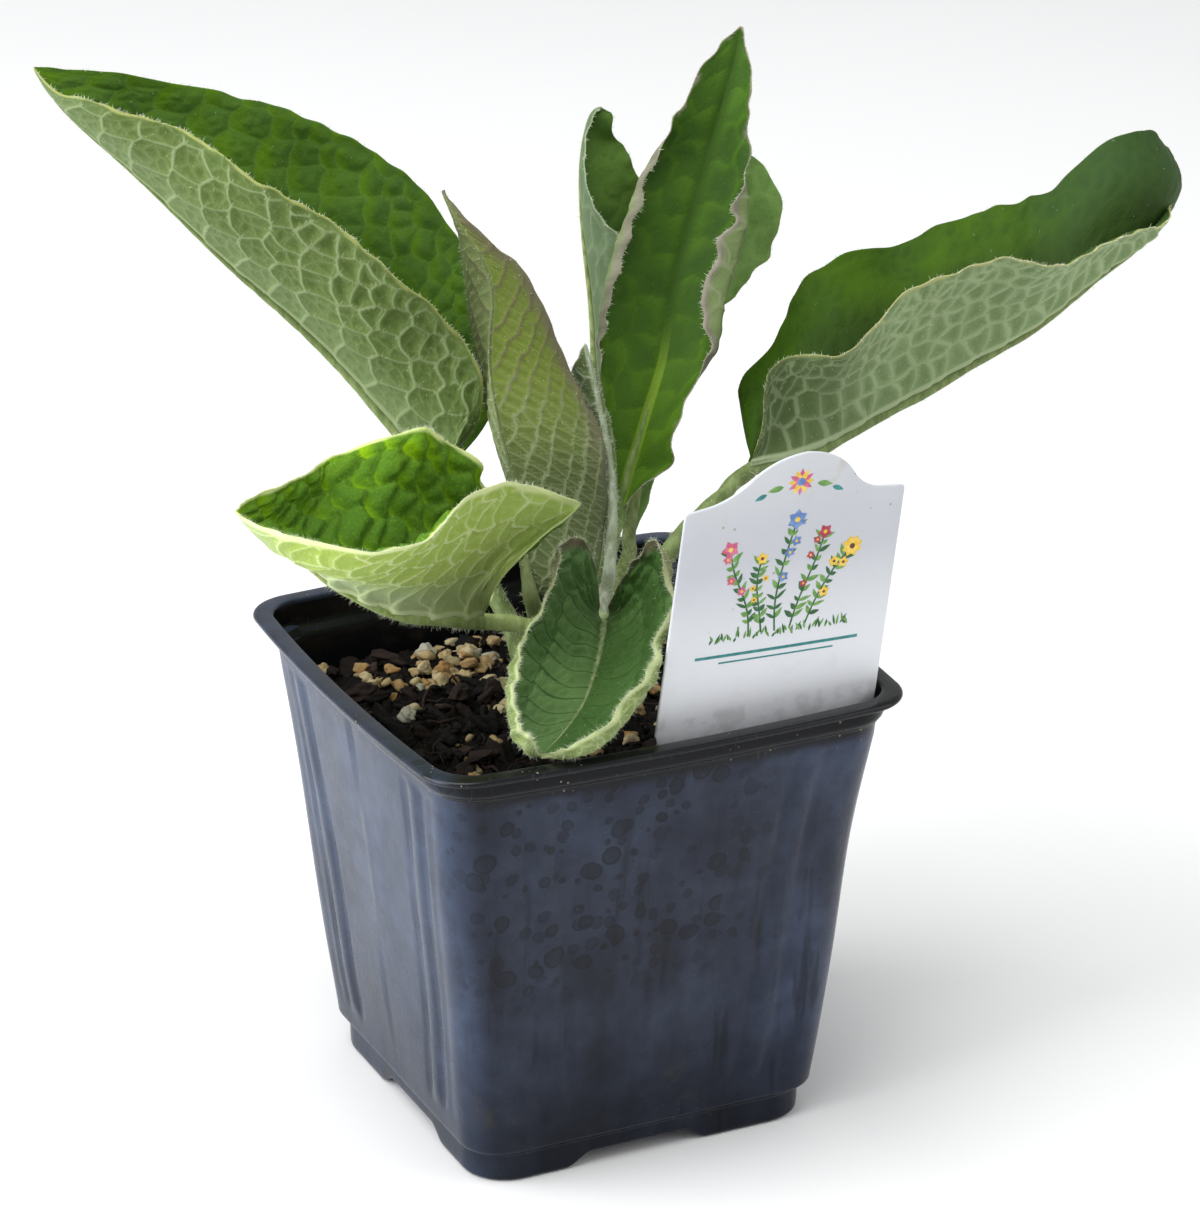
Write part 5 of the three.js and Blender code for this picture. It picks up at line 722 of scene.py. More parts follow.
def leaf_veins(xs, ys, half, length, style, true_y):
    """The net of a leaf, in leaf space (xs across, ys along, millimetres). Bands between
    side veins are split into rounded cells, large by the midrib and small by the margin,
    which bulge toward the margin and the base; the large ones are split once more."""
    r = rng(style["seed"])
    pairs = style["pairs"]
    big, small = style.get("cells", (9.0, 3.2))
    wide = style.get("wide", 0.9)
    sub = style.get("sub", 3.4)
    arch = style.get("arch", 0.5)
    bend = style.get("bend", 0.35)
    sweep = math.radians(style.get("sweep", 36))
    u = unit(np.array([0.8, -0.6]))
    rows_y = ys[:, 0]
    space = length * 0.93 / pairs
    out = {k: np.full(xs.shape, 9.0) for k in ("a", "as", "b", "bs")}
    out["k"] = np.ones(xs.shape)
    out["tone"] = np.full(xs.shape, 0.5)
    out["lean"] = np.zeros(xs.shape)
    w1, w2 = Waves(style["seed"] + 5, 2, 9.0, 12, 2.2), Waves(style["seed"] + 6, 2, 9.0, 12, 2.2)
    p = np.stack([xs, ys], -1)
    soft = smooth(0.3, 3.0, np.abs(xs)) * style.get("warp", 0.5)
    wx = np.abs(xs) + soft * w1(p)
    wy = true_y + soft * w2(p)
    slack = float(np.abs(true_y - ys).max())
    for side in (0, 1):
        cols = np.nonzero((xs[0] < 0) if side == 0 else (xs[0] >= 0))[0]
        width = half[:, cols[0]]
        # The blade's own length differs from the midrib's where it fans out or bends.
        span = np.abs(rows_y[:, None] - rows_y[None, ::4]) < slack + 2
        grid_y = np.concatenate([[-slack - 1.0], rows_y, [length + slack + 1.0]])
        spread = np.where(span, width[None, ::4], 0).max(1)
        spread = np.concatenate([spread[:1], spread, spread[-1:]])
        seeds, band, row, sizes = [], [], [], []
        more = int(slack / space) + 1
        for k in range(-5 - more, pairs + 1 + more):
            y0 = (k + 0.42 * side + 0.12 + r.uniform(-0.07, 0.07)) * space
            th0 = sweep + math.radians(12) * y0 / length + r.uniform(-0.05, 0.05)
            across = space * (1.0 - 0.18 * max(y0, 0) / length) * math.cos(th0)
            run = max(float(np.interp(y0 + 0.6 * space, grid_y, spread)), 4.0) / math.cos(th0)
            at, n = 0.0, 0
            while n < 60:
                size = big + (small - big) * min(at / run, 1.0) ** 0.8
                mid = at + size / 2
                tm = th0 + 0.5 * bend * mid / run
                ax, ay = mid * math.cos(tm), y0 + mid * math.sin(tm)
                if ax > float(np.interp(ay, grid_y, spread)) + 0.7 * size:
                    break
                th = th0 + bend * mid / run
                cnt = max(1, int(round(across / (size * wide))))
                for i in range(cnt):
                    off = ((i + 0.5 + ((0.25 if n % 2 else -0.25) if cnt > 1 else 0.0)) / cnt - 0.5) * across
                    jit = r.normal(size=2) * 0.11 * min(size, across / cnt)
                    seeds.append((ax - off * math.sin(th) + jit[0], ay + off * math.cos(th) + jit[1]))
                    band.append(k)
                    row.append(n)
                    sizes.append(min(size, across / cnt))
                at += size
                n += 1
        seeds, band, row, sizes = np.array(seeds), np.array(band), np.array(row), np.array(sizes)
        weight = arch * (seeds @ u)
        sub_ix = np.ix_(np.arange(len(rows_y)), cols)
        X, Y = wx[sub_ix], wy[sub_ix]
        b1, b2, i1, i2 = net_cells(X, Y, rows_y, seeds, weight, 2.0 * big + 6 + slack)
        d, sd = net_border(X, Y, seeds, b1, b2, i1, i2)
        main = band[i1] != band[np.maximum(i2, 0)]
        out["a"][sub_ix] = d
        out["as"][sub_ix] = sd
        out["k"][sub_ix] = np.where(main, 1.0, 0.0)
        cell_tone = r.random(len(seeds))
        tone = cell_tone[i1]
        own = seeds[i1]
        out["lean"][sub_ix] = np.clip(((X - own[..., 0]) * u[0] + (Y - own[..., 1]) * u[1]) / (0.55 * sizes[i1]), -1, 1)
        if sub > 0:
            ct, st = math.cos(sweep), math.sin(sweep)
            span = int(length / sub) + 30
            gi, gj = np.meshgrid(np.arange(-span, span), np.arange(-span, span), indexing="ij")
            ga = (gi + 0.5 * (gj % 2)) * sub + r.normal(size=gi.shape) * 0.16 * sub
            gb = gj * sub * 0.9 + r.normal(size=gi.shape) * 0.16 * sub
            q = np.stack([(ga * ct - gb * st).ravel(), (ga * st + gb * ct).ravel()], 1)
            lim = np.interp(q[:, 1], grid_y, spread)
            q = q[(q[:, 0] > 0.3) & (q[:, 0] < lim + 1) & (q[:, 1] > -2 - slack) & (q[:, 1] < length + 1 + slack)]
            mother = np.argmin(np.linalg.norm(q[:, None, :] - seeds[None, :, :], axis=2) + weight[None, :], axis=1)
            keep = sizes[mother] > 1.35 * sub
            q, mother = q[keep], mother[keep]
            if len(q):
                c1, c2, j1, j2 = net_cells(X, Y, rows_y, q, 0.45 * (q @ u), 2.0 * sub + 5 + slack, i1, mother)
                e, se = net_border(X, Y, q, c1, c2, j1, j2)
                out["b"][sub_ix] = e
                out["bs"][sub_ix] = se
                tone = np.where(j1 >= 0, 0.6 * tone + 0.4 * r.random(len(q))[np.maximum(j1, 0)], tone)
        out["tone"][sub_ix] = tone
    return out


def build_leaf(name, net, style):
    rows = np.array(net["rows"], float)
    tip = np.array(net["tip"], float)
    step = style.get("step", 0.52) * 1.0
    seed = style["seed"]
    cols = np.concatenate([rows, np.repeat(tip[None, None, :], 7, 1)], 0)
    seg = np.linalg.norm(np.diff(cols[:, 3], axis=0), axis=1)
    knots = np.concatenate([[0], np.cumsum(seg)])
    length = knots[-1]
    ns = int(length / step)
    # Rows are closer together near the tip, where the outline turns fast.
    q = np.linspace(0, 1, ns)
    s_at = length * (q + 0.035 * np.sin(math.pi * q) ** 2) / 1.0
    s_at = np.clip(s_at, 0, length - 0.05)
    s_at[-1] = length - 0.05
    s_at = np.maximum.accumulate(s_at)
    s_at += np.linspace(0, 1e-4, ns)
    fine = natural_spline(knots, cols, s_at)  # ns x 7 x 3
    # Keep the very tip from folding through itself.
    ts = np.array([-1, -0.8, -0.42, 0, 0.42, 0.8, 1.0])
    halfw = []
    for sgn, sl in ((-1, [3, 2, 1, 0]), (1, [3, 4, 5, 6])):
        p = fine[:, sl]
        halfw.append(np.linalg.norm(np.diff(p, axis=1), axis=2).sum(1))
    nt = max(8, int(max(h.max() for h in halfw) / step))
    grid = []
    xs = []
    for sgn, sl in ((-1, [3, 2, 1, 0]), (1, [3, 4, 5, 6])):
        p = fine[:, sl]
        tk = np.abs(ts[sl])
        tt = np.linspace(0, 1, nt + 1)
        half_pts = natural_spline(tk, np.swapaxes(p, 0, 1), tt)  # nt+1 x ns x 3
        d = np.linalg.norm(np.diff(half_pts, axis=0), axis=2)
        x = np.concatenate([np.zeros((1, ns)), np.cumsum(d, 0)])
        grid.append(half_pts)
        xs.append(sgn * x)
    pts = np.concatenate([grid[0][::-1], grid[1][1:]], 0).swapaxes(0, 1)  # ns x (2nt+1) x 3
    x = np.concatenate([xs[0][::-1], xs[1][1:]], 0).T
    ys = np.repeat(s_at[:, None], pts.shape[1], 1)
    hw = np.where(x < 0, halfw_at(xs[0]), halfw_at(xs[1])) if False else np.where(np.arange(pts.shape[1])[None, :] < nt, np.abs(xs[0][-1])[:, None], np.abs(xs[1][-1])[:, None])
    edge = np.maximum(hw - np.abs(x), 0)
    rel = np.abs(x) / np.maximum(hw, 1e-3)

    # Uneven outline.
    waves = Waves(seed + 1, 1, style.get("crenate_step", 9.0), 6, 1.7)
    t_across = unit(np.gradient(pts, axis=1))
    sgn = np.where(np.arange(pts.shape[1]) < nt, -1.0, 1.0)[None, :]
    shift = style.get("crenate", 0.3) * waves((ys + 40 * (sgn > 0))[..., None]) * smooth(0.62, 1.0, rel) * smooth(0, 6, ys) * smooth(0, 5, length - ys)
    pts = pts + t_across * (sgn * shift)[..., None]

    t_along = unit(np.gradient(pts, axis=0))
    t_across = unit(np.gradient(pts, axis=1))
    normal = unit(np.cross(t_across, t_along))

    edge = np.minimum(edge, (length - ys) * style.get("tip_rim", 0.8) + 0.02)
    climb = np.concatenate([np.zeros((1, pts.shape[1])), np.cumsum(np.linalg.norm(np.diff(pts, axis=0), axis=2), 0)])
    still = int(np.searchsorted(s_at, 0.5 * length))
    true_y = climb - climb[still] + s_at[still]
    net_of = leaf_veins(x, ys, hw, length, style, true_y)
    da, db, main, tone = net_of["a"], net_of["b"], net_of["k"], net_of["tone"]
    mid_r = np.interp(s_at / length, [0, 0.5, 1.0], [style["rib"], style["rib"] * 0.5, 0.2])[:, None]
    d_mid = np.maximum(np.abs(x) - mid_r * 0.40, 0)
    reach = 1.0 - 0.45 * rel
    lw = style.get("line", 1.0)
    va = np.maximum(np.exp(-(d_mid / 0.35) ** 2), np.exp(-(da / (0.24 + 0.20 * reach)) ** 2) * main * smooth(0, 5, hw))
    vb = np.exp(-(da / 0.36) ** 2) * (1 - main) * smooth(0.6, 2.2, edge)
    vc = np.exp(-(db / 0.32) ** 2) * smooth(0.6, 2.2, edge)
    # Distances to the lines in line widths, with their sign, and how strong each line is.
    l0 = d_mid / (0.30 + 0.35 * mid_r)
    wide_a = lw * np.where(main > 0.5, 0.26 + 0.20 * reach, 0.28)
    a_line = np.clip(net_of["as"] / wide_a, -20, 20)
    b_line = np.clip(net_of["bs"] / (lw * 0.24), -20, 20)
    rung = style.get("rung", 0.72)
    a_gain = (rung + (1 - rung) * main) * smooth(0.4, 1.6, edge) * smooth(0.5, 3, hw)
    soft = np.minimum(da, np.minimum(d_mid, 9))
    cs = style.get("cell_soft", 1.25)
    puff = 1 - np.exp(-(np.minimum(soft, db * 1.25 + 0.25) / cs) ** 1.35)
    big = 1 - np.exp(-(soft / 2.6) ** 1.7)
    fade = smooth(0.3, 3.0, edge) * smooth(0, 5, ys) * smooth(0.0, 6, length - ys)
    amp = style.get("puff", 0.5)
    shingle = style.get("shingle", 0.22) * net_of["lean"] * (1 - np.exp(-(da / 0.5) ** 2))
    pillow = fade * (amp * puff * (0.7 + 0.6 * tone) + style.get("quilt", 0.45) * big + shingle)
    hollow = np.minimum(pillow * style.get("hollow", 0.45), pillow * style.get("top_relief", 1.0))
    lift = -0.30 * mid_r * np.exp(-(np.abs(x) / (0.9 + 0.8 * mid_r)) ** 2)
    wob = Waves(seed + 9, 2, 26.0, 10)
    lift += style.get("wave", 0.5) * wob(np.stack([x, ys], -1)) * smooth(0.2, 1, rel) * smooth(0, 12, ys)
    curl = Waves(seed + 13, 2, 5.0, 12)
    lift += style.get("crumple", 0.12) * curl(np.stack([x, ys], -1)) * smooth(0.72, 1.0, rel) * smooth(0, 8, ys)
    rim_w = np.where(x < 0, style["rim"][0], style["rim"][1]) * (1 + 0.30 * Waves(seed + 15, 1, 9.0, 8)(ys[..., None]))
    rim = np.where(rim_w > 0.05, 1 - smooth(0.45, 1.0, edge / np.maximum(rim_w, 0.05)), 0.0)

    thick = np.interp(edge, [0, 0.6, 2.0, 30], [0.16, 0.30, 0.34, 0.36])
    top = pts + normal * (lift + pillow * style.get("top_relief", 1.0) + thick / 2)[..., None]
    ridge = style.get("ridge", 1.0) * (0.18 * va * (1 - smooth(0.8, 1.0, rel)) * (d_mid > 0.0) + 0.11 * vb * fade
                                       + 0.07 * style.get("fine_ridge", 1.0) * vc * fade)
    bottom = pts + normal * (lift + hollow - thick / 2 - ridge)[..., None]

    m = pts.shape[1]
    nv = ns * m
    verts = np.concatenate([top.reshape(-1, 3), bottom.reshape(-1, 3)])
    q_top = grid_faces(ns, m)
    q_bot = grid_faces(ns, m, offset=nv)[:, ::-1]
    i = np.arange(ns - 1)
    left = np.stack([i * m, (i + 1) * m, nv + (i + 1) * m, nv + i * m], 1)
    right = np.stack([(i + 1) * m + m - 1, i * m + m - 1, nv + i * m + m - 1, nv + (i + 1) * m + m - 1], 1)
    j = np.arange(m - 1)
    base = np.stack([j + 1, j, nv + j, nv + j + 1], 1)
    lr = (ns - 1) * m
    end = np.stack([lr + j, lr + j + 1, nv + lr + j + 1, nv + lr + j], 1)
    quads = np.concatenate([q_top, q_bot, left, right, base, end])
    mats = np.concatenate([np.zeros(len(q_top)), np.ones(len(q_bot)), np.ones(len(left) + len(right) + len(base) + len(end))])
    # grid_faces winds so that its normal is across x along; flip where that disagrees.
    a = verts[quads[len(q_top) // 2]]
    test = np.cross(a[1] - a[0], a[2] - a[1]) @ normal.reshape(-1, 3)[quads[len(q_top) // 2][0]]
    if test < 0:
        quads = quads[:, ::-1]
    tri = quads_to_tris(quads)
    tri_m = np.concatenate([mats, mats])

    def both(z):
        return np.concatenate([z.ravel(), z.ravel()])
    attrs = {"l0": both(l0), "a_line": both(a_line), "a_far": both(da), "a_gain": both(a_gain), "b_line": both(b_line), "b_far": both(db),
             "cell": both(puff * (0.7 + 0.3 * tone)), "edge": both(edge), "rim": both(rim), "along": both(ys / length), "off_mid": both(np.abs(x)),
             "lean": both(net_of["lean"]), "side": both(np.where(x < 0, 1.0, 0.0))}
    uv = np.stack([both(x) / 100 + 0.5 + seed * 1.37, both(ys) / 100 + seed * 0.71], 1)

    # Stalk and midrib: one tapering rod, under the blade from its base to near the tip.
    stalk = np.array(net["stalk"], float)
    mid = pts[:, nt]
    mid_n = normal[:, nt]
    r0 = net["stalkRadius"]
    count = max(10, int(ns * 0.5))
    pick = np.unique(np.linspace(0, int(ns * 0.93), count).astype(int))
    rib_k = style.get("rib_scale", 1.0)
    rr = np.interp(s_at[pick] / length, [0, 0.12, 0.5, 0.93], [r0 * 0.82, r0 * (0.2 + 0.46 * rib_k), r0 * (0.06 + 0.30 * rib_k), 0.14])
    show = style.get("rib_show", (0.15, 0.35))
    drop = 0.40 * smooth(show[0], show[1], s_at[pick] / length)
    under = mid[pick] - mid_n[pick] * (rr * 0.86 - 0.05 + drop)[:, None]
    start = np.concatenate([[0], np.cumsum(np.linalg.norm(np.diff(np.concatenate([stalk, under[:1]]), axis=0), axis=1))])
    lead_k = np.concatenate([stalk, under[:3:2]])
    lk = np.concatenate([[0], np.cumsum(np.linalg.norm(np.diff(lead_k, axis=0), axis=1))])
    nlead = max(10, int(start[-1] / 0.9))
    lead = natural_spline(lk, lead_k, np.linspace(0, lk[len(stalk)] * (1 - 1 / nlead), nlead))
    foot = lead[0].copy()
    path = np.concatenate([foot[None] - [0, 0, 1.2], lead, under])
    lead_r = np.interp(np.linspace(0, 1, nlead), [0, 0.15, 0.6, 1], [r0 * 1.35, r0 * 1.08, r0 * 0.95, r0 * 0.84])
    radius = np.concatenate([[r0 * 1.5], lead_r, rr])
    sides = 12
    ang = np.linspace(0, 2 * math.pi, sides, endpoint=False)
    jig = Waves(seed + 21, 1, 7.0, 6)
    along = np.arange(len(path))[:, None]
    wob_r = 1 + 0.05 * np.cos(3 * ang)[None, :] + 0.05 * jig((along + 3 * np.cos(ang)[None, :])[..., None])
    tv, tt = tube(path, radius[:, None] * wob_r, sides)
    nv2 = len(verts)
    verts = np.concatenate([verts, tv])
    tri = np.concatenate([tri, tt + nv2])
    tri_m = np.concatenate([tri_m, np.full(len(tt), 2)])
    for k2 in attrs:
        attrs[k2] = np.concatenate([attrs[k2], np.full(len(tv), {"cell": 0.6, "rim": 0.0, "a_gain": 0.0, "along": 0.5, "lean": 0.0, "side": 0.0}.get(k2, 9.0))])
    uv = np.concatenate([uv, np.stack([tv[:, 0] / 100, tv[:, 2] / 100], 1)])
    tri = tri[:, ::-1] if False else tri
    ob = make_object(name, verts, tri, [style["upper"], style["under"], style["stalk"]], tri_m, attrs, uv)
    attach(ob, "root")
    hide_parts(name.replace("_blade", ""))

    # Hairs, gathered by the caller.
    r = rng(seed + 33)
    hair = []

    def add_hairs(root, direction, size, width=0.05):
        hair.append((root, direction, size, np.full(len(root), width)))

    for col, sg in ((0, -1), (m - 1, 1)):
        n = int(length * style.get("rim_hairs", 3.2))
        i = np.sort(r.integers(2, ns - 1, n))
        f = r.random(n)
        root = (top[i, col] + bottom[i, col]) / 2
        root = root + (((top[i - 1, col] + bottom[i - 1, col]) / 2) - root) * f[:, None]
        out = sg * t_across[i, col]
        d = unit(out + 0.75 * r.normal(size=(n, 3)) * [1, 1, 1] + 0.25 * t_along[i, col])
        add_hairs(root, d, r.uniform(0.35, 1.0, n) * style.get("hair", 1.0), style.get("hair_width", 0.05))
    n = int(length * np.mean(hw) * 2 * style.get("face_hairs", 0.16))
    i = r.integers(2, ns - 2, n)
    j2 = r.integers(1, m - 1, n)
    add_hairs(bottom[i, j2], unit(-normal[i, j2] + 0.55 * r.normal(size=(n, 3))), r.uniform(0.3, 0.8, n) * style.get("hair", 1.0), style.get("hair_width", 0.045))
    n = int(n * style.get("top_hairs", 0.5))
    i = r.integers(2, ns - 2, n)
    j2 = r.integers(1, m - 1, n)
    add_hairs(top[i, j2], unit(normal[i, j2] + 0.55 * r.normal(size=(n, 3))), r.uniform(0.25, 0.6, n) * style.get("hair", 1.0), style.get("hair_width", 0.04))
    full = np.array(path)
    seglen = np.linalg.norm(np.diff(full, axis=0), axis=1).sum()
    n = int(seglen * style.get("stalk_hairs", 6.0))
    f = r.random(n) ** 1.25 * (len(full) - 3) + 1
    i = f.astype(int)
    centre = full[i] + (full[i + 1] - full[i]) * (f - i)[:, None]
    tang = unit(full[i + 1] - full[i])
    d = r.normal(size=(n, 3))
    d = unit(d - (d * tang).sum(1)[:, None] * tang)
    rad = radius[i]
    keep = np.ones(n, bool)
    on_blade = i > nlead + 1
    k3 = np.clip(i - nlead - 1, 0, len(pick) - 1)
    dn = (d * mid_n[pick][k3]).sum(1)
    keep &= ~(on_blade & (dn > -0.1))
    add_hairs((centre + d * rad[:, None] * 0.95)[keep], unit(d + 0.3 * tang + 0.25 * r.normal(size=(n, 3)))[keep],
              (r.uniform(0.5, 1.3, n) * style.get("hair", 1.0))[keep], style.get("hair_width", 0.05) * 0.9)
    return ob, hair


def hairs_object(name, groups, material):
    root = np.concatenate([g[0] for g in groups])
    d = unit(np.concatenate([g[1] for g in groups]))
    size = np.concatenate([g[2] for g in groups])
    width = np.concatenate([g[3] for g in groups])
    r = rng(404)
    n = len(root)
    a = unit(np.cross(d, r.normal(size=(n, 3))))
    b = np.cross(d, a)
    w = width[:, None]
    base = root - d * 0.08
    p0 = base + a * w
    p1 = base + (-0.5 * a + 0.866 * b) * w
    p2 = base + (-0.5 * a - 0.866 * b) * w
    tip = root + d * size[:, None] + 0.18 * size[:, None] * r.normal(size=(n, 3)) * 0.4
    verts = np.stack([p0, p1, p2, tip], 1).reshape(-1, 3)
    k = np.arange(n)[:, None] * 4
    tri = np.concatenate([k + [0, 1, 3], k + [1, 2, 3], k + [2, 0, 3], k + [2, 1, 0]])
    ob = make_object(name, verts, tri, [material], smooth=False)
    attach(ob, "root")
    return ob


# ------------------------------------------------------------------ what each leaf looks like

HAIRY = dict(rim_hairs=3.4, stalk_hairs=6.5, face_hairs=0.16)


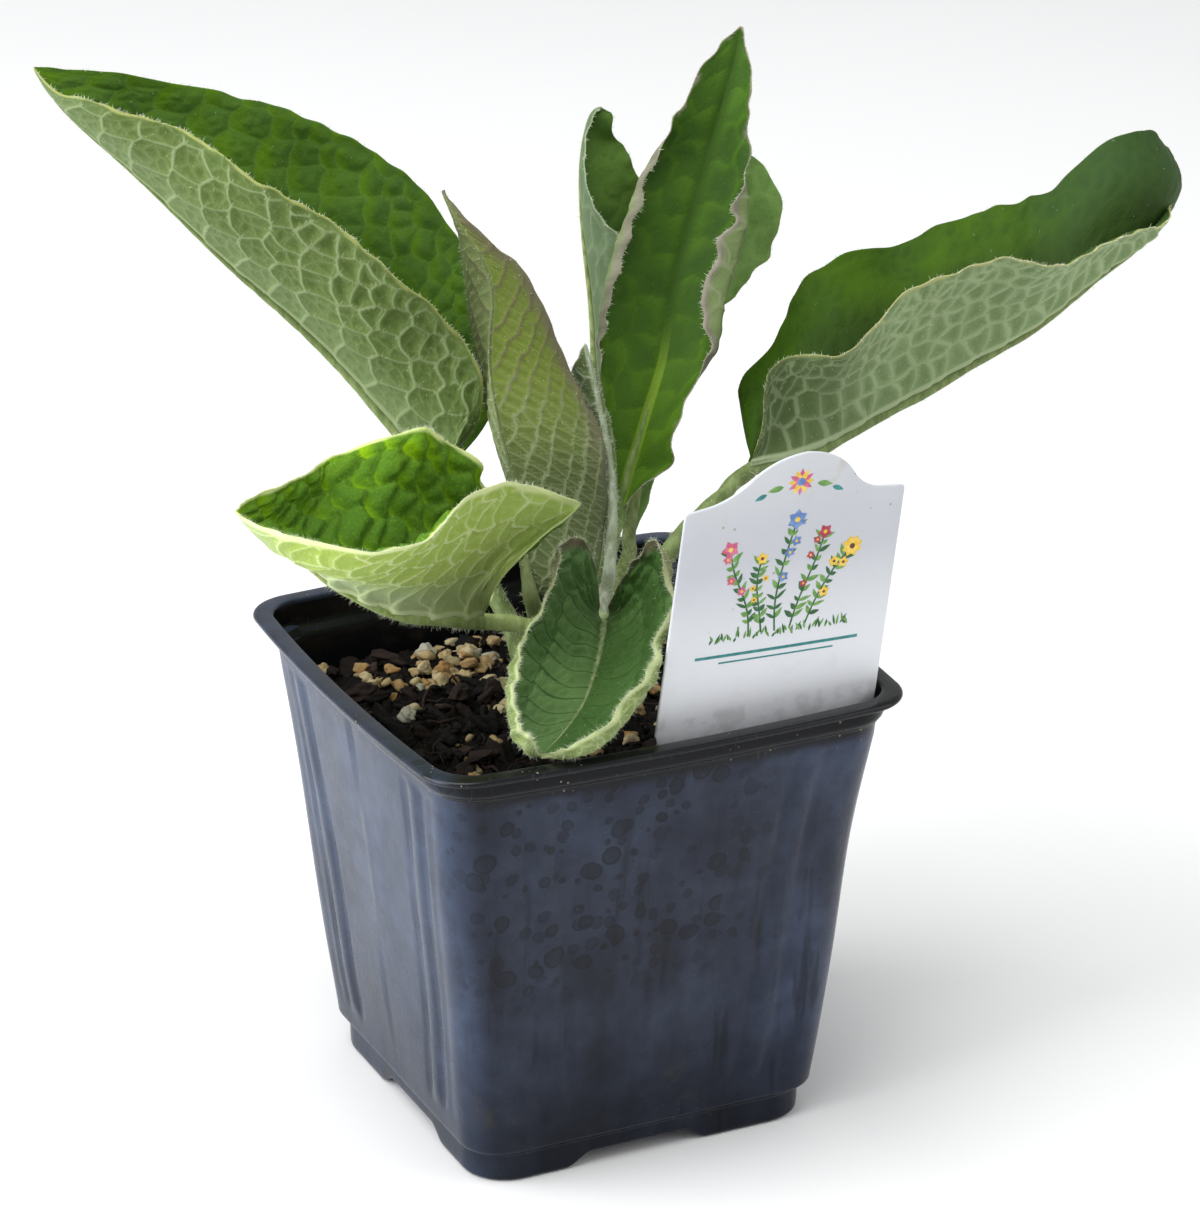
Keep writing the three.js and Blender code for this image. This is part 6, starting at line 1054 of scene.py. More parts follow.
def leaf_styles():
    stalk = stalk_material("leaf_stalk", lin("#66773a"), lin("#8f9b66"))
    stalk_light = stalk_material("leaf_stalk_pale", lin("#7d8b5e"), lin("#aab692"))
    stalk_green = stalk_material("leaf_stalk_green", lin("#5a7434"), lin("#7d9350"))
    stalk_olive = stalk_material("leaf_stalk_olive", lin("#5d683a"), lin("#6e7a4c"))
    stalk_cup = stalk_material("leaf_stalk_cup", lin("#8ca054"), lin("#abba7c"))
    stalk_spoon = stalk_material("leaf_stalk_spoon", lin("#6d7f4e"), lin("#93a276"))
    stalk_grey = stalk_material("leaf_stalk_grey", lin("#7f8a6c"), lin("#a9b29c"))
    stalk_sage = stalk_material("leaf_stalk_sage", lin("#62733f"), lin("#82925c"))
    deep_up = leaf_upper("leaf_deep_upper", lin("#38551a"), lin("#436412"), lin("#52760c"), lin("#5c7d36"), lin("#98a25e"), gain=0.75, fine_gain=0.3, grain=0.2, lit_and_shaded_cells=(lin("#54800c"), lin("#3b5c28"), 0.45))
    soft_up = leaf_upper("leaf_soft_upper", lin("#2f4a11"), lin("#35530f"), lin("#42630b"), lin("#47642a"), lin("#9aa35e"), gain=0.05, far=(lin("#33492b"), 0.42, 0.72), inner_shade=lin("#283c10"))
    sage_under = leaf_under("leaf_sage_under", lin("#5c6f37"), lin("#4c602a"), lin("#8b9870"), lin("#959b5a"), midrib_painted_light=lin("#72845a"), vein_gain=0.75, fine_gain=0.35)
    # The cup's bright yellow-green upper side is painted light shining through the blade.
    cup_up = leaf_upper("leaf_cup_upper", lin("#4c7318"), lin("#6a9014"), lin("#80aa12"), lin("#739434"), lin("#cfdc90"), glow=0.05, inner_shade=lin("#4d7526"), gain=0.2,
                        groove_shade=lin("#3d621a"), groove_shade_width=0.4, lit_and_shaded_cells=(lin("#8fbc08"), lin("#4a7026"), 0.75), spec=0.03, dust=0.3, grain=0.45)
    cup_under = leaf_under("leaf_cup_under", lin("#a6bc58"), lin("#98b04f"), lin("#d2dda8"), lin("#d9e2a4"), midrib_painted_light=lin("#a7b598"), light_gain=0.62, vein_gain=0.72, fine_gain=0.25, base_tint_and_painted_light=lin("#acbf6c"), base_to=(0.40, 0.05), base_gain=0.55)
    spoon_up = leaf_upper("leaf_spoon_upper", lin("#44652f"), lin("#55783c"), lin("#648847"), lin("#35552a"), lin("#a3b07c"), gain=0.8, dust=0.0, rib_gain=0.0, glow=0.05,
                          groove_shade=lin("#2b4822"), groove_shade_width=0.4, tint=lin("#5e5543"), tint_from=0.36, tint_edge=2.6, tint_to=0.42, fine_gain=0.6, grain=0.35, halves=(lin("#324c28"), lin("#6c8859"), 0.50))
    spoon_under = leaf_under("leaf_spoon_under", lin("#84945c"), lin("#6f8048"), lin("#a9b488"), lin("#adb785"), vein_gain=0.5, base_tint_and_painted_light=lin("#665c48"), base_to=(0.45, 0.25))
    tall_up = leaf_upper("leaf_tall_upper", lin("#2e4914"), lin("#3a5915"), lin("#43651a"), lin("#7c9a30"), lin("#7d7c66"),
                         tint=lin("#857f70"), tint_from=0.56, tint_edge=1.5, gain=0.06, rib_gain=0.62, rib_to=(0.28, 0.44), far=(lin("#55791a"), 0.48, 0.08), lit_and_shaded_cells=(lin("#4d7522"), lin("#2e4c1c"), 0.4), grain=0.15)
    tall_under = leaf_under("leaf_tall_under", lin("#7f7e6c"), lin("#706f5c"), lin("#94937c"), lin("#8c8578"), vein_gain=0.4, inner=lin("#6c7d4e"))
    olive_up = leaf_upper("leaf_olive_upper", lin("#37501f"), lin("#4a6726"), lin("#5a782e"), lin("#75864a"), lin("#85806a"))
    olive_under = leaf_under("leaf_olive_under", lin("#74882f"), lin("#66762f"), lin("#858e6b"), lin("#7d735f"), vein_gain=0.80, rib_gain=0.3, flush=lin("#666a48"), net=lin("#5f5545"), other=lin("#76835a"),
                             flush_from=0.54, net_to=0.50, margin=lin("#6f6656"), base_tint_and_painted_light=lin("#4b5836"), base_to=(0.60, 0.22), base_gain=0.85)
    young_up = leaf_upper("leaf_young_upper", lin("#43602a"), lin("#557534"), lin("#668744"), lin("#8b9772"), lin("#a9b09a"))
    young_under = leaf_under("leaf_young_under", lin("#66774c"), lin("#5a6c40"), lin("#9aa289"), lin("#a6ac98"))
    fresh_up = leaf_upper("leaf_fresh_upper", lin("#34501a"), lin("#426021"), lin("#51702c"), lin("#6a8845"), lin("#8a9a6a"), gain=0.2)
    fresh_under = leaf_under("leaf_fresh_under", lin("#5f7250"), lin("#526644"), lin("#7a8a6a"), lin("#87957a"), vein_gain=0.35)
    pale_up = leaf_upper("leaf_pale_upper", lin("#5c7c3c"), lin("#6d8e49"), lin("#7c9c58"), lin("#8aa468"), lin("#9aab7a"), gain=0.2)
    pale_under = leaf_under("leaf_pale_under", lin("#84996a"), lin("#6c8152"), lin("#a6b48c"), lin("#abac74"), base_tint_and_painted_light=lin("#46582f"), vein_gain=0.45)
    return {
        "leaf_left_large": dict(dict(HAIRY, face_hairs=0.05), seed=101, pairs=12, sweep=20, bend=0.12, rib=2.2, upper=deep_up, under=sage_under, stalk=stalk_sage, puff=0.46, quilt=0.35, wave=0.3,
                                crenate=0.15, rim=(0.5, 0.0), hollow=0.8, cells=(7.2, 4.0), sub=2.6, arch=0.5, line=0.9, warp=0.16, top_relief=0.55, shingle=0.32, fine_ridge=0.5),
        "leaf_front_left_cup": dict(HAIRY, seed=102, pairs=7, sweep=20, bend=0.12, rib=2.2, upper=cup_up, under=cup_under, stalk=stalk_cup, puff=0.16, quilt=0.22, wave=0.3,
                                    crenate=0.12, rim=(1.5, 0.8), hollow=0.30, cell_soft=0.6, rim_hairs=12.0, stalk_hairs=18.0, hair=0.95, hair_width=0.032, cells=(8.5, 6.0),
                                    wide=0.52, sub=2.6, arch=0.6, shingle=0.48, top_relief=1.7, warp=0.2, line=0.9, fine_ridge=0.4),
        "leaf_front_spoon": dict(HAIRY, seed=103, pairs=12, sweep=-14, bend=0.0, rib=1.4, upper=spoon_up, under=spoon_under, stalk=stalk_spoon, puff=0.26, quilt=0.42, wave=0.2,
                                 crenate=0.25, rim=(1.0, 0.9), tip_rim=1.0, line=0.6, rib_scale=0.4, rim_hairs=19.0, face_hairs=2.0, top_hairs=0.06, hair=1.2, hair_width=0.030, step=0.46, crumple=0.3,
                                 cell_soft=0.5, cells=(9.0, 4.6), wide=1.4, sub=2.2, warp=0.22, shingle=0.3, rib_show=(0.9, 1.0)),
        "leaf_centre_tall": dict(HAIRY, seed=104, pairs=12, sweep=38, bend=0.1, rib=1.3, upper=tall_up, under=tall_under, stalk=stalk_green, puff=0.14, quilt=0.22, wave=0.4,
                                 crenate=0.36, crenate_step=8.5, rim=(0.25, 0.25), cells=(8.0, 4.4), sub=0.0, face_hairs=0.0, top_relief=0.4, shingle=0.1, rib_show=(0.12, 0.30)),
        "leaf_centre_left": dict(HAIRY, seed=105, pairs=10, sweep=57, bend=0.18, rib=0.4, upper=olive_up, under=olive_under, stalk=stalk_olive, puff=0.26, quilt=0.16, wave=0.3,
                                 crenate=0.15, rim=(0.30, 0.2), rim_hairs=4.5, stalk_hairs=2.5, cell_soft=0.6, line=0.9, rung=0.55, rib_scale=0.10, cells=(2.0, 1.8), wide=2.0, sub=0.0,
                                 arch=0.15, warp=0.2, step=0.46, shingle=0.05),
        "leaf_young_folded": dict(HAIRY, seed=106, pairs=8, sweep=40, bend=0.1, rib=1.3, upper=young_up, under=young_under, stalk=stalk_grey, puff=0.2, quilt=0.2, wave=0.2,
                                  crenate=0.15, rim=(0.4, 0.4), face_hairs=0.8, cells=(4.0, 2.4), sub=0.0, line=0.7),
        "leaf_back_left": dict(HAIRY, seed=107, pairs=10, sweep=38, bend=0.1, rib=1.5, upper=fresh_up, under=fresh_under, stalk=stalk, puff=0.25, quilt=0.25, wave=0.4,
                               crenate=0.25, rim=(0.35, 0.0), cells=(7.0, 4.0), sub=0.0, face_hairs=0.0, top_relief=0.4),
        "leaf_back_right": dict(HAIRY, seed=108, pairs=9, sweep=38, bend=0.1, rib=1.5, upper=pale_up, under=fresh_under, stalk=stalk, puff=0.25, quilt=0.25, wave=0.4,
                                crenate=0.20, rim=(0.25, 0.0), cells=(7.0, 4.0), sub=0.0, face_hairs=0.0, top_relief=0.4),
        "leaf_right_large": dict(HAIRY, seed=109, pairs=14, sweep=14, bend=0.12, rib=2.0, upper=soft_up, under=pale_under, stalk=stalk_sage, puff=0.46, quilt=0.40, wave=0.4,
                                 crenate=0.25, rim=(0.0, 0.7), hollow=1.4, cells=(6.0, 4.0), wide=0.56, sub=0.0, face_hairs=0.05, top_relief=0.15, warp=0.25, line=1.25,
                                 arch=0.4),
    }




# ------------------------------------------------------------------ pot


def ring_points():
    """Directions round a rounded square: side index, place along the flat, corner angle."""
    out = []
    for side in range(4):
        for i in range(POT_SIDE_POINTS):
            out.append((side, -1 + 2 * i / (POT_SIDE_POINTS - 1), None))
        for i in range(1, POT_CORNER_POINTS + 1):
            out.append((side, None, -math.pi / 2 + math.pi / 2 * i / (POT_CORNER_POINTS + 1)))
    return out


RING = None


def square_ring(w, r, z, bow=0.0, inset=None):
    """inset: function (distance from the corner edge in mm, place along the flat) -> inward shift."""
    flat = w - r
    pts = np.zeros((len(RING), 3))
    for k, (side, t, ang) in enumerate(RING):
        c = (1, 0, -1, 0)[side]
        s = (0, 1, 0, -1)[side]
        if ang is None:
            x = flat * t
            push = inset(w - abs(x), x) if inset is not None else 0.0
            y = -(w + bow * (1 - t * t) - push)
        else:
            x, y = flat + r * math.cos(ang), -flat + r * math.sin(ang)
        pts[k] = (c * x - s * y, s * x + c * y, z)
    return pts


def wall_half(z):
    return 33.55 + (41.25 - 33.55) * (z - 6.5) / (77.5 - 6.5)


def wall_corner(z):
    return 7.0 + 1.8 * (z - 6.5) / 71.0


def build_pot(materials):
    global RING
    RING = ring_points()

    def flutes(z):
        fade = float(smooth(9.5, 13.5, z) * (1 - smooth(74.6, 76.2, z)))

        def f(c, x):
            g = 0.42 * math.exp(-((c - 18.6) / 0.75) ** 2) + 0.42 * math.exp(-((c - 12.7) / 0.7) ** 2)
            g -= 0.20 * float(smooth(19.3, 18.9, c) * smooth(12.0, 12.4, c)) if False else 0.0
            g -= 0.30 * math.exp(-((c - 15.6) / 1.7) ** 4)
            g += 0.16 * math.exp(-((c - 9.4) / 0.8) ** 2)
            return g * fade
        return f

    prof = []  # (w, r, z, bow, flute)
    foot = 32.2

    def add(w, r, z, bow=0.0, fl=False):
        prof.append((w, r, z, bow, fl))
    # Foot, stepped in under the wall.
    for a in np.linspace(0, 1, 5):
        add(foot - 1.0 * (1 - math.sin(a * math.pi / 2)), 7.6 + 0.4 * a, 1.0 * (1 - math.cos(a * math.pi / 2)))
    for z in (2.0, 3.0, 4.0, 4.8):
        add(foot + 0.02 * z, 8.0, z)
    w0, r0 = wall_half(6.9), wall_corner(6.9)
    for a in np.linspace(0, 1, 6):
        k = a * a * (3 - 2 * a)
        add(foot + 0.1 + (w0 - foot - 0.1) * k, 8.0 + (r0 - 8.0) * k, 5.1 + 1.7 * a)
    for z in np.concatenate([np.linspace(7.6, 14, 9), np.linspace(15.6, 73.5, 34), np.linspace(74.4, 77.0, 7)]):
        bow = 0.9 * float(smooth(30, 77.5, z))
        add(wall_half(z), wall_corner(z), z, bow, True)
    for a in np.linspace(0, 1, 6):
        k = a * a * (3 - 2 * a)
        add(41.25 + 1.15 * k, 8.8 + 0.3 * k, 77.5 + 1.5 * a, 0.9 + 0.2 * k)
    for z in (79.6, 80.3, 81.0, 81.5):
        add(42.45 + 0.03 * (z - 79), 9.1, z, 1.1 + 0.3 * (z - 79) / 2.5)
    # Flange with a rounded lip.
    add(42.75, 9.1, 81.72, 1.4)
    add(43.4, 9.0, 81.74, 1.4)
    for a in np.linspace(-1, 1, 9):
        ang = a * math.pi / 2
        add(44.1 + 0.55 * math.cos(ang), 8.8, 82.38 + 0.62 * math.sin(ang), 1.4)
    add(43.0, 8.2, 83.0, 1.4)
    add(42.0, 7.5, 82.98, 1.4)
    for a in np.linspace(0, 1, 4):
        ang = a * math.pi / 2
        add(41.4 + 0.35 * (1 - math.sin(ang)), 6.9 + 0.2 * (1 - a), 82.95 - 0.35 * (1 - math.cos(ang)), 1.4)
    for z in (82.0, 81.0, 80.0, 79.0, 78.2):
        add(41.35, 6.9, z, 1.1 + 0.3 * (z - 78) / 5)
    for a in np.linspace(0, 1, 4):
        add(41.2 - 1.15 * a, 7.2, 77.8 - 1.2 * a, 0.9)
    for z in np.concatenate([np.linspace(76.0, 64.0, 13), np.linspace(58, 8, 6)]):
        add(wall_half(z) - 1.2, wall_corner(z) - 1.2, z, 0.9 * float(smooth(30, 77.5, z)))
    add(31.6, 5.8, 5.4)
    add(30.2, 4.8, 4.4)

    wob = Waves(71, 2, 46.0, 9)
    rings = []
    for w, r, z, bow, fl in prof:
        p = square_ring(w, r, z, bow, flutes(z) if fl else None)
        # The thin wall is never quite flat.
        d = unit(p * [1, 1, 0])
        wave = 0.22 * wob(np.stack([np.arctan2(p[:, 1], p[:, 0]) * 40, np.full(len(p), z)], 1)) * float(smooth(3, 20, z) * (1 - smooth(74, 80, z)))
        rings.append(p + d * wave[:, None])
    rings = np.array(rings)
    n, m = rings.shape[:2]
    verts = rings.reshape(-1, 3)
    tri = quads_to_tris(grid_faces(n, m, wrap=True))[:, ::-1]
    return rings, verts, tri, n, m


def pot_object(mats):
    rings, verts, tri, n, m = build_pot(mats)
    # Underside arches are pressed up into the lowest rings.
    side_x = np.where((np.abs(verts[:, 1]) > np.abs(verts[:, 0])), verts[:, 0], verts[:, 1])
    out_d = np.maximum(np.abs(verts[:, 0]), np.abs(verts[:, 1]))
    centre = np.where(np.abs(verts[:, 1]) > np.abs(verts[:, 0]), np.where(verts[:, 1] < 0, -2.2, 0.0), np.where(verts[:, 0] < 0, -2.0, 0.0))
    arch = 1 - smooth(8.6, 13.6, np.abs(side_x - centre))
    ring_id = np.arange(len(verts)) // m
    low = ring_id < 9
    z = verts[:, 2].copy()
    top = 4.9
    z[low] = np.where(low, z + (2.5 * arch) * (1 - z / top), z)[low]
    verts = verts.copy()
    verts[:, 2] = z
    # Underside: a plate that follows the arches 9 mm inward, closed in the middle.
    base_ring = np.arange(m)
    rows = [verts[base_ring]]
    for f, drop in ((0.985, 0.0), (0.96, 0.0), (0.86, 0.0), (0.74, 0.0), (0.70, 1.0), (0.45, 1.0), (0.2, 1.0)):
        p = verts[base_ring] * [f, f, 1]
        if drop:
            p[:, 2] = 0.0
        rows.append(p)
    nv = len(verts)
    under = np.array(rows[1:])
    u_n = len(under)
    verts = np.concatenate([verts, under.reshape(-1, 3), [[0, 0, 0]], [[0, 0, 4.4]]])
    tris = [tri]
    j = np.arange(m)
    j2 = (j + 1) % m
    prev = j
    for k in range(u_n):
        cur = nv + k * m + j
        cur2 = nv + k * m + j2
        tris.append(np.stack([prev, cur, cur2], 1)[:, ::-1] if False else np.stack([prev, cur2, cur], 1)[:, ::-1])
        tris.append(np.stack([prev, np.roll(prev, -1), cur2], 1)[:, ::-1])
        prev = cur
    c0 = nv + u_n * m
    tris.append(np.stack([prev, np.full(m, c0), np.roll(prev, -1)], 1))
    last = (n - 1) * m
    tris.append(np.stack([last + j, last + j2, np.full(m, c0 + 1)], 1)[:, ::-1])
    tri = np.concatenate(tris)
    mesh_tri = fix_winding(verts, tri)
    inner = (np.arange(len(verts)) // m >= first_inner(n)) & (np.arange(len(verts)) < nv)
    ob = make_object("pot_shell", verts, mesh_tri, mats, attributes={"inside": inner.astype(float)})
    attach(ob, "root")
    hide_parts("pot")
    return ob


def first_inner(n):
    # The last 27 rings are the inner wall, from the rim's inner edge down.
    return n - 2 - 19 - 4 - 5


def fix_winding(verts, tri):
    """Make a closed connected mesh's faces point outward, by its signed volume."""
    v = verts[tri]
    vol = np.einsum("ij,ij->i", v[:, 0], np.cross(v[:, 1], v[:, 2])).sum()
    return tri if vol > 0 else tri[:, ::-1]


def pot_material():
    """Black moulded plastic under a thin layer of dust and dried water. Its bluish colour is partly a painted
    reflection of the sky, and how strongly it shows on each face is painted light.
    """
    n = Nodes("pot_plastic")
    o = n.obj()
    x, y, z = n.xyz(o)
    left = n.ramp(n.math("SUBTRACT", y, x), -0.006, 0.005)
    # The collar under the flange is kept black: no dust there, and painted shade under the flange, strongest on the
    # front face.
    clean_shaded_collar = n.math("MULTIPLY", n.ramp(z, 0.0750, 0.0776), n.ramp(left, 0.0, 1.0, 1.0, 0.45))
    inside = n.attr("inside")
    warp = n.noise(o, 60.0, 2.0, 0.5, colour=True)
    bent = n.new("ShaderNodeVectorMath", operation="MULTIPLY_ADD")
    n.link(warp, bent.inputs[0])
    bent.inputs[1].default_value = (0.004, 0.004, 0.004)
    n.link(o, bent.inputs[2])
    soft = n.noise(o, 28.0, 4.0, 0.55)
    mottled = n.noise(bent.outputs[0], 95.0, 5.0, 0.6)
    streak = n.noise(n.mapping(o, (150, 150, 9)), 1.0, 4.0, 0.55)
    film_and_painted_light = n.math("ADD", n.math("MULTIPLY", soft, 0.75), n.math("MULTIPLY", streak, 0.55))
    film_and_painted_light = n.math("ADD", film_and_painted_light, n.math("MULTIPLY", mottled, 0.30))
    film_and_painted_light = n.ramp(film_and_painted_light, 0.56, 1.04, 0.18, 1.0, "LINEAR")

    # Dried drops: dark discs with a rim, mostly in the upper middle of the front.
    def drops(scale, size, seed_off, strength):
        v = n.mapping(bent.outputs[0], (1, 1, 1), location=(seed_off, seed_off * 0.7, -seed_off))
        vn = n.new("ShaderNodeTexVoronoi", feature="F1")
        n.put(vn.inputs["Vector"], v)
        vn.inputs["Scale"].default_value = scale
        d = vn.outputs["Distance"]
        pick = n.xyz(vn.outputs["Color"])[0]
        rad = n.ramp(pick, 0.0, 0.75, 0.0, size, "LINEAR")
        disc = n.ramp(n.math("SUBTRACT", rad, d), -0.02, 0.07)
        ring = n.math("SUBTRACT", disc, n.ramp(n.math("SUBTRACT", rad, d), 0.05, 0.13))
        both = n.math("ADD", n.math("MULTIPLY", disc, 0.62), n.math("MULTIPLY", ring, 0.38))
        return n.math("MULTIPLY", both, strength)
    front = n.ramp(y, -0.026, -0.034)
    zone = n.math("MULTIPLY", n.ramp(z, 0.030, 0.046), n.ramp(x, 0.026, 0.006))
    zone = n.math("MULTIPLY", zone, front)
    zone = n.math("MULTIPLY", zone, n.ramp(n.noise(o, 42.0, 2.0), 0.24, 0.44))
    d1 = drops(205.0, 0.42, 0.31, 0.9)
    d2 = drops(340.0, 0.44, 1.7, 0.75)
    spot = n.math("MAXIMUM", d1, d2)
    spots = n.math("MULTIPLY", spot, n.math("ADD", n.math("MULTIPLY", zone, 0.85), 0.06))
    run = n.ramp(n.noise(n.mapping(o, (260, 260, 16), location=(3, 1, 5)), 1.0, 3.0), 0.56, 0.72)
    run = n.math("MULTIPLY", run, n.ramp(z, 0.085, 0.05, 0.0, 0.62))
    film_and_painted_light = n.math("MULTIPLY", film_and_painted_light, n.math("SUBTRACT", 1.0, spots))
    film_and_painted_light = n.math("MULTIPLY", film_and_painted_light, n.math("SUBTRACT", 1.0, run))
    film_and_painted_light = n.math("MULTIPLY", film_and_painted_light, n.ramp(z, 0.0, 0.030, 0.35, 1.0))
    film_and_painted_light = n.math("MULTIPLY", film_and_painted_light, n.ramp(x, 0.010, 0.034, 1.0, 1.9))
    film_and_painted_light = n.math("MULTIPLY", film_and_painted_light, n.math("SUBTRACT", 1.0, clean_shaded_collar))
    film_and_painted_light = n.math("MULTIPLY", film_and_painted_light, n.math("SUBTRACT", 1.0, inside))
    # Painted light: the dust layer shows more on the lit left face than on the front, and the left face darkens toward
    # its bottom.
    film_and_painted_light = n.math("MULTIPLY", film_and_painted_light, n.ramp(left, 0.0, 1.0, 0.27, 0.58))
    film_and_painted_light = n.math("MULTIPLY", film_and_painted_light, n.math("SUBTRACT", 1.0, n.math("MULTIPLY", left, n.ramp(z, 0.055, 0.010, 0.0, 0.30))))
    black = lin("#0b0c10")
    # Painted reflection: the bluish colour of the dust layer stands partly for the sky reflected in it, with a separate
    # tone for the left face.
    haze_and_reflection_colour = n.mix(n.ramp(mottled, 0.35, 0.7), n.mix(left, lin("#4a5674"), lin("#465775")), n.mix(left, lin("#616f8e"), lin("#5b6c8e")))
    black = n.mix(n.math("MAXIMUM", n.ramp(z, 0.0780, 0.0792), inside), black, lin("#101114"))
    # Painted light on the left face: its dust layer is made more uniform and lighter toward the top.
    left_face_painted_light = n.math("MULTIPLY", left, n.math("SUBTRACT", 1.0, n.math("MAXIMUM", inside, n.ramp(z, 0.0780, 0.0792))))
    film_and_painted_light = n.math("ADD", n.math("MULTIPLY", film_and_painted_light, n.math("SUBTRACT", 1.0, n.math("MULTIPLY", left_face_painted_light, 0.55))), n.math("MULTIPLY", left_face_painted_light, n.ramp(z, 0.004, 0.060, 0.13, 0.24)))
    base = n.mix(film_and_painted_light, black, haze_and_reflection_colour)
    stain = n.math("MULTIPLY", n.ramp(n.noise(bent.outputs[0], 70.0, 5.0, 0.65, 0.4), 0.56, 0.70), n.ramp(z, 0.034, 0.012))
    stain = n.math("MULTIPLY", stain, n.math("SUBTRACT", 1.0, inside))
    base = n.mix(n.math("MULTIPLY", stain, 0.75), base, lin("#33302f"))
    dust = n.ramp(n.voronoi(o, 620.0), 0.13, 0.07)
    dust = n.math("MULTIPLY", dust, n.ramp(n.noise(o, 90.0, 2.0), 0.50, 0.62))
    dust = n.math("MULTIPLY", dust, n.ramp(z, 0.072, 0.080, 0.06, 0.8))
    base = n.mix(dust, base, lin("#a59b8a"))
    scratch = n.ramp(n.noise(n.mapping(o, (1400, 1400, 160)), 1.0, 2.0), 0.66, 0.74, 0.0, 0.22)
    base = n.mix(n.math("MULTIPLY", scratch, clean_shaded_collar), base, lin("#59584f"))
    rough = n.math("ADD", n.ramp(film_and_painted_light, 0.0, 1.0, 0.20, 0.44, "LINEAR"), n.ramp(fine_noise(n, o), 0.3, 0.7, -0.03, 0.05, "LINEAR"))
    hgt = n.math("ADD", n.math("MULTIPLY", n.noise(o, 700.0, 3.0, 0.6), 0.5), n.math("MULTIPLY", soft, 1.2))
    return n.set(color=base, rough=rough, spec=n.math("ADD", n.math("MULTIPLY", n.ramp(left, 0.0, 1.0, 0.20, 0.24), n.ramp(z, 0.004, 0.045, 0.62, 1.0)), n.math("ADD", n.ramp(z, 0.0788, 0.0794, 0.0, -0.07), n.ramp(z, 0.0815, 0.0828, 0.0, 0.16))), normal=n.bump(hgt, 0.25, 0.0003), coat=0.0)


def fine_noise(n, o):
    return n.noise(o, 260.0, 3.0, 0.6)


# ------------------------------------------------------------------ potting mix


def soil_height(x, y):
    return (70.6 + 0.55 * np.sin(x * 0.21 + 1.3) * np.cos(y * 0.17 - 0.4) + 0.45 * np.sin(x * 0.11 - y * 0.19 + 2.0)
            + 0.9 * np.exp(-(((x - 1) ** 2 + (y - 3) ** 2) / 320)))


def soil_detail(x, y):
    p = np.stack([x, y], -1)
    h = 0.55 * np.abs(SOIL_W[0](p)) + 0.42 * np.abs(SOIL_W[1](p)) + 0.28 * SOIL_W[2](p) + 0.18 * SOIL_W[3](p)
    edge = smooth(39.0, 34.0, np.maximum(np.abs(x), np.abs(y)))
    return soil_height(x, y) + (h - 0.75) * 1.05 - 0.6 * (1 - edge)


SOIL_W = [Waves(11, 2, 9.0, 16, 1.8), Waves(12, 2, 4.0, 18, 1.7), Waves(13, 2, 2.0, 20, 1.6), Waves(14, 2, 1.15, 22, 1.5)]


def soil_material():
    n = Nodes("potting_mix")
    o = n.obj()
    a = n.noise(o, 190.0, 6.0, 0.7)
    b = n.noise(o, 60.0, 4.0, 0.6)
    base = n.mix(n.ramp(a, 0.35, 0.7), lin("#050403"), lin("#120d0a"))
    base = n.mix(n.ramp(b, 0.54, 0.74, 0.0, 0.5), base, lin("#1f1611"))
    speck = n.ramp(n.voronoi(o, 560.0), 0.22, 0.10)
    speck = n.math("MULTIPLY", speck, n.ramp(n.noise(o, 230.0, 2.0), 0.56, 0.64))
    base = n.mix(n.math("MULTIPLY", speck, 0.6), base, lin("#5a4838"))
    fibre = n.ramp(n.noise(n.mapping(o, (300, 900, 900), rotation=(0.2, 0.3, 0.7)), 1.0, 3.0), 0.62, 0.68, 0.0, 0.5)
    base = n.mix(fibre, base, lin("#4b3628"))
    return n.set(color=base, rough=0.86, spec=0.2, normal=n.bump(n.noise(o, 650.0, 5.0, 0.7), 0.9, 0.0006))


def chunk_material(name, stops, bump_scale=700.0, rough=0.85, lines=False):
    n = Nodes(name)
    o = n.obj()
    tone = n.attr("tone")
    grain = n.noise(n.mapping(o, (500, 500, 1500), rotation=(0.4, 0.2, 0.9)) if lines else o, 1.0 if lines else 520.0, 5.0, 0.65)
    k = n.math("ADD", n.math("MULTIPLY", tone, 0.72), n.math("MULTIPLY", n.math("SUBTRACT", grain, 0.5), 0.55), clamp=True)
    base = n.colours(k, stops)
    dirt = n.ramp(n.noise(o, 330.0, 4.0, 0.6), 0.52, 0.68, 0.0, 0.55)
    base = n.mix(dirt, base, lin("#2a1d16"))
    return n.set(color=base, rough=rough, spec=0.22, normal=n.bump(n.noise(o, bump_scale, 4.0, 0.7), 0.8, 0.0004))


def lump(centre, half, turn, seed, level=2, rough=0.16, tilt=0.0, cuts=6):
    """A broken, irregular lump."""
    v, f = ICO[level]
    v = v.copy()
    r = rng(seed)
    for _ in range(cuts):
        nrm = unit(r.normal(size=3))
        d = 0.55 + 0.35 * r.random()
        k = v @ nrm
        v = v + np.where(k > d, (d - k) * 0.85, 0)[:, None] * nrm
    w = Waves(seed + 3, 3, 1.5, 10, 2.0)
    w2 = Waves(seed + 4, 3, 0.55, 10, 1.6)
    v = v * (1 + rough * w(v) + rough * 0.45 * w2(v))[:, None]
    v = v * np.asarray(half)
    ct, st = math.cos(tilt), math.sin(tilt)
    v = v @ np.array([[ct, 0, st], [0, 1, 0], [-st, 0, ct]]).T
    c, s = math.cos(turn), math.sin(turn)
    v = v @ np.array([[c, -s, 0], [s, c, 0], [0, 0, 1]]).T
    return v + np.asarray(centre), f


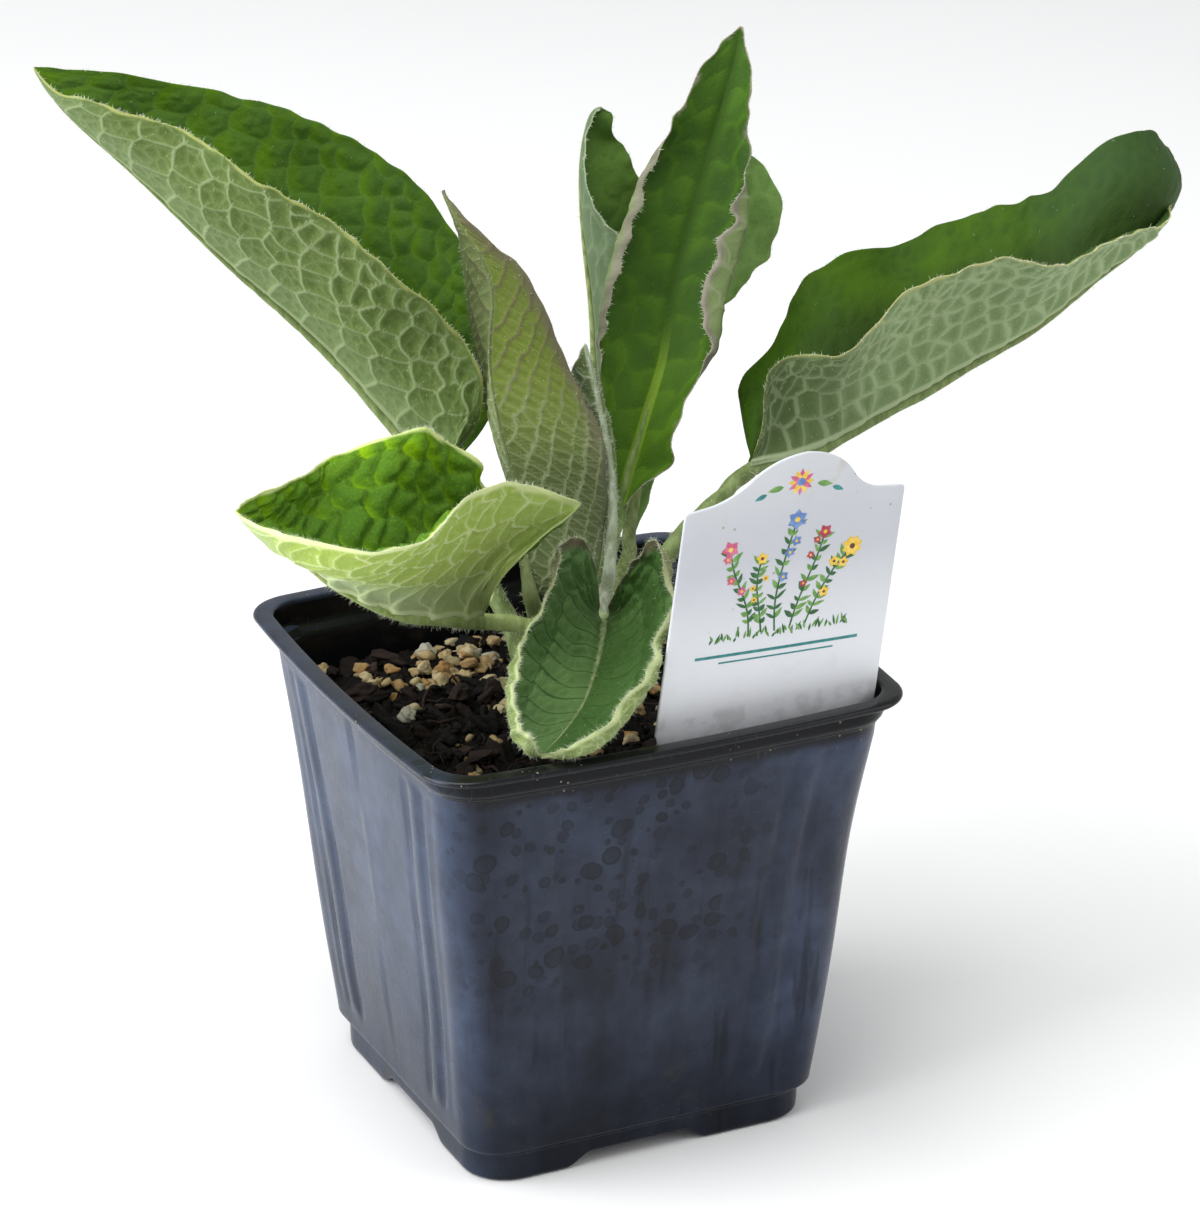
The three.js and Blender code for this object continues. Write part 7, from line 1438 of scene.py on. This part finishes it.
def build_soil(mats):
    step = 0.62
    half = 38.6
    n = int(2 * half / step)
    g = np.linspace(-1, 1, n)
    gx, gy = np.meshgrid(g, g, indexing="ij")
    # Rounded-square outline: pull the grid's corners in.
    k = np.maximum(np.abs(gx), np.abs(gy))
    cr = np.minimum(np.abs(gx), np.abs(gy)) / np.maximum(k, 1e-6)
    pull = 1 - 0.060 * smooth(0.78, 1.0, cr) * k
    x, y = gx * half * pull, gy * half * pull
    z = soil_detail(x, y)
    verts = np.stack([x, y, z], -1).reshape(-1, 3)
    q = grid_faces(n, n)
    edge = np.concatenate([np.arange(n) * n, (n - 1) * n + np.arange(1, n), (np.arange(n - 2, -1, -1)) * n + n - 1, np.arange(n - 2, 0, -1)])
    parts = [verts]
    tris = [quads_to_tris(q)]
    prev = edge
    count = len(verts)
    for zz, sc in ((64.0, 0.985), (30.0, 0.885), (8.0, 0.82), (4.8, 0.76)):
        ring = verts[edge].copy()
        ring[:, :2] *= sc
        ring[:, 2] = zz
        parts.append(ring)
        cur = count + np.arange(len(edge))
        tris.append(np.stack([prev, np.roll(prev, -1), cur], 1))
        tris.append(np.stack([np.roll(prev, -1), np.roll(cur, -1), cur], 1))
        prev = cur
        count += len(edge)
    parts.append(np.array([[0, 0, 4.8]]))
    tris.append(np.stack([prev, np.roll(prev, -1), np.full(len(edge), count)], 1))
    v = np.concatenate(parts)
    t = np.concatenate(tris)
    body = fix_winding(v, t)
    ob = make_object("potting_mix_body", v, body, [mats["soil"]])
    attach(ob, "root")
    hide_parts("potting_mix")

    # Crumbs, bark and fibres heaped on it.
    r = rng(2024)
    soup = Soup()
    total = 900
    for i in range(total):
        cx, cy = r.uniform(-37, 37, 2)
        if abs(cx) > 35 and abs(cy) > 35:
            continue
        size = 0.45 + 1.5 * r.random() ** 2.6
        long = size * r.uniform(1.0, 2.3)
        kind = r.random()
        halfs = (long, size * r.uniform(0.7, 1.0), size * r.uniform(0.45, 0.8))
        if max(abs(cx), abs(cy)) + long > 38.0:
            continue
        z0 = float(soil_detail(np.array([cx]), np.array([cy]))[0]) + halfs[2] * r.uniform(-0.15, 0.55)
        lvl = 2 if size > 1.0 else 1
        v, f = lump((cx, cy, z0), halfs, r.uniform(0, 6.28), 3000 + i, lvl, 0.20, r.uniform(-0.5, 0.5))
        soup.add(v, f, 0 if kind < 0.80 else 1, r.random())
    for i in range(70):
        # Fibres.
        cx, cy = r.uniform(-34, 34, 2)
        a = r.uniform(0, 6.28)
        ln = r.uniform(2.5, 7)
        t = np.linspace(-0.5, 0.5, 6)
        px = cx + ln * t * math.cos(a) + 0.6 * np.sin(5 * t + i)
        py = cy + ln * t * math.sin(a)
        ok = (np.abs(px) < 37.5).all() and (np.abs(py) < 37.5).all()
        if not ok:
            continue
        pz = soil_detail(px, py) + 0.5 + 0.5 * np.cos(4 * t)
        v, f = tube(np.stack([px, py, pz], 1), np.array([0.10, 0.17, 0.2, 0.2, 0.16, 0.08]) * r.uniform(0.8, 1.7), 6)
        soup.add(v, f, 1, r.uniform(0.2, 0.8))
    # Pale and tan grains, thickest behind the left of the front leaves.
    spots = []
    for cx, cy, sx, sy, cnt in ((-17, 24, 7, 5, 20), (-6, 29, 8, 5, 26), (-8, 33, 9, 3, 18), (-9, 14, 4, 6, 9), (-25, 28, 5, 3, 8), (15, 0, 6, 6, 10), (10, -12, 12, 8, 7),
                                (-22, -8, 8, 12, 5), (18, 22, 14, 10, 18), (0, 0, 36, 36, 20)):
        for _ in range(cnt):
            spots.append((cx + r.normal() * sx * 0.6, cy + r.normal() * sy * 0.6))
    for i, (cx, cy) in enumerate(spots):
        if max(abs(cx), abs(cy)) > 36.5:
            continue
        size = 0.65 + 1.05 * r.random() ** 1.3
        halfs = (size * r.uniform(1.0, 1.5), size, size * r.uniform(0.7, 0.95))
        z0 = float(soil_detail(np.array([cx]), np.array([cy]))[0]) + halfs[2] * r.uniform(0.15, 0.7)
        v, f = lump((cx, cy, z0), halfs, r.uniform(0, 6.28), 7000 + i, 2 if size > 0.9 else 1, 0.12, r.uniform(-0.4, 0.4))
        soup.add(v, f, 2 if r.random() < 0.88 else 3, 0.15 + 0.85 * r.random())
    top = soup.build("mix_crumbs", [mats["crumb"], mats["bark"], mats["grit"], mats["perlite"]])
    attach(top, "root")
    return ob


CHIPS = {
    "bark_chip_1": (-31.0, 21.0, 4.2, 2.0, 1.3, 0.5), "bark_chip_2": (-20.5, 34.0, 3.6, 1.9, 1.2, 2.2), "bark_chip_3": (-15.5, 12.5, 3.4, 2.2, 1.4, 1.1),
    "bark_chip_4": (-24.0, -14.0, 4.4, 2.1, 1.4, 0.2), "bark_chip_5": (21.0, 24.0, 4.8, 2.2, 1.5, 2.6), "bark_chip_6": (29.0, -6.0, 3.8, 2.0, 1.3, 1.7),
    "bark_chip_7": (-6.0, -24.0, 4.0, 1.8, 1.2, 2.9), "grit_grain_1": (-26.5, 31.5, 1.7, 1.4, 1.2, 0.3), "grit_grain_2": (-22.0, 28.5, 1.5, 1.3, 1.1, 1.3),
    "grit_grain_3": (-33.0, 34.0, 1.6, 1.3, 1.2, 2.1), "grit_grain_4": (-17.0, 25.0, 1.8, 1.4, 1.2, 0.8), "grit_grain_5": (-11.5, 19.5, 1.5, 1.3, 1.1, 1.9),
    "grit_grain_6": (-12.0, 4.0, 1.6, 1.3, 1.1, 2.7), "grit_grain_7": (16.5, 3.5, 1.7, 1.4, 1.2, 0.6), "grit_grain_8": (24.5, 9.5, 1.6, 1.3, 1.1, 1.5),
    "perlite_grain_1": (-27.5, 8.5, 1.9, 1.7, 1.5, 0.9), "perlite_grain_2": (-13.5, 32.5, 2.0, 1.7, 1.5, 2.4), "perlite_grain_3": (-9.0, -12.5, 1.8, 1.6, 1.4, 0.1),
}
GRIT_TONES = {"grit_grain_1": 0.25, "grit_grain_2": 0.2, "grit_grain_3": 0.6, "grit_grain_4": 0.9, "grit_grain_5": 0.65, "grit_grain_6": 0.85, "grit_grain_7": 0.7, "grit_grain_8": 0.3}


def build_chips(mats):
    for i, (name, (x, y, sx, sy, sz, turn)) in enumerate(CHIPS.items()):
        lo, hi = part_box(name)
        z = (lo[2] + hi[2]) / 2 / MM - 0.25
        kind = name.split("_")[0]
        v, f = lump((x, y, z), (sx * 0.97, sy * 0.97, sz * 0.95), turn, 500 + i * 7, 3, 0.10 if kind != "bark" else 0.13, cuts=7)
        ob = make_object(name + "_fine", v, fix_winding(v, f), [mats[kind]], attributes={"tone": np.full(len(v), GRIT_TONES.get(name, 0.5))})
        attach(ob, "root")
        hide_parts(name)


# ------------------------------------------------------------------ crown


def build_crown(mat):
    cx, cy = 1.2, 3.6
    prof = [(50, 1.4), (56, 3.3), (62, 5.3), (68, 8.5), (71.5, 10.3), (73.4, 10.9), (74.4, 10.4), (74.9, 8.8), (75.2, 6.0), (75.3, 2.5)]
    rings = []
    m = 72
    ang = np.linspace(0, 2 * math.pi, m, endpoint=False)
    zs = np.array([p[0] for p in prof], float)
    rs = np.array([p[1] for p in prof], float)
    t = np.linspace(0, 1, 44)
    zz = np.interp(t, np.linspace(0, 1, len(zs)), zs)
    rr = np.interp(t, np.linspace(0, 1, len(rs)), rs)
    w = Waves(91, 3, 5.0, 12, 1.8)
    for z, r in zip(zz, rr):
        lump_r = 1 + 0.06 * np.sin(3 * ang + 0.7) + 0.04 * np.cos(5 * ang + z)
        p = np.stack([cx + r * lump_r * np.cos(ang), cy + r * 1.05 * lump_r * np.sin(ang), np.full(m, z)], 1)
        d = unit(p - [cx, cy, 66])
        rings.append(p + d * (0.35 * w(p))[:, None])
    rings = np.array(rings)
    v = np.concatenate([rings.reshape(-1, 3), [[cx, cy, 50]], [[cx, cy, 75.3]]])
    q = quads_to_tris(grid_faces(len(rings), m, wrap=True))
    j = np.arange(m)
    j2 = (j + 1) % m
    last = (len(rings) - 1) * m
    tri = np.concatenate([q, np.stack([np.full(m, len(v) - 2), j2, j], 1), np.stack([np.full(m, len(v) - 1), last + j, last + j2], 1)])
    soup = Soup()
    soup.add(v, fix_winding(v, tri), 0, 0.5)
    # Sheathing scales where stalks leave the crown.
    r = rng(57)
    for i in range(16):
        a = i * 2.4
        rad = 3.0 + 5.2 * (i / 16)
        bx, by = cx + rad * math.cos(a), cy + rad * math.sin(a)
        out = np.array([math.cos(a), math.sin(a), 0])
        hgt = r.uniform(2.2, 4.6)
        t = np.linspace(0, 1, 7)
        path = np.array([[bx, by, 73.6]]) + out * (0.4 + 1.3 * t ** 2)[:, None] + np.array([0, 0, 1.0]) * (hgt * t)[:, None]
        rad2 = np.array([1.0, 1.15, 1.05, 0.85, 0.6, 0.35, 0.1])
        sides = 10
        an = np.linspace(0, 2 * math.pi, sides, endpoint=False)
        flat = 0.35 + 0.65 * np.abs(np.sin(an))
        vv, ff = tube(path, rad2[:, None] * flat[None, :] * r.uniform(0.8, 1.2), sides, up=(math.cos(a), math.sin(a), 0.2))
        soup.add(vv, fix_winding(vv, ff), 0, r.random())
    ob = soup.build("crown_scales", [mat])
    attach(ob, "root")
    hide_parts("root_crown")
    return ob


def crown_material():
    n = Nodes("crown")
    o = n.obj()
    grain = n.noise(n.mapping(o, (700, 700, 120)), 1.0, 4.0)
    base = n.mix(n.ramp(grain, 0.35, 0.7), lin("#5d5a38"), lin("#94955f"))
    base = n.mix(n.ramp(n.noise(o, 160.0, 4.0), 0.45, 0.65), base, lin("#4a3a2b"))
    return n.set(color=base, rough=0.75, spec=0.3, normal=n.bump(grain, 0.6, 0.0004), sheen=0.3, sheen_r=0.4)


# ------------------------------------------------------------------ plant label

L_O = np.array([18.96, -37.0, 83.0])
L_H = unit(np.array([0.9986, 0.032, -0.043]))
L_N = unit(np.cross(L_H, np.array([0.047, -0.1344, 0.9898])))
L_E = unit(np.cross(L_N, L_H))


def label_point(a, b, c=0.0):
    """Across, up and out of the label's front, in millimetres."""
    a, b, c = np.broadcast_arrays(np.asarray(a, float), np.asarray(b, float), np.asarray(c, float))
    return L_O + a[..., None] * L_H + b[..., None] * L_E + c[..., None] * L_N


def label_outline():
    pts = []

    def quad(p0, p1, p2, k):
        for t in np.linspace(0, 1, k, endpoint=False):
            pts.append((1 - t) ** 2 * np.array(p0) + 2 * t * (1 - t) * np.array(p1) + t * t * np.array(p2))

    def line(p0, p1, k):
        for t in np.linspace(0, 1, k, endpoint=False):
            pts.append(np.array(p0) * (1 - t) + np.array(p1) * t)
    s, top = 39.7, 48.3
    line((-2, -44), (2, -44), 2)
    line((2, -44), (10, -34), 4)
    line((10, -34), (16.3, -12), 6)
    line((16.3, -12), (21.2, -2), 4)
    line((21.2, -2), (20.85, s - 0.7), 18)
    quad((20.85, s - 0.7), (20.8, s), (20.1, s + 0.05), 4)
    line((20.1, s + 0.05), (15.2, s + 0.5), 4)
    quad((15.2, s + 0.5), (12.2, s + 1.2), (10.2, s + 4.2), 10)
    quad((10.2, s + 4.2), (7.0, top - 0.4), (1.0, top), 12)
    quad((1.0, top), (-5.4, top - 0.5), (-9.4, s + 4.2), 12)
    quad((-9.4, s + 4.2), (-12.6, s + 1.4), (-16.6, s + 0.6), 10)
    line((-16.6, s + 0.6), (-20.1, s + 0.05), 4)
    quad((-20.1, s + 0.05), (-20.8, s), (-20.85, s - 0.7), 4)
    line((-20.85, s - 0.7), (-21.2, -2), 18)
    line((-21.2, -2), (-16.3, -12), 4)
    line((-16.3, -12), (-10, -34), 6)
    line((-10, -34), (-2, -44), 4)
    return np.array(pts)


def build_label(mats):
    out = label_outline()
    m = len(out)
    cen = np.array([0.0, 10.0])
    t = 0.3
    prof = [(0.0, -t + 0.12), (0.05, -t + 0.04), (0.16, -t)]
    rings = []

    def inset(d):
        nxt = np.roll(out, -1, 0) - np.roll(out, 1, 0)
        nrm = unit(np.stack([-nxt[:, 1], nxt[:, 0]], 1))
        return out + nrm * d
    curve = lambda p: 0.22 * np.sin((p[:, 1] + 44) / 92 * math.pi) * (1 - (p[:, 0] / 22) ** 2)
    for scale in (0.0, 0.35, 0.65, 0.85):
        p = cen + (inset(0.3) - cen) * max(scale, 1e-3)
        rings.append(label_point(p[:, 0], p[:, 1], -t + curve(p)))
    for d, c in ((0.3, -t), (0.14, -t + 0.03), (0.04, -t + 0.12), (0.0, 0.0), (0.04, t - 0.12), (0.14, t - 0.03), (0.3, t)):
        p = inset(d)
        rings.append(label_point(p[:, 0], p[:, 1], c + curve(p)))
    for scale in (0.85, 0.65, 0.35, 0.0):
        p = cen + (inset(0.3) - cen) * max(scale, 1e-3)
        rings.append(label_point(p[:, 0], p[:, 1], t + curve(p)))
    rings = np.array(rings)
    v = rings.reshape(-1, 3)
    tri = quads_to_tris(grid_faces(len(rings), m, wrap=True))
    tri = fix_winding(v, tri)
    ob = make_object("label_sheet", v, tri, [mats["label"]])
    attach(ob, "root")
    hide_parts("plant_label")
    build_print(mats, curve)
    return ob


def build_print(mats, curve):
    """A plain printed border sprig: stems with leaves and small flowers, and two ruled lines."""
    soup = Soup()
    t = 0.3

    def put(poly, material, lift):
        poly = np.asarray(poly, float)
        n = len(poly)
        c = poly.mean(0)
        allp = np.concatenate([poly, [c]])
        h = t + curve(allp) + 0.03 + lift
        front = label_point(allp[:, 0], allp[:, 1], h)
        back = label_point(allp[:, 0], allp[:, 1], h - 0.03 - lift + 0.004)
        j = np.arange(n)
        j2 = (j + 1) % n
        tri = np.concatenate([np.stack([j, j2, np.full(n, n)], 1), np.stack([j + n + 1, np.full(n, 2 * n + 1), j2 + n + 1], 1),
                              np.stack([j, j + n + 1, j2], 1), np.stack([j2, j + n + 1, j2 + n + 1], 1)])
        v = np.concatenate([front, back])
        soup.add(v, fix_winding(v, tri), material, 0.5)

    def leaf(a, b, ang, ln, wd, mat, lift=0.0):
        k = np.linspace(0, 1, 7)
        w = wd * np.sin(math.pi * k ** 0.8) * 0.5
        up = np.stack([k * ln, w], 1)
        dn = np.stack([k[::-1] * ln, -w[::-1]], 1)[1:-1]
        p = np.concatenate([up, dn])
        c, s = math.cos(ang), math.sin(ang)
        put(np.stack([a + p[:, 0] * c - p[:, 1] * s, b + p[:, 0] * s + p[:, 1] * c], 1), mat, lift)

    def disc(a, b, r, mat, lift, k=12):
        an = np.linspace(0, 2 * math.pi, k, endpoint=False)
        put(np.stack([a + r * np.cos(an), b + r * np.sin(an)], 1), mat, lift)

    def flower(a, b, r, petals, mat, core, lift, turn=0.0):
        for i in range(petals):
            leaf(a, b, turn + 2 * math.pi * i / petals, r, r * 0.72, mat, lift + 0.002 * i)
        disc(a, b, r * 0.26, core, lift + 0.025)

    def stem(path, width, mat):
        p = np.asarray(path, float)
        k = np.linspace(0, len(p) - 1, 24)
        q = natural_spline(np.arange(len(p)), p, k)
        d = unit(np.gradient(q, axis=0))
        nrm = np.stack([-d[:, 1], d[:, 0]], 1) * width / 2
        for i in range(len(q) - 1):
            put([q[i] + nrm[i], q[i] - nrm[i], q[i + 1] - nrm[i + 1], q[i + 1] + nrm[i + 1]], mat, 0.0)
        return q, d
    GREEN, DARK, PINK, RED, YELLOW, BLUE, TEAL, BROWN, WASH = range(9)
    r = rng(88)
    # Three stems rising from a grassy base, fanned.
    bushes = [([(-6.0, 15.5), (-7.2, 21), (-10.0, 27), (-11.5, 32)], PINK, 5, 1.7), ([(-1.0, 15.3), (-1.6, 22), (-0.6, 30), (0.6, 36.0)], BLUE, 6, 1.9),
              ([(4.6, 15.4), (6.5, 21), (9.2, 26), (12.0, 29.5)], YELLOW, 8, 2.0), ([(1.8, 15.4), (3.0, 21), (5.2, 28), (6.3, 33.0)], RED, 5, 1.4),
              ([(-3.6, 15.4), (-4.6, 20), (-5.6, 25), (-5.2, 29.5)], YELLOW, 5, 1.2)]
    for path, col, petals, size in bushes:
        q, d = stem(path, 0.32, DARK)
        for i in range(3, 23, 2):
            for sd in (-1, 1):
                ang = math.atan2(d[i, 1], d[i, 0]) + sd * r.uniform(0.6, 1.1)
                leaf(q[i, 0], q[i, 1], ang, r.uniform(1.3, 2.6), r.uniform(0.6, 1.0), GREEN if r.random() < 0.6 else DARK, 0.003 * (i % 3))
        flower(q[-1, 0], q[-1, 1], size, petals, col, YELLOW if col != YELLOW else BROWN, 0.03, r.uniform(0, 1))
        for i in (10, 15, 19):
            a, b = q[i] + r.uniform(-1.6, 1.6, 2)
            flower(a, b, size * 0.55, 5, col, YELLOW if col != YELLOW else BROWN, 0.028, r.uniform(0, 1))
    # Ground: short blades.
    for i in range(46):
        a = -13.5 + 27 * i / 45 + r.uniform(-0.3, 0.3)
        leaf(a, 14.6 + r.uniform(-0.4, 0.4), math.pi / 2 + r.uniform(-0.6, 0.6), r.uniform(0.9, 2.3), 0.42, GREEN if i % 2 else DARK, 0.001 * (i % 5))
    # Two ruled lines under it.
    for b, half, w in ((11.6, 15.6, 0.55), (10.4, 11.0, 0.3)):
        k = np.linspace(-half, half, 17)
        for i in range(16):
            put([(k[i], b), (k[i + 1], b), (k[i + 1], b + w), (k[i], b + w)], TEAL, 0.0)
    # A rosette at the head of the card, with a leaf to either side.
    for i in range(12):
        leaf(0.3, 43.0, 2 * math.pi * i / 12, 2.5, 0.95, PINK if i % 2 else YELLOW, 0.002 * (i % 3))
    disc(0.3, 43.0, 0.75, BLUE, 0.03, 14)
    for sd in (-1, 1):
        leaf(0.3 + sd * 3.2, 42.4, math.pi / 2 - sd * 1.75, 3.0, 1.1, GREEN, 0.0)
        leaf(0.3 + sd * 6.2, 41.4, math.pi / 2 - sd * 1.95, 2.4, 0.9, TEAL, 0.0)
    ob = soup.build("label_print", mats["print"], smooth=False)
    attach(ob, "root")
    return ob


def label_material():
    n = Nodes("label_plastic")
    o = n.obj()
    x, y, z = n.xyz(o)
    # Painted light: whiter toward the bottom, where little light reaches the label, and greyer toward the top.
    base = n.mix(n.ramp(z, 0.083, 0.112, 0.0, 1.0, "LINEAR"), lin("#f4f6fa"), lin("#c2c5cb"))
    base = n.mix(n.ramp(z, 0.116, 0.130, 0.0, 1.0), base, lin("#cdd0d4"))
    base = n.mix(n.ramp(n.noise(o, 40.0, 4.0, 0.6), 0.5, 0.72, 0.0, 0.35), base, lin("#bcc0c8"))
    smear = n.math("MULTIPLY", n.ramp(n.noise(o, 150.0, 5.0, 0.65), 0.56, 0.70), n.ramp(z, 0.118, 0.130, 0.10, 0.55))
    base = n.mix(smear, base, lin("#b9b3a6"))
    speck = n.math("MULTIPLY", n.ramp(n.voronoi(o, 330.0), 0.11, 0.06), n.ramp(n.noise(o, 60.0, 2.0), 0.52, 0.6))
    base = n.mix(n.math("MULTIPLY", speck, 0.7), base, lin("#8b8578"))
    foot = n.math("MULTIPLY", n.ramp(z, 0.086, 0.0835), n.ramp(n.noise(o, 300.0, 4.0), 0.45, 0.6))
    base = n.mix(n.math("MULTIPLY", foot, 0.2), base, lin("#8d8478"))
    return n.set(color=base, rough=0.42, spec=0.45, normal=n.bump(n.noise(o, 300.0, 3.0), 0.12, 0.0002), sss=0.05, sss_r=(1, 1, 1), sss_s=0.0008)


def ink(name, colour, other):
    n = Nodes(name)
    o = n.obj()
    base = n.mix(n.ramp(n.noise(o, 900.0, 3.0), 0.4, 0.65), colour, other)
    return n.set(color=base, rough=0.5, spec=0.35)


# ------------------------------------------------------------------ assembly


def floor_material():
    n = Nodes("floor_pale")
    o = n.obj()
    base = n.mix(n.ramp(n.noise(o, 3.0, 2.0), 0.3, 0.7, 0.0, 0.3), FLOOR_COLOUR, (0.80, 0.80, 0.80, 1))
    return n.set(color=base, rough=0.9, spec=0.1)


def area(name, location, target, size, power, colour=(1, 1, 1)):
    data = bpy.data.lights.new(name, "AREA")
    data.shape = "RECTANGLE"
    data.size, data.size_y = size
    data.energy = power
    data.color = colour
    ob = bpy.data.objects.new(name, data)
    bpy.context.scene.collection.objects.link(ob)
    d = Vector(target) - Vector(location)
    ob.location = location
    ob.rotation_euler = d.to_track_quat("-Z", "Y").to_euler()
    return ob


def build_scene():
    scene = bpy.context.scene
    cam_data = bpy.data.cameras.new("camera")
    cam_data.sensor_width = 36.0
    cam_data.lens = 4544.311 / 1208 * 36.0
    cam_data.clip_start = 0.01
    cam = bpy.data.objects.new("camera", cam_data)
    scene.collection.objects.link(cam)
    right, up, fwd = Vector((0.9023, -0.4311, 0.0049)), Vector((0.1594, 0.3440, 0.9253)), Vector((0.4006, 0.8341, -0.3791))
    rot = Matrix((right, up, -fwd)).transposed().to_4x4()
    cam.matrix_world = Matrix.Translation(Vector((-0.310849, -0.658490, 0.389780))) @ rot
    scene.camera = cam

    world = bpy.data.worlds.new("studio")
    scene.world = world
    world.use_nodes = True
    bg = world.node_tree.nodes["Background"]
    bg.inputs[0].default_value = WORLD_COLOUR
    bg.inputs[1].default_value = WORLD_STRENGTH
    scene.view_settings.view_transform = "Standard"
    scene.view_settings.look = "None"
    scene.view_settings.exposure = EXPOSURE

    for spec in LIGHTS:
        area(*spec)

    s = 2.2
    k = 24
    gx = np.linspace(-s, s, k) * 1000
    X, Y = np.meshgrid(gx, gx, indexing="ij")
    v = np.stack([X, Y, np.full_like(X, -0.02)], -1).reshape(-1, 3)
    floor = make_object("floor", v, grid_faces(k, k), [floor_material()])


def build_all():
    build_scene()
    hair_groups = []
    for name, style in STYLES.items():
        _, groups = build_leaf(name + "_blade", LEAF_NETS[name], style)
        hair_groups += groups
    hairs_object("leaf_hairs", hair_groups, hair_material())
    pot_object([pot_material()])
    mats = {
        "soil": soil_material(),
        "crumb": chunk_material("mix_crumb", [(0.0, lin("#050404")), (0.5, lin("#0e0a09")), (0.82, lin("#1c1412")), (1.0, lin("#33261f"))]),
        "bark": chunk_material("bark", [(0.0, lin("#120e0d")), (0.5, lin("#2e2220")), (1.0, lin("#55443b"))], lines=True),
        "grit": chunk_material("grit", [(0.0, lin("#9a6430")), (0.20, lin("#a3875c")), (0.5, lin("#b5a27b")), (1.0, lin("#cdc2a6"))], 900.0),
        "perlite": chunk_material("perlite", [(0.0, lin("#94907f")), (0.5, lin("#aeaa9c")), (1.0, lin("#c4c2b8"))], 500.0),
    }
    build_soil(mats)
    build_chips(mats)
    build_crown(crown_material())
    inks = [ink("ink_green", lin("#5f8f45"), lin("#7aa65a")), ink("ink_dark_green", lin("#2f5e35"), lin("#3d7040")), ink("ink_pink", lin("#c4567a"), lin("#d77a97")),
            ink("ink_red", lin("#a3364a"), lin("#bd5160")), ink("ink_yellow", lin("#e3b93a"), lin("#efcf62")), ink("ink_blue", lin("#5b7bb5"), lin("#7d99c8")),
            ink("ink_teal", lin("#2f7d7c"), lin("#3f8f8c")), ink("ink_brown", lin("#5b3a26"), lin("#6d4930")), ink("ink_wash", lin("#c9d7b4"), lin("#d5e0c4"))]
    build_label({"label": label_material(), "print": inks})


STYLES = leaf_styles()
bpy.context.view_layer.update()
build_all()
bpy.context.view_layer.update()
